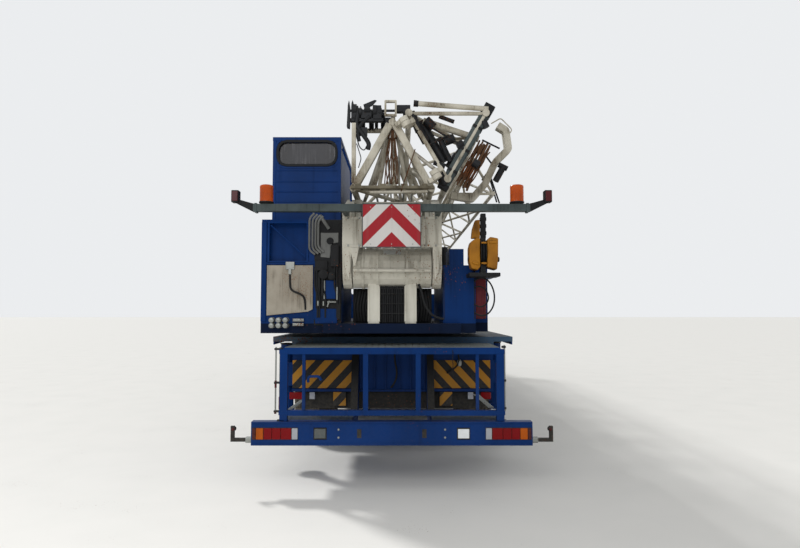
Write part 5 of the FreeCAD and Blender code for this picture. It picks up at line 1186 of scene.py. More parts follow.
@dataclass
class MastFoot:
    """Details on the outer mast's foot: folds, gussets, rail, plaque, bolts and pipes.

    Args:
        rear: outer face of the shroud along Y.
        low, high: levels of the shroud.
        half: half width over the cheeks; not used.
    """

    rear: float = -6.86
    low: float = 2.39
    high: float = 2.69
    half: float = 0.5

    def build(self) -> None:
        """Publish the foot's pieces and dress the masts."""
        dress(IVORY, "mast_outer", "mast_inner")
        self.skin()
        self.gussets()
        self.pipes()
        self.pins()

    def skin(self) -> None:
        """Publish the folded ribs and edges on the shroud."""
        ribs = [box((-0.475, self.rear - 0.006, self.high - 0.025), (0.475, self.rear + 0.03, self.high + 0.004)),
                box((-0.49, self.rear - 0.004, self.low - 0.004), (0.49, self.rear + 0.03, self.low + 0.022))]
        for x in (-0.31, -0.16, 0.19, 0.34):
            ribs.append(box((x - 0.004, self.rear - 0.005, self.low + 0.02), (x + 0.004, self.rear, self.high - 0.02)))
        Piece("foot_edges", "mast", IVORY, ribs, bevel=0.003).publish()
        heads = [(x, self.rear - 0.006, z) for x in np.linspace(-0.44, 0.44, 9) for z in (2.402, 2.678)]
        Piece("foot_bolts", "mast", PALE_STEEL, [bolts(heads, "y", 0.011, -0.008)]).publish()
        plaque = box((-0.085, self.rear + 0.02, 2.315), (0.09, self.rear + 0.035, 2.36))
        Piece("foot_plaque", "mast", PALE_STEEL, [plaque], bevel=0.003).publish()

    def gussets(self) -> None:
        """Publish the webs below the shroud, the curved side flanges and the rail between them."""
        parts = []
        for side in SIDES.values():
            inner, outer = 0.43 * side, 0.49 * side
            parts.append(plate([(inner, 2.39), (outer, 2.39), (outer * 0.96, 2.16), (inner, 2.05),
                                (inner * 0.97, 2.2)], "xz", self.rear + 0.01, self.rear + 0.03))
        web = plate([(-0.42, 2.385), (-0.33, 2.385), (-0.365, 2.2), (-0.385, 2.2)], "xz",
                    self.rear - 0.002, self.rear + 0.016)
        Piece("foot_gussets", "mast", IVORY, [*parts, web], bevel=0.004).publish()
        rail = tube([(-0.385, self.rear + 0.01, 2.156), (0.385, self.rear + 0.01, 2.152)], 0.017, 14)
        stubs = [tube([(x, self.rear + 0.012, 2.154), (x, self.rear + 0.09, 2.16)], 0.009, 8)
                 for x in (-0.34, 0.0, 0.34)]
        Piece("foot_rail", "superstructure", IVORY, [rail, *stubs]).publish()

    def pins(self) -> None:
        """Publish the pivot's end plates on the stand, one at each end."""
        Piece("pivot_plates", "superstructure", PALE_STEEL, [
            lathe([(0.5, 0.085), (0.515, 0.08)], (0, -6.6, 2.19), "x", 28),
            lathe([(-0.515, 0.08), (-0.5, 0.085)], (0, -6.6, 2.19), "x", 28)]).publish()

    def pipes(self) -> None:
        """Publish pipes along the mast's side and the node plates of its lattice."""
        lines = []
        for side in SIDES.values():
            for height in (2.32, 2.36, 2.40):
                lines.append(struts([(0.405 * side, -6.2, height)], [(0.405 * side, 5.4, height)], 0.011, 8))
        Piece("mast_pipes", "mast", PALE_STEEL, lines).publish()
        step = (5.6 + 6.3 - 0.09) / 10
        levels = [-6.3 + 0.045 + step * number for number in range(11)]
        made = []
        for number, level in enumerate(levels):
            for side in SIDES.values():
                for z, way in ((2.21, 1), (2.88, -1)):
                    x = 0.425 * side
                    made.append(plate([(level - 0.13, z), (level + 0.13, z), (level + 0.05, z + 0.1 * way),
                                       (level - 0.05, z + 0.1 * way)], "yz", x - 0.012 * (side > 0) - 0.0,
                                      x + 0.012 * (side < 0)))
        Piece("mast_node_plates", "mast", IVORY, made).publish()


@dataclass
class LightBeam:
    """The beam across the rear with its marker lamps, beacons and arrow board."""

    rear: float = -7.17
    low: float = 2.70
    high: float = 2.77
    half: float = 1.325

    def build(self) -> None:
        """Publish lamps, brackets and beacons, and dress the beam and the board."""
        dress(GALVANISED, "light_beam")
        dress(CHEVRON, "warning_board")
        self.beacons()
        self.lamps()
        self.board()

    def beacons(self) -> None:
        """Publish the ribbed domes on their black feet."""
        domes, feet = [], []
        for side in SIDES.values():
            centre = (1.205 * side, -7.13, 2.77)
            levels = np.linspace(0.028, 0.172, 25)
            profile = [(0.018, 0.055), (0.02, 0.064)]
            profile += [(level, 0.0655 - 0.002 * (number % 2)) for number, level in enumerate(levels)]
            profile += [(0.182, 0.06), (0.188, 0.045), (0.19, 0.02)]
            domes.append(lathe(profile, centre, "z", 40))
            feet.append(lathe([(0.0, 0.045), (0.008, 0.05), (0.012, 0.07), (0.024, 0.07), (0.026, 0.05)],
                              centre, "z", 32))
        Piece("beacon_domes", "mast", BEACON, domes, replaces=("beacons",)).publish()
        Piece("beacon_feet", "mast", BLACK_TRIM, feet).publish()

    def lamps(self) -> None:
        """Publish the marker lamps at the beam's ends, with black housings."""
        lenses, housings = [], []
        for side in SIDES.values():
            x = 1.5 * side
            housings.append(box((x - 0.035, -7.172, 2.787), (x + 0.035, -7.087, 2.903)))
            lenses.append(box((x - 0.028, -7.178, 2.797), (x + 0.028, -7.171, 2.893)))
        Piece("wing_lamp_housings", "mast", BLACK_TRIM, housings, bevel=0.006).publish()
        Piece("wing_lamp_lenses", "mast", DARK_LENS, lenses, bevel=0.004).publish()
        clamps = [box((x - 0.012, self.rear - 0.004, self.low - 0.012), (x + 0.012, self.rear + 0.074, self.high + 0.008))
                  for x in (-1.30, 1.30)]
        Piece("beam_clamps", "mast", GALVANISED, clamps, bevel=0.003).publish()
        sleeves = [plate([(1.322 * side, 2.694), (1.502 * side, 2.784), (1.502 * side, 2.826), (1.322 * side, 2.775)],
                         "xz", self.rear + 0.02, self.rear + 0.052) for side in SIDES.values()]
        Piece("wing_arm_sleeves", "mast", BLACK_TRIM, sleeves, bevel=0.004).publish()
        cable = tube([(-1.18, -7.085, 2.765), (-0.9, -7.085, 2.78), (0.0, -7.085, 2.775), (0.9, -7.085, 2.78),
                      (1.18, -7.085, 2.765)], 0.007, 8, 0.05)
        Piece("beam_cable", "mast", RUBBER, [cable]).publish()

    def board(self) -> None:
        """Publish the board's rim, its rivets and the frame behind it."""
        rim = hollow_frame((0.0, 2.5585), (0.564, 0.423), 0.004, 0.008, "xz", -7.1925, -7.188)
        Piece("board_rim", "mast", GALVANISED, [rim]).publish()
        heads = [(x, -7.19, z) for x in (-0.2, 0.0, 0.2) for z in (2.38, 2.735)]
        Piece("board_rivets", "mast", PALE_STEEL, [bolts(heads, "y", 0.006, -0.003)]).publish()
        rails = [box((x - 0.015, -7.17, 2.37), (x + 0.015, -7.15, 2.76)) for x in (-0.2, 0.2)]
        Piece("board_rails", "mast", GALVANISED, rails, bevel=0.002).publish()


@dataclass
class OperatorCab:
    """Details of the crane operator's cab: gasket, ribs, cover, pipes and brackets."""

    left: float = -1.29
    right: float = -0.56
    rear: float = -6.45
    cabinet_left: float = -1.344
    cabinet_right: float = -0.52
    cabinet_rear: float = -6.70
    top: float = 3.62

    def build(self) -> None:
        """Publish the cab's pieces and dress its nodes."""
        dress(NAVY, "operator_cab", "operator_door")
        dress(REAR_PANE, "operator_glass")
        self.windows()
        self.ribs()
        self.cover()
        self.pipes()
        self.side_frame()

    def windows(self) -> None:
        """Publish the rubber gaskets round the windows."""
        centre = (-0.925, 3.45)
        rear = hollow_frame(centre, (0.66, 0.29), 0.11, 0.026, "xz", self.rear - 0.012, self.rear + 0.01)
        edge = hollow_frame(centre, (0.70, 0.33), 0.115, 0.016, "xz", self.rear - 0.005, self.rear + 0.005)
        Piece("booth_gasket", "superstructure", RUBBER, [rear]).publish()
        Piece("booth_window_flange", "superstructure", NAVY, [edge]).publish()

    def ribs(self) -> None:
        """Publish the pressed ribs of the rear wall and the roof's rim."""
        ribs = []
        for z in (3.262, 3.14, 3.03, 2.92, 2.81):
            ribs.append(rounded_bar([(-1.262, self.rear - 0.001, z), (-0.588, self.rear - 0.001, z)],
                                    0.012, 0.012, 0.004))
        roof = [box((self.left - 0.006, self.rear - 0.008, self.top - 0.035), (self.right + 0.006, -4.94, self.top + 0.006)),
                box((self.right - 0.03, self.rear - 0.006, 2.70), (self.right + 0.004, self.rear + 0.03, 3.59)),
                box((self.left - 0.004, self.rear - 0.006, 2.70), (self.left + 0.03, self.rear + 0.03, 3.59))]
        Piece("booth_ribs", "superstructure", NAVY, ribs + roof, bevel=0.005).publish()
        seams = []
        for y in (-6.3, -5.95):
            seams.append(box((self.left - 0.003, y, 1.7), (self.left, y + 0.008, 3.55)))
        Piece("booth_seams", "superstructure", BLACK_TRIM, seams).publish()

    def cover(self) -> None:
        """Publish the framed recess, its diagonal brace and the beige cover below it."""
        y = self.cabinet_rear
        frame_part = hollow_frame((-1.072, 2.455), (0.42, 0.43), 0.008, 0.02, "xz", y - 0.012, y + 0.004)
        brace = rounded_bar([(-1.25, y - 0.006, 2.63), (-0.89, y - 0.006, 2.30)], 0.012, 0.018, 0.003)
        Piece("cabinet_frame", "superstructure", NAVY, [frame_part, brace]).publish()
        beige = plate([(-1.283, 2.215), (-0.811, 2.215), (-0.811, 1.765), (-0.86, 1.74), (-1.283, 1.70)], "xz",
                      y - 0.022, y - 0.004)
        Piece("cabinet_cover", "superstructure", BEIGE, [beige], bevel=0.006).publish()
        edges = [box((-1.344, y - 0.014, 1.64), (-1.29, y, 2.66)), box((-0.805, y - 0.01, 1.66), (-0.775, y, 2.26)),
                 box((-1.30, y - 0.012, 2.222), (-0.80, y, 2.248))]
        Piece("cabinet_edges", "superstructure", NAVY, edges, bevel=0.004).publish()
        bracket = [box((-1.09, y - 0.035, 2.17), (-1.0, y - 0.01, 2.25)), box((-1.06, y - 0.04, 2.12), (-1.03, y - 0.02, 2.18))]
        Piece("cabinet_bracket", "superstructure", PALE_STEEL, bracket, bevel=0.004).publish()

    def pipes(self) -> None:
        """Publish the bent grey pipes, the plate with its round hole drawn as a black disc of painted shade, and the
        hose on the cover.
        """
        y = self.cabinet_rear - 0.03
        loops = []
        for number, x in enumerate((-0.849, -0.817, -0.787, -0.759)):
            loops.append(tube([(x + 0.05, y, 2.75 - 0.01 * number), (x, y, 2.70 - 0.01 * number), (x, y, 2.37 + 0.01 * number),
                               (x + 0.06, y, 2.325 + 0.008 * number)], 0.0115, 10, 0.04))
        slant = struts([(-0.745, y + 0.01, 2.73)], [(-0.65, y + 0.01, 2.59)], 0.017, 10)
        Piece("cabinet_pipes", "superstructure", GREY_PLATE, [*loops, slant]).publish()
        # A black disc on the plate: painted shade inside its round hole.
        disc = lathe([(-0.008, 0.034), (0.0, 0.038)], (-0.638, self.cabinet_rear - 0.016, 2.465), "y", 28)
        Piece("fan_opening", "superstructure", BLACK_TRIM, [disc]).publish()
        sheet = plate([(-0.735, 2.55), (-0.553, 2.55), (-0.553, 2.45), (-0.62, 2.44), (-0.64, 2.29), (-0.735, 2.30)],
                      "xz", self.cabinet_rear - 0.018, self.cabinet_rear - 0.004)
        Piece("fan_plate", "superstructure", GREY_PLATE, [sheet], bevel=0.003).publish()
        back = self.cabinet_rear - 0.008
        # The first box is a black sheet across the back of the cabinet: painted shade in its hollow. The other boxes
        # and the two round parts are dark gear.
        dark = [box((-0.80, back, 1.60), (-0.518, back + 0.01, 2.687)),
                box((-0.63, back - 0.04, 2.20), (-0.545, back, 2.42)),
                box((-0.79, back - 0.03, 2.16), (-0.66, back, 2.26)),
                box((-0.78, back - 0.022, 1.78), (-0.735, back, 2.14)),
                box((-0.56, back - 0.03, 1.66), (-0.525, back, 1.82)),
                box((-0.72, back - 0.05, 1.90), (-0.70, back, 2.16))]
        dark.append(lathe([(back - 0.06, 0.03), (back - 0.055, 0.05), (back, 0.05)], (-0.70, 0, 2.12), "y", 24))
        dark.append(lathe([(back - 0.05, 0.03), (back - 0.045, 0.04), (back, 0.04)], (-0.62, 0, 2.10), "y", 24))
        Piece("cabinet_gear", "superstructure", BLACK_TRIM, dark, bevel=0.004).publish()
        panels = [box((-0.68, back - 0.018, 1.87), (-0.578, back, 2.06)), box((-0.785, back - 0.02, 1.62), (-0.56, back, 1.77))]
        Piece("cabinet_panels", "superstructure", NAVY, panels, bevel=0.004).publish()
        taps = struts([(-0.755, back - 0.03, 1.80), (-0.70, back - 0.03, 1.80), (-0.66, back - 0.03, 1.79),
                       (-0.66, back - 0.03, 1.838), (-0.562, back - 0.03, 1.86), (-0.692, back - 0.02, 1.87)],
                      [(-0.755, back - 0.03, 1.85), (-0.70, back - 0.03, 1.845), (-0.64, back - 0.03, 1.85),
                       (-0.57, back - 0.03, 1.838), (-0.562, back - 0.03, 1.99), (-0.692, back - 0.02, 2.06)], 0.008, 8)
        Piece("cabinet_taps", "superstructure", PALE_STEEL, [taps]).publish()
        lines = [tube([(x, y, 2.2), (x, y, 2.0), (x + 0.03, y, 1.9), (x + 0.03, y, 1.68)], 0.009, 8, 0.04)
                 for x in (-0.79, -0.77, -0.71, -0.59, -0.565)]
        Piece("cabinet_lines", "superstructure", RUBBER, lines).publish()
        nuts = []
        for x in (-1.22, -1.15, -1.08):
            for level in (1.655, 1.60):
                nuts.append(lathe([(back - 0.08, 0.018), (back - 0.075, 0.026), (back - 0.04, 0.026),
                                   (back - 0.035, 0.02), (back - 0.01, 0.02), (back + 0.008, 0.03)],
                                  (x, 0, level), "y", 12))
        nuts += [rounded_bar([(-1.01, back - 0.02, level), (-0.90, back - 0.02, level)], 0.03, 0.024, 0.004)
                 for level in (1.655, 1.61)]
        Piece("cabinet_couplings", "superstructure", PALE_STEEL, nuts).publish()
        hose("cover_hose", "superstructure", RUBBER,
             [(-1.045, y + 0.01, 2.12), (-1.045, y, 2.02), (-1.03, y - 0.01, 1.955), (-0.93, y - 0.01, 1.92),
              (-0.886, y, 1.88), (-0.884, y + 0.01, 1.76)], 0.02)

    def side_frame(self) -> None:
        """Publish the tube triangle beside the booth and the door's handle."""
        x0, x1 = -0.545, -0.45
        tri = tube([(x0, self.rear + 0.04, 3.51), (x1, self.rear + 0.04, 3.25), (x1, self.rear + 0.04, 2.78),
                    (x0, self.rear + 0.04, 2.74)], 0.011, 10, 0.03)
        Piece("booth_side_tube", "superstructure", NAVY, [tri]).publish()
        grab = tube([(-1.295, -5.0, 2.2), (-1.34, -5.0, 2.2), (-1.34, -5.0, 2.9), (-1.295, -5.0, 2.9)], 0.011, 10, 0.03)
        Piece("booth_grab_rail", "superstructure", BLACK_TRIM, [grab]).publish()


@dataclass
class UpperWorks:
    """Stand, turntable, ballast, power unit, hook block and their small parts."""

    def build(self) -> None:
        """Publish all pieces of the upper works."""
        dress(IVORY, "mast_stand")
        dress(NAVY, "power_unit")
        # The turntable's navy is darkened by painted shade.
        dress(NAVY_WITH_PAINTED_SHADE, "turntable")
        dress(BALLAST, "counterweight")
        dress(DARK_STEEL, "winch", "slew_ring", "raise_barrels")
        dress(BRIGHT_ROD, "raise_rods")
        self.stand()
        self.ballast()
        self.power_unit()
        self.hook_block()
        self.red_box()

    def stand(self) -> None:
        """Publish the drum's flanges, the ribbed hoses between the legs, the legs' edge strips, and black sheets of
        painted shade beside the legs with dark hoses before them.
        """
        flanges = []
        for side in SIDES.values():
            for x in (0.15, 0.3):
                flanges.append(lathe([(x * side - 0.012, 0.12), (x * side - 0.012, 0.215), (x * side + 0.012, 0.215),
                                      (x * side + 0.012, 0.12)], (0, -6.6, 2.19), "x", 40))
        Piece("tube_flanges", "superstructure", IVORY, flanges).publish()
        lines = struts([(x, -6.69 - 0.01 * (number % 3), 1.63) for number, x in enumerate(np.linspace(-0.115, 0.115, 11))],
                       [(x, -6.70 - 0.01 * (number % 2), 2.0) for number, x in enumerate(np.linspace(-0.115, 0.115, 11))],
                       0.0105, 10)
        Piece("stand_hoses", "superstructure", RUBBER, [lines]).publish()
        rungs = struts([(-0.13, -6.72, z) for z in (1.72, 1.82, 1.92)], [(0.13, -6.72, z) for z in (1.72, 1.82, 1.92)], 0.006, 8)
        Piece("hose_clamps", "superstructure", DARK_STEEL, [rungs]).publish()
        strips = []
        for side in SIDES.values():
            strips.append(rounded_bar([(0.135 * side, -6.722, 1.64), (0.135 * side, -6.722, 2.0)], 0.012, 0.02, 0.003))
            strips.append(rounded_bar([(0.24 * side, -6.722, 1.64), (0.24 * side, -6.722, 2.0)], 0.012, 0.02, 0.003))
        Piece("leg_edges", "superstructure", IVORY, strips).publish()
        shade_sheets_and_hoses = []
        for side in SIDES.values():
            # Black sheets behind the gaps beside the legs: painted shade.
            shade_sheets_and_hoses.append(box((0.235 * side, -6.50, 1.622), (0.415 * side, -6.48, 1.985)))
            for number in range(5):
                x = (0.26 + 0.03 * number) * side
                shade_sheets_and_hoses.append(tube([(x, -6.53, 1.64), (x + 0.02 * side, -6.55, 1.78), (x - 0.01 * side, -6.53, 1.95)],
                                  0.013 + 0.004 * (number % 2), 10, 0.06))
        Piece("leg_side_lines", "superstructure", BLACK_TRIM, shade_sheets_and_hoses).publish()
        hose("foot_hose", "superstructure", RUBBER,
             [(0.27, -6.71, 2.02), (0.30, -6.74, 1.95), (0.33, -6.76, 1.80), (0.42, -6.76, 1.68), (0.52, -6.74, 1.665)],
             0.024)

    def ballast(self) -> None:
        """Publish the lifting eyes and tie bolts of the ballast slabs."""
        eyes, heads = [], []
        for side in SIDES.values():
            for y in (-2.2, -1.4):
                eyes.append(tube([(0.9 * side - 0.05, y, 2.04), (0.9 * side - 0.05, y, 2.1), (0.9 * side + 0.05, y, 2.1),
                                  (0.9 * side + 0.05, y, 2.04)], 0.012, 10, 0.035))
                heads.append((0.6 * side, y, 2.04))
        Piece("ballast_eyes", "superstructure", PALE_STEEL, eyes + [bolts(heads, "z", 0.03, 0.02)]).publish()

    def power_unit(self) -> None:
        """Publish louvres and door seams of the power unit's housing, and its exhaust."""
        slats = []
        for number in range(9):
            z = 1.80 + 0.035 * number
            slats.append(rounded_bar([(1.052, -5.9, z), (1.052, -5.3, z)], 0.008, 0.022, 0.003))
        Piece("power_louvres", "superstructure", NAVY, slats).publish()
        seams = [box((1.05, y, 1.66), (1.053, y + 0.008, 2.18)) for y in (-6.15, -5.98, -5.2)]
        seams += [box((0.53, -6.653, 1.66), (0.538, -6.65, 2.18)), box((0.845, -6.653, 1.66), (0.853, -6.65, 2.18))]
        Piece("power_seams", "superstructure", BLACK_TRIM, seams).publish()
        stack = [lathe([(0.0, 0.05), (0.3, 0.05), (0.33, 0.056), (0.36, 0.05), (0.36, 0.042)], (0.64, -5.2, 2.2), "z", 24)]
        Piece("power_exhaust", "superstructure", DARK_STEEL, stack).publish()

    def hook_block(self) -> None:
        """Publish the hook block: amber cheeks, sheaves, black centre, pins and the hook's shank."""
        outer = [(0.775, 2.24), (0.80, 2.17), (0.86, 2.155), (0.885, 2.19), (0.885, 2.475), (0.86, 2.49),
                 (0.79, 2.44), (0.775, 2.38)]
        inner = [(0.952, 2.185), (1.05, 2.16), (1.062, 2.26), (1.065, 2.475), (0.985, 2.49), (0.955, 2.46)]
        cheeks = [plate(outer, "xz", -6.865, -6.69), plate(inner, "xz", -6.875, -6.68)]
        ribs = [plate([(0.80, 2.22), (0.868, 2.2), (0.868, 2.23), (0.80, 2.25)], "xz", -6.88, -6.86),
                plate([(0.97, 2.42), (1.05, 2.42), (1.05, 2.45), (0.97, 2.45)], "xz", -6.89, -6.87)]
        strap = plate([(0.80, 2.48), (0.888, 2.48), (0.888, 2.67), (0.84, 2.665), (0.81, 2.57)], "xz", -6.83, -6.75)
        Piece("hook_cheeks", "superstructure", AMBER, cheeks + ribs + [strap], bevel=0.012,
              replaces=("hook_block",)).publish()
        wheels = [sheave((x, -6.77, 2.34), 0.135, 0.024) for x in (0.903, 0.932)]
        links = []
        for number in range(7):
            z = 2.48 + 0.036 * number
            wide = 0.032 if number % 2 else 0.026
            links.append(box((0.925 - wide, -6.81, z), (0.925 + wide, -6.75, z + 0.04)))
        links.append(box((0.766, -6.934, 2.088), (1.074, -6.652, 2.1265)))
        centre = [box((0.892, -6.83, 2.128), (0.945, -6.71, 2.485))]
        pin = lathe([(0.768, 0.02), (0.773, 0.026), (1.085, 0.026), (1.09, 0.02)], (0, -6.77, 2.27), "x", 16)
        Piece("hook_sheaves", "superstructure", DARK_STEEL, wheels + centre + [pin]).publish()
        Piece("hook_links", "superstructure", BLACK_TRIM, links, bevel=0.006).publish()
        pads = [box((0.895, -6.885, z), (0.945, -6.82, z + 0.018)) for z in (2.215, 2.42)]
        Piece("hook_bands", "superstructure", AMBER, pads, bevel=0.004).publish()

    def red_box(self) -> None:
        """Publish the dark red box at the power unit's rear, the post above it and its hoses."""
        body = box((0.862, -6.60, 1.665), (0.978, -6.30, 2.085))
        Piece("red_box", "superstructure", OXIDE, [body], bevel=0.012).publish()
        hose("box_hose_one", "superstructure", RUBBER,
             [(0.85, -6.652, 2.05), (0.87, -6.68, 2.09), (0.98, -6.70, 2.08), (1.05, -6.70, 1.95), (1.045, -6.70, 1.80),
              (0.97, -6.70, 1.70), (0.88, -6.68, 1.70), (0.85, -6.652, 1.73)], 0.016)
        hose("box_hose_two", "superstructure", RUBBER,
             [(0.85, -6.652, 1.98), (0.87, -6.68, 2.01), (0.96, -6.69, 1.98), (1.0, -6.69, 1.87), (0.94, -6.69, 1.79),
              (0.87, -6.68, 1.79), (0.85, -6.652, 1.82)], 0.014)


# Carrier


@dataclass
class Wheel:
    """One wheel: tyre with grooves and lugs, dished rim with hand holes, hub and nuts.

    Args:
        radius, width: of the tyre.
        rim: radius of the rim's edge.
        lugs: tread blocks round the tyre.
    """

    radius: float = 0.65
    width: float = 0.385
    rim: float = 0.30
    lugs: int = 42

    def tyre(self) -> Surface:
        """Return the carcass: a turned profile with rounded shoulders."""
        half = self.width / 2
        base = self.radius - 0.022
        profile = [(-half + 0.02, self.rim), (-half + 0.004, self.rim + 0.03), (-half, self.rim + 0.12),
                   (-half + 0.002, self.rim + 0.20), (-half + 0.012, self.rim + 0.27),
                   (-half + 0.024, base - 0.02), (-half + 0.034, base)]
        profile += [(-0.05, base), (0.05, base)]
        profile += [(-across, level) for across, level in profile[:7][::-1]]
        return lathe(profile, (0, 0, 0), "x", 72)

    def tread(self) -> Surface:
        """Return the tread blocks: two slanted rows over the shoulders and a zigzag middle row."""
        base, top, half = self.radius - 0.026, self.radius, self.width / 2
        blocks = []
        for side in (-1, 1):
            corners = np.array([[0.055, -0.030], [half - 0.024, -0.036], [half - 0.024, 0.012], [0.055, 0.020]])
            corners[:, 0] *= side
            blocks.append((corners, 0.0 if side > 0 else math.pi / self.lugs))
        middle = np.array([[-0.047, -0.033], [0.047, -0.015], [0.047, 0.031], [-0.047, 0.013]])
        blocks.append((middle, 0.5 * math.pi / self.lugs))
        made = []
        for corners, start in blocks:
            points = np.zeros((2, 4, 3))
            for row, (level, share) in enumerate(((base, 1.0), (top, 0.93))):
                centre = corners.mean(0)
                flat = centre + (corners - centre) * share
                points[row, :, 0] = flat[:, 0]
                points[row, :, 1] = flat[:, 1]
                points[row, :, 2] = np.sqrt(level ** 2 - flat[:, 1] ** 2)
            made.append(round_about(grid(points, False, True), "x", (0, 0, 0), self.lugs, start))
        return merged(*made)

    def rim_disc(self) -> Surface:
        """Return the rim and its dished disc, as one closed turned profile."""
        profile = [(-0.17, 0.30), (-0.175, 0.315), (-0.165, 0.318), (-0.15, 0.30), (-0.09, 0.29),
                   (0.10, 0.29), (0.15, 0.30), (0.168, 0.318), (0.178, 0.315), (0.172, 0.296),
                   (0.12, 0.283), (0.075, 0.272), (0.058, 0.25), (0.03, 0.19), (0.026, 0.12), (0.01, 0.12),
                   (0.012, 0.19), (0.04, 0.25), (0.05, 0.275), (-0.10, 0.275), (-0.155, 0.285)]
        return lathe(profile[::-1], (0, 0, 0), "x", 56, closed=True)

    def hub(self) -> Surface:
        """Return the planetary hub with its cap and the nut ring."""
        cap = lathe([(0.0, 0.10), (0.03, 0.155), (0.04, 0.155), (0.045, 0.112), (0.10, 0.108),
                     (0.118, 0.095), (0.122, 0.05), (0.13, 0.045), (0.132, 0.02)], (0, 0, 0), "x", 40)
        nut = lathe([(0.04, 0.0165), (0.062, 0.0165), (0.066, 0.012)], (0, 0.135, 0), "x", 6)
        small = lathe([(0.118, 0.008), (0.125, 0.007)], (0, 0.07, 0), "x", 6)
        return merged(cap, round_about(nut, "x", (0, 0, 0), 10), round_about(small, "x", (0, 0, 0), 8))

    def holes(self) -> Surface:
        """Return the hand holes in the disc, drawn as black plugs: painted shade where one would see through them."""
        hole = lathe([(0.03, 0.026), (0.052, 0.028)], (0, 0.222, 0), "x", 16)
        return round_about(hole, "x", (0, 0, 0), 10, 0.3)

    def build(self) -> None:
        """Publish every wheel on its own body, and its mirrored twin on the left."""
        groups = (("tyre", TYRE, [self.tyre(), self.tread()], 30.0),
                  ("rim", RIM, [self.rim_disc()], 35.0),
                  # The hub's black takes in the hand holes' plugs, which are painted shade.
                  ("hub", CHASSIS_BLACK, [self.hub(), self.holes()], 35.0))
        places = {"one": 4.05, "two": 2.40, "three": -2.35, "four": -4.00}
        for axle, y in places.items():
            for name, side in SIDES.items():
                body = f"wheel_{axle}_{name}"
                for part, finish, surfaces, smooth in groups:
                    placed = [surface if side > 0 else surface.mirrored() for surface in surfaces]
                    placed = [surface.moved((1.18 * side, y, 0.65)) for surface in placed]
                    Piece(f"{part}_{axle}_{name}", body, finish, placed, smooth=smooth,
                          replaces=(body,) if part == "tyre" else ()).publish()


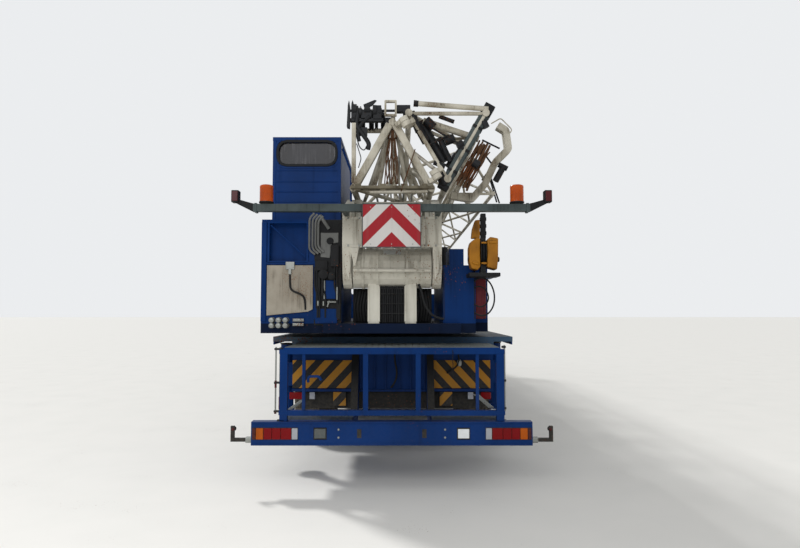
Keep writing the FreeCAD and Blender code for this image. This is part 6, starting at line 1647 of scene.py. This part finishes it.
@dataclass
class RearEnd:
    """Rear bumper, its lamps, the guard frame and the panels behind it."""

    rear: float = -6.91
    guard: float = -6.88

    def build(self) -> None:
        """Publish the rear end's pieces and dress its nodes."""
        dress(FRAME_BLUE, "rear_bumper", "rear_guard")
        dress(BLACK_TRIM, "marker_arms")
        self.lamps()
        self.bumper()
        self.guard_rods()
        self.grating()
        self.housing_face()

    def lamps(self) -> None:
        """Publish the lenses of the tail lamps and the two square lamps, each in its dark tray."""
        low, high, front = 0.498, 0.606, self.rear - 0.013
        trays = []
        groups = {RED_LENS: [], AMBER_LENS: [], DARK_LENS: [], WHITE_LENS: [], CLEAR_LENS: [], DIM_LENS: []}
        stops = ((0.918, 0.976, WHITE_LENS), (0.980, 1.082, RED_LENS), (1.085, 1.168, RED_LENS),
                 (1.171, 1.250, RED_LENS), (1.254, 1.325, AMBER_LENS), (1.329, 1.362, DARK_LENS))
        for side in SIDES.values():
            trays.append(box((0.915 * side, self.rear - 0.003, 0.493), (1.365 * side, self.rear + 0.012, 0.611)))
            trays.append(box((0.637 * side, self.rear - 0.003, 0.497), (0.763 * side, self.rear + 0.012, 0.607)))
            for inner, outer, finish in stops:
                groups[finish].append(box((inner * side, front, low), (outer * side, self.rear, high)))
        groups[DIM_LENS].append(box((-0.755, front, 0.508), (-0.645, self.rear, 0.598)))
        groups[CLEAR_LENS].append(box((0.645, front, 0.508), (0.755, self.rear, 0.598)))
        for side in SIDES.values():
            trays.append(box((0.885 * side, 6.716, 0.473), (1.175 * side, 6.735, 0.587)))
            for centre in (0.957, 1.103):
                groups[CLEAR_LENS].append(lathe([(6.735, 0.052), (6.742, 0.048), (6.7445, 0.03)],
                                                (centre * side, 0, 0.53), "y", 28))
        Piece("lamp_trays", "carrier", BLACK_TRIM, trays, bevel=0.003, replaces=("lamps",)).publish()
        for finish, parts in groups.items():
            Piece(finish.name.replace(" ", "_"), "carrier", finish, parts, bevel=0.005).publish()

    def bumper(self) -> None:
        """Publish the bumper's folded lips, bolts, slots drawn as black bars of painted shade, the rubber foot and the
        arms' lamps.
        """
        lips = [box((-1.372, self.rear - 0.008, 0.650), (1.372, self.rear + 0.01, 0.664)),
                box((-1.372, self.rear - 0.008, 0.439), (1.372, self.rear + 0.01, 0.452))]
        Piece("bumper_lips", "carrier", FRAME_BLUE, lips, bevel=0.003).publish()
        heads = [(x * side, self.rear, z) for side in SIDES.values() for x in (0.52,) for z in (0.515, 0.592)]
        Piece("bumper_bolts", "carrier", PALE_STEEL, [bolts(heads, "y", 0.011, -0.008)]).publish()
        # Black bars standing just out of the face: painted shade inside the bumper's slots.
        slots = [rounded_bar([(0.318 * side, self.rear + 0.004, 0.51), (0.318 * side, self.rear + 0.004, 0.595)],
                             0.012, 0.045, 0.004) for side in SIDES.values()]
        feet = [rounded_bar([(-1.13, self.rear + 0.05, 0.67), (-1.06, self.rear + 0.05, 0.67)], 0.02, 0.04, 0.006)]
        Piece("bumper_slots", "carrier", BLACK_TRIM, slots + feet).publish()
        cups, lenses = [], []
        for side in SIDES.values():
            x = 1.563 * side
            cups.append(lathe([(-0.024, 0.017), (-0.02, 0.023), (0.016, 0.0245), (0.018, 0.02)],
                              (x - 0.008 * side, -6.873, 0.592), "y", 20))
            lenses.append(lathe([(-0.028, 0.012), (-0.02, 0.019)], (x - 0.008 * side, -6.873, 0.592), "y", 20))
        Piece("arm_lamp_cups", "carrier", BLACK_TRIM, cups).publish()
        Piece("arm_lamp_lenses", "carrier", DARK_LENS, lenses).publish()
        joints = [rounded_bar([(1.376 * side, -6.873, 0.487), (1.43 * side, -6.873, 0.487)], 0.055, 0.06, 0.01)
                  for side in SIDES.values()]
        Piece("arm_joints", "carrier", PALE_STEEL, joints).publish()

    def guard_rods(self) -> None:
        """Publish the thin rods beside the guard with their clamps, and the hanging chain."""
        rods = struts([(-1.15, self.guard + 0.02, 0.735), (-1.108, self.guard + 0.02, 0.735)],
                      [(-1.15, self.guard + 0.02, 1.39), (-1.108, self.guard + 0.02, 1.39)], 0.008, 10)
        right = struts([(1.118, self.guard + 0.03, 0.76)], [(1.118, self.guard + 0.03, 1.41)], 0.009, 10)
        Piece("guard_rods", "carrier", PALE_STEEL, [rods, right]).publish()
        sleeves = struts([(-1.15, self.guard + 0.02, 0.99), (-1.108, self.guard + 0.02, 0.78),
                          (-1.15, self.guard + 0.02, 0.735)],
                         [(-1.15, self.guard + 0.02, 1.06), (-1.108, self.guard + 0.02, 0.90),
                          (-1.15, self.guard + 0.02, 0.76)], 0.011, 10)
        Piece("guard_rod_sleeves", "carrier", OXIDE, [sleeves]).publish()
        clamps = [box((-1.165, self.guard + 0.005, z), (-1.085, self.guard + 0.04, z + 0.02)) for z in (0.75, 1.03, 1.36)]
        clamps += [box((1.09, self.guard + 0.01, z), (1.13, self.guard + 0.045, z + 0.022)) for z in (0.78, 1.05, 1.38)]
        Piece("guard_clamps", "carrier", DARK_STEEL, clamps, bevel=0.003).publish()
        link = carried(bent([(0.0, 0.0, -0.012), (0.007, 0.0, 0.0), (0.0, 0.0, 0.012), (-0.007, 0.0, 0.0)], 0.006)[:-1],
                       circle(0.0022, 6), True)
        links = [(link if number % 2 else link.turned("z", math.pi / 2, (0, 0, 0))).moved(
            (0.60 + 0.003 * math.sin(number), self.guard - 0.006, 1.352 - 0.018 * number)) for number in range(14)]
        Piece("guard_chain", "carrier", DARK_STEEL, links).publish()
        welds = []
        for side in SIDES.values():
            for z in (0.745, 1.345):
                for x in (0.26, 1.07):
                    welds.append(box((x * side - 0.045, self.guard - 0.003, z - 0.02), (x * side + 0.045, self.guard, z + 0.02)))
        Piece("guard_joints", "carrier", FRAME_BLUE, welds, bevel=0.0015).publish()
        posts = [box((x - 0.016, self.guard + 0.01, 0.77), (x + 0.016, self.guard + 0.045, 1.33)) for x in (-0.872, 0.845)]
        hook = tube([(-0.83, self.guard + 0.03, 1.04), (-0.83, self.guard + 0.03, 1.10), (-0.72, self.guard + 0.03, 1.10),
                     (-0.70, self.guard + 0.03, 1.06)], 0.014, 10, 0.03)
        Piece("guard_thin_posts", "carrier", NAVY, [*posts, hook], bevel=0.003).publish()

    def grating(self) -> None:
        """Publish the bars of the walkway grating and the ribbed platform plates."""
        levels = np.arange(-6.86, -6.16, 0.032)
        bars = struts([(-1.06, y, 1.388) for y in levels], [(1.06, y, 1.388) for y in levels], 0.0045, 4)
        cross = np.arange(-1.05, 1.06, 0.07)
        twisted = struts([(x, -6.875, 1.389) for x in cross], [(x, -6.155, 1.389) for x in cross], 0.004, 4)
        Piece("guard_grating", "carrier", GRATING, [bars, twisted]).publish()
        steps = []
        for side in SIDES.values():
            for y in np.arange(-6.80, -6.35, 0.03):
                steps.append(box((0.40 * side, y, 0.664), (1.09 * side, y + 0.010, 0.670)))
        Piece("platform_ribs", "carrier", DECK_PLATE, steps).publish()

    def housing_face(self) -> None:
        """Publish panels, hazard boards, lamps, ribs and hoses on the rear housing's face."""
        face = -6.1
        panels = [box((-1.114, face - 0.012, 0.86), (-0.42, face, 1.305)), box((0.39, face - 0.012, 0.86), (1.084, face, 1.305))]
        panels += [box((-1.114, face - 0.05, 0.858), (-0.42, face - 0.02, 0.885)), box((0.39, face - 0.05, 0.858), (1.084, face - 0.02, 0.885))]
        Piece("rear_panels", "carrier", NAVY, panels, bevel=0.004).publish()
        tray = box((-1.03, face + 0.02, 0.665), (1.03, face + 0.05, 0.86))
        slopes = [plate([(-6.338, 0.668), (-6.106, 1.36), (-6.10, 1.36), (-6.33, 0.668)], "yz",
                        *sorted((0.377 * side, 0.453 * side))) for side in SIDES.values()]
        Piece("housing_undertray", "carrier", BLACK_TRIM, [tray, *slopes]).publish()
        Piece("hazard_board_left", "carrier", HAZARD_LEFT,
              [box((-1.114, face - 0.03, 0.892), (-0.435, face - 0.013, 1.20))], bevel=0.002).publish()
        Piece("hazard_board_right", "carrier", HAZARD_RIGHT,
              [box((0.40, face - 0.03, 0.892), (1.084, face - 0.013, 1.20))], bevel=0.002).publish()
        low = []
        for side in SIDES.values():
            low.append(box((0.52 * side, face - 0.03, 0.70), (0.66 * side, face - 0.005, 0.85)))
        Piece("hazard_feet", "carrier", HAZARD_LEFT, low, bevel=0.002).publish()
        reds = [box((-1.14, face - 0.06, 0.775), (-1.0, face - 0.02, 0.85)), box((0.973, face - 0.06, 0.775), (1.084, face - 0.02, 0.85))]
        Piece("housing_lamps", "carrier", RED_LENS, reds, bevel=0.006).publish()
        pale = [box((-0.92, face - 0.055, 0.775), (-0.86, face - 0.02, 0.85)), box((0.83, face - 0.055, 0.775), (0.89, face - 0.02, 0.85))]
        Piece("housing_reflectors", "carrier", WHITE_LENS, pale, bevel=0.004).publish()
        legs = [plate([(-1.12, 0.70), (-0.98, 0.80), (-0.93, 0.80), (-1.07, 0.70)], "xz", face - 0.3, face - 0.27),
                plate([(0.86, 0.86), (0.92, 0.86), (1.08, 0.72), (1.02, 0.72)], "xz", face - 0.3, face - 0.27)]
        Piece("housing_stays", "carrier", PALE_STEEL, legs, bevel=0.003).publish()
        ribs = [box((x - 0.006, face - 0.03, 0.88), (x + 0.006, face, 1.30)) for x in (-0.36, -0.3, -0.2, -0.08, 0.08, 0.2, 0.3, 0.35)]
        ribs += [box((-0.36, face - 0.035, 0.855), (0.36, face - 0.004, 0.875)), box((-0.36, face - 0.02, 1.29), (0.36, face, 1.31))]
        Piece("housing_ribs", "carrier", NAVY, ribs, bevel=0.002).publish()
        hose("housing_hose_one", "carrier", RUBBER,
             [(0.02, -6.16, 1.30), (0.02, -6.17, 1.20), (0.05, -6.18, 1.08), (0.03, -6.17, 0.96), (-0.02, -6.13, 0.90)],
             0.02)
        hose("housing_hose_two", "carrier", RUBBER,
             [(0.72, -6.17, 1.34), (0.72, -6.18, 1.27), (0.735, -6.19, 1.2), (0.70, -6.18, 1.12), (0.60, -6.14, 1.06)],
             0.018)
        valve = lathe([(0.0, 0.02), (0.02, 0.026), (0.05, 0.026), (0.07, 0.015)], (0.735, -6.17, 1.14), "z", 18)
        Piece("housing_valve", "carrier", PALE_STEEL, [valve]).publish()


@dataclass
class DriverCab:
    """The carrier's low cab: glazing rubber, door windows, wipers, mirrors, grille, steps and handles."""

    half: float = 1.25
    rear: float = 4.88
    nose: float = 6.62
    top: float = 1.98

    def build(self) -> None:
        """Publish the cab's pieces and dress its nodes."""
        dress(NAVY, "driver_cab", "cab_door_left", "cab_door_right")
        dress(PANE, "cab_glass")
        dress(SEAT_CLOTH, "cab_interior")
        dress(FRAME_BLUE, "front_bumper")
        self.doors()
        self.front()
        self.mirrors()
        self.roof()

    def doors(self) -> None:
        """Publish the door panes, gaskets, handles and steps."""
        for name, side in SIDES.items():
            x = 1.232 * side
            pane = box((x - 0.003, 5.27, 1.262), (x + 0.003, 6.03, 1.738))
            Piece(f"door_pane_{name}", f"cab_door_{name}", PANE, [pane]).publish()
            gasket = hollow_frame((5.65, 1.5), (0.80, 0.512), 0.05, 0.028, "yz",
                                  *sorted((1.222 * side, 1.2535 * side)))
            Piece(f"door_gasket_{name}", f"cab_door_{name}", RUBBER, [gasket]).publish()
            grip = tube([(1.25 * side, 5.2, 1.16), (1.258 * side, 5.2, 1.16), (1.258 * side, 5.34, 1.16),
                         (1.25 * side, 5.34, 1.16)], 0.008, 8)
            Piece(f"door_handle_{name}", f"cab_door_{name}", BLACK_TRIM, [grip]).publish()
            step = [box((1.0 * side, 5.3, 0.50), (1.24 * side, 5.8, 0.53)), box((1.06 * side, 5.32, 0.52), (1.08 * side, 5.36, 0.60)),
                    box((1.06 * side, 5.74, 0.52), (1.08 * side, 5.78, 0.60))]
            Piece(f"cab_step_{name}", "carrier", GRATING, step, bevel=0.003).publish()

    def slope(self, level: float, out: float) -> float:
        """Return the sloping front's place along Y at a level."""
        return 6.62 + (level - 1.10) * (6.43 - 6.62) / (1.90 - 1.10) + out

    def front(self) -> None:
        """Publish windscreen rubber, wipers, grille slats, turn lamps and bumper details."""
        low, high = 1.15, 1.85
        path = [(-1.12, self.slope(low, 0.0), low), (1.12, self.slope(low, 0.0), low),
                (1.12, self.slope(high, 0.0), high), (-1.12, self.slope(high, 0.0), high)]
        bars = [rounded_bar([path[number], path[(number + 1) % 4]], 0.03, 0.045, 0.008) for number in range(4)]
        Piece("screen_rubber", "carrier", RUBBER, bars).publish()
        wipers = []
        for x in (-0.75, 0.15, 0.55):
            foot = (x, self.slope(1.12, 0.015), 1.12)
            tip = (x + 0.42, self.slope(1.45, 0.02), 1.45)
            wipers.append(struts([foot], [tip], 0.006, 8))
            wipers.append(struts([(tip[0] - 0.08, self.slope(1.33, 0.012), 1.33)],
                                 [(tip[0] + 0.06, self.slope(1.62, 0.012), 1.62)], 0.007, 6))
        Piece("wipers", "carrier", BLACK_TRIM, wipers).publish()
        slats = [rounded_bar([(-0.62, 6.59 + 0.004 * number, 0.72 + 0.045 * number),
                              (0.62, 6.59 + 0.004 * number, 0.72 + 0.045 * number)], 0.016, 0.03, 0.004)
                 for number in range(8)]
        Piece("nose_grille", "carrier", BLACK_TRIM, slats).publish()
        nets = [rounded_bar([(-1.22, 6.722, z), (1.22, 6.722, z)], 0.014, 0.012, 0.004) for z in (0.452, 0.612)]
        Piece("front_bumper_ribs", "carrier", FRAME_BLUE, nets).publish()
        bulbs = [lathe([(0.0, 0.035), (0.012, 0.034), (0.02, 0.02)], (1.16 * side, 6.62 - 0.02, 0.9), "y", 20)
                 for side in SIDES.values()]
        Piece("front_turn_lamps", "carrier", AMBER_LENS, bulbs).publish()

    def mirrors(self) -> None:
        """Publish the mirrors on their bent arms, inside the carrier's width."""
        heads, arms = [], []
        for side in SIDES.values():
            x = 1.40 * side
            arms.append(tube([(1.24 * side, 6.38, 1.80), (x, 6.50, 1.84), (x, 6.50, 1.36), (1.245 * side, 6.42, 1.30)],
                             0.011, 10, 0.05))
            heads.append(rounded_bar([(x, 6.49, 1.44), (x, 6.49, 1.76)], 0.05, 0.17, 0.02))
        Piece("mirror_arms", "carrier", BLACK_TRIM, arms).publish()
        Piece("mirror_heads", "carrier", BLACK_TRIM, heads).publish()

    def roof(self) -> None:
        """Publish the roof's beads and vent."""
        beads = [rounded_bar([(x, 5.0, 1.981), (x, 6.25, 1.981)], 0.012, 0.03, 0.004) for x in (-0.9, -0.45, 0.45, 0.9)]
        Piece("roof_beads", "carrier", NAVY, beads).publish()
        vent = rounded_bar([(-0.2, 5.7, 1.99), (0.2, 5.7, 1.99)], 0.03, 0.35, 0.01)
        Piece("roof_vent", "carrier", BLACK_TRIM, [vent]).publish()


@dataclass
class Deck:
    """Deck, lockers, mudguards, tank straps, hood, exhaust and running gear."""

    def build(self) -> None:
        """Publish the deck's pieces and dress its nodes."""
        dress(DECK_PLATE, "deck")
        dress(NAVY, "side_lockers", "engine_hood")
        dress(FRAME_BLUE, "chassis_frame")
        dress(CHASSIS_BLACK, "axles", *[f"knuckle_{axle}_{name}" for axle in ("one", "two", "four") for name in SIDES])
        dress(ENGINE, "engine_block")
        for place in ("front", "rear"):
            for name in SIDES:
                dress(FRAME_BLUE, f"outrigger_beam_{place}_{name}")
                dress(BRIGHT_ROD, f"jack_{place}_{name}")
        self.edges()
        self.mudguards()
        self.lockers()
        self.hood()
        self.running_gear()
        self.rest()
        self.outriggers()

    def edges(self) -> None:
        """Publish the deck's folded edge and the ladders with their rungs."""
        lips = []
        for side in SIDES.values():
            lips.append(box((1.325 * side, -6.09, 1.372), (1.34 * side, 4.59, 1.408)))
        Piece("deck_lips", "carrier", FRAME_BLUE, lips, bevel=0.003).publish()
        ladders = []
        for side in SIDES.values():
            x = 1.325 * side
            for y in (1.35, 1.62):
                ladders.append(struts([(x, y, 0.62)], [(x, y, 1.37)], 0.014, 10))
            ladders.append(struts([(x, 1.35, z) for z in (0.66, 0.86, 1.06, 1.26)],
                                  [(x, 1.62, z) for z in (0.66, 0.86, 1.06, 1.26)], 0.012, 10))
        Piece("deck_ladders", "carrier", GRATING, ladders).publish()

    def mudguards(self) -> None:
        """Publish curved rubber mudguards over every wheel, with a rolled edge and a stay."""
        guards, stays = [], []
        for y, reach, first, last in ((4.05, 0.88, 0.62, 2.52), (2.40, 0.86, 0.5, 2.64),
                                      (-2.35, 0.725, 0.7, 2.45), (-4.00, 0.86, 0.5, 2.64)):
            angle = np.linspace(first, last, 24)
            for side in SIDES.values():
                path = np.stack([np.full(24, 1.20 * side), y + reach * np.cos(angle), 0.65 + 0.725 * np.sin(angle)], 1)
                guards.append(carried(path, np.array([[-0.13, -0.006], [0.13, -0.006], [0.13, 0.006], [-0.13, 0.006]])))
                guards.append(carried(path + [0.128 * side, 0, 0], circle(0.011, 8)))
                stays.append(struts([(0.62 * side, y, 1.36)], [(1.2 * side, y, 1.378)], 0.016, 8))
        Piece("mudguards", "carrier", RUBBER, guards).publish()
        Piece("mudguard_stays", "carrier", CHASSIS_BLACK, stays).publish()

    def lockers(self) -> None:
        """Publish locker door seams, catches and the tank's straps and cap."""
        seams, catches = [], []
        for side, spans in ((-1.0, ((-1.6, -0.55), (-0.5, 0.55))), (1.0, ((-1.6, -0.55),))):
            x = 1.33 * side
            for rear, front in spans:
                seams.append(hollow_frame(((rear + front) / 2, 0.98), (front - rear - 0.06, 0.76), 0.02, 0.008, "yz",
                                          *sorted((x - 0.001 * side, x + 0.003 * side))))
                for y in (rear + 0.25, front - 0.25):
                    catches.append(box((x, y - 0.03, 1.27), (x + 0.014 * side, y + 0.03, 1.31)))
        for side in SIDES.values():
            seams.append(hollow_frame((-5.13, 1.1), (0.58, 0.52), 0.02, 0.008, "yz",
                                      *sorted((1.099 * side, 1.103 * side))))
        Piece("locker_seams", "carrier", BLACK_TRIM, seams).publish()
        Piece("locker_catches", "carrier", PALE_STEEL, catches, bevel=0.003).publish()
        straps = []
        for y in (-0.3, 0.33):
            ring = lathe([(y - 0.03, 0.318), (y - 0.03, 0.336), (y + 0.03, 0.336), (y + 0.03, 0.318)],
                         (0.88, 0, 0.93), "y", 48, closed=True)
            straps.append(ring)
        cap = lathe([(0.30, 0.05), (0.345, 0.05), (0.352, 0.04)], (0.88, 0.0, 0.93), "z", 20)
        Piece("tank_straps", "carrier", PALE_STEEL, [*straps, cap.turned("y", 0.9, (0.88, 0, 0.93))]).publish()

    def hood(self) -> None:
        """Publish the hood's seams and rails, and the exhaust with its silencer."""
        seams = [box((-0.621, y, 1.48), (0.621, y + 0.008, 1.50)) for y in (0.7, 1.3)]
        for side in SIDES.values():
            seams.append(box((0.617 * side, 1.02, 1.49), (0.6225 * side, 1.028, 1.80)))
        Piece("hood_seams", "carrier", BLACK_TRIM, seams).publish()
        rails = [tube([(x, 0.35, 1.90), (x, 0.35, 1.935), (x, 1.7, 1.935), (x, 1.7, 1.90)], 0.012, 8, 0.02) for x in (-0.3, 0.3)]
        Piece("hood_rails", "carrier", FRAME_BLUE, rails).publish()
        can = lathe([(0.10, 0.06), (0.12, 0.13), (0.92, 0.13), (0.94, 0.06)], (0.95, 0.3, 1.60), "y", 32)
        pipe = tube([(0.62, 0.75, 1.62), (0.75, 0.75, 1.64), (0.95, 0.75, 1.66)], 0.04, 14, 0.04)
        stack = tube([(0.95, 1.2, 1.6), (0.95, 1.36, 1.6), (0.95, 1.38, 1.95)], 0.045, 16, 0.07)
        Piece("exhaust_silencer", "carrier", DARK_STEEL, [can, pipe, stack]).publish()

    def running_gear(self) -> None:
        """Publish drive shafts, air tanks, brake chambers and steering rods below the frame."""
        shafts, cans = [], []
        for low, high in ((-4.0, -2.35), (-2.35, 2.4), (2.4, 4.05)):
            shafts.append(struts([(0, low + 0.2, 0.66)], [(0, high - 0.2, 0.66)], 0.055, 16))
        for y in (-4.0, -2.35, 2.4, 4.05):
            shafts.append(lathe([(-0.06, 0.14), (0.06, 0.14)], (0, y, 0.66), "y", 24))
            for side in SIDES.values():
                cans.append(lathe([(0.0, 0.03), (0.01, 0.085), (0.13, 0.085), (0.15, 0.06)], (0.48 * side, y - 0.13, 0.80), "y", 22))
                shafts.append(struts([(0.2 * side, y + 0.16, 0.60)], [(0.78 * side, y + 0.16, 0.60)], 0.022, 10))
        Piece("drive_shafts", "carrier", CHASSIS_BLACK, shafts).publish()
        for y in (-1.2, 0.2):
            cans.append(lathe([(0.0, 0.06), (0.03, 0.12), (0.55, 0.12), (0.58, 0.06)], (0.25, y, 0.74), "y", 26))
        Piece("brake_cans", "carrier", CHASSIS_BLACK, cans).publish()

    def rest(self) -> None:
        """Publish the mast rest's rubber pads, which fill the gap under the mast's chords."""
        pads = [rounded_bar([(0.23 * side, 3.0, 2.099), (0.35 * side, 3.0, 2.099)], 0.036, 0.14, 0.008)
                for side in SIDES.values()]
        Piece("mast_rest_pads", "carrier", RUBBER, pads).publish()

    def outriggers(self) -> None:
        """Publish the jacks' collars and caps, and a ring on each jack's foot."""
        places = {"front": 1.05, "rear": -5.80}
        for place, y in places.items():
            for name, side in SIDES.items():
                middle = y + side * 0.15
                collar = lathe([(0.60, 0.078), (0.61, 0.088), (0.66, 0.088), (0.67, 0.077)], (1.205 * side, middle, 0), "z", 28)
                top = lathe([(1.36, 0.07), (1.38, 0.085), (1.385, 0.04)], (1.205 * side, middle, 0), "z", 24)
                Piece(f"jack_collar_{place}_{name}", f"outrigger_beam_{place}_{name}", FRAME_BLUE, [collar]).publish()
                Piece(f"jack_cap_{place}_{name}", f"outrigger_beam_{place}_{name}", DARK_STEEL, [top]).publish()
                foot = lathe([(0.431, 0.13), (0.46, 0.138), (0.475, 0.07), (0.49, 0.06)], (1.205 * side, middle, 0), "z", 28)
                Piece(f"jack_foot_{place}_{name}", f"jack_{place}_{name}", DARK_STEEL, [foot]).publish()


# Floor, light and camera


@dataclass
class Studio:
    """Plain floor and backdrop, soft light and the camera at the photograph's angle.

    Args:
        eye: the camera's place.
        pitch: degrees that it looks up.
        lens: focal length in mm on a 36 mm wide sensor.
    """

    eye: Point = (0.08, -12.85, 1.75)
    pitch: float = 3.5
    lens: float = 27.0

    def build(self) -> None:
        """Make floor, world, lamps and camera."""
        bpy.context.scene.view_settings.view_transform = "Standard"
        self.camera()
        self.floor()
        self.world()
        self.lamps()

    def camera(self) -> None:
        """Place the camera behind the crane."""
        data = bpy.data.cameras.new("camera")
        data.lens = self.lens
        data.sensor_width = 36.0
        data.sensor_fit = "HORIZONTAL"
        data.clip_end = 400.0
        item = bpy.data.objects.new("camera", data)
        item.location = self.eye
        item.rotation_euler = (math.radians(90 + self.pitch), 0.0, 0.0)
        bpy.context.scene.collection.objects.link(item)
        bpy.context.scene.camera = item

    def floor(self) -> None:
        """Lay a pale floor that the camera, gloss and glass see as plain near-white."""
        mesh = bpy.data.meshes.new("floor")
        reach = 150.0
        mesh.from_pydata([(-reach, -reach, 0), (reach, -reach, 0), (reach, reach, 0), (-reach, reach, 0)], [],
                         [(0, 1, 2, 3)])
        item = bpy.data.objects.new("floor", mesh)
        bpy.context.scene.collection.objects.link(item)
        mesh.materials.append(FLOOR.material())

    def world(self) -> None:
        """Set a pale sky of even light."""
        world = bpy.data.worlds.new("soft sky")
        bpy.context.scene.world = world
        world.use_nodes = True
        tree = Tree(world.node_tree)
        back = next(item for item in world.node_tree.nodes if item.type == "BACKGROUND")
        path = tree.add("LightPath").outputs
        seen = tree.math("MAXIMUM", path["Is Camera Ray"],
                         tree.math("MAXIMUM", path["Is Glossy Ray"], path["Is Transmission Ray"]))
        strength = tree.math("ADD", 0.62, tree.math("MULTIPLY", seen, 0.30))
        back.inputs["Color"].default_value = (*tint("f4f6f8"), 1.0)
        tree.tree.links.new(strength, back.inputs["Strength"])

    def lamps(self) -> None:
        """Hang a high sun from the front left, as in the photograph, and a soft fill from behind."""
        sun = bpy.data.lights.new("sun", "SUN")
        sun.energy = 2.0
        sun.angle = math.radians(6)
        item = bpy.data.objects.new("sun", sun)
        item.rotation_euler = (math.radians(-32), math.radians(-38), 0.0)
        bpy.context.scene.collection.objects.link(item)
        fill = bpy.data.lights.new("fill", "AREA")
        fill.energy = 380.0
        fill.shape = "RECTANGLE"
        fill.size, fill.size_y = 9.0, 5.0
        item = bpy.data.objects.new("fill", fill)
        item.location = (-3.0, -16.0, 6.5)
        item.rotation_euler = (math.radians(63), 0.0, math.radians(-8))
        bpy.context.scene.collection.objects.link(item)


def main() -> None:
    """Build every sub-assembly in order."""
    logging.basicConfig(level=logging.INFO, format="%(message)s")
    for part in (Studio(), OperatorCab(), UpperWorks(), RearEnd(), MastFoot(), LightBeam(), Jib(), Wheel(),
                 DriverCab(), Deck()):
        LOG.info("building %s", type(part).__name__)
        part.build()


if __name__ == "__main__":
    main()
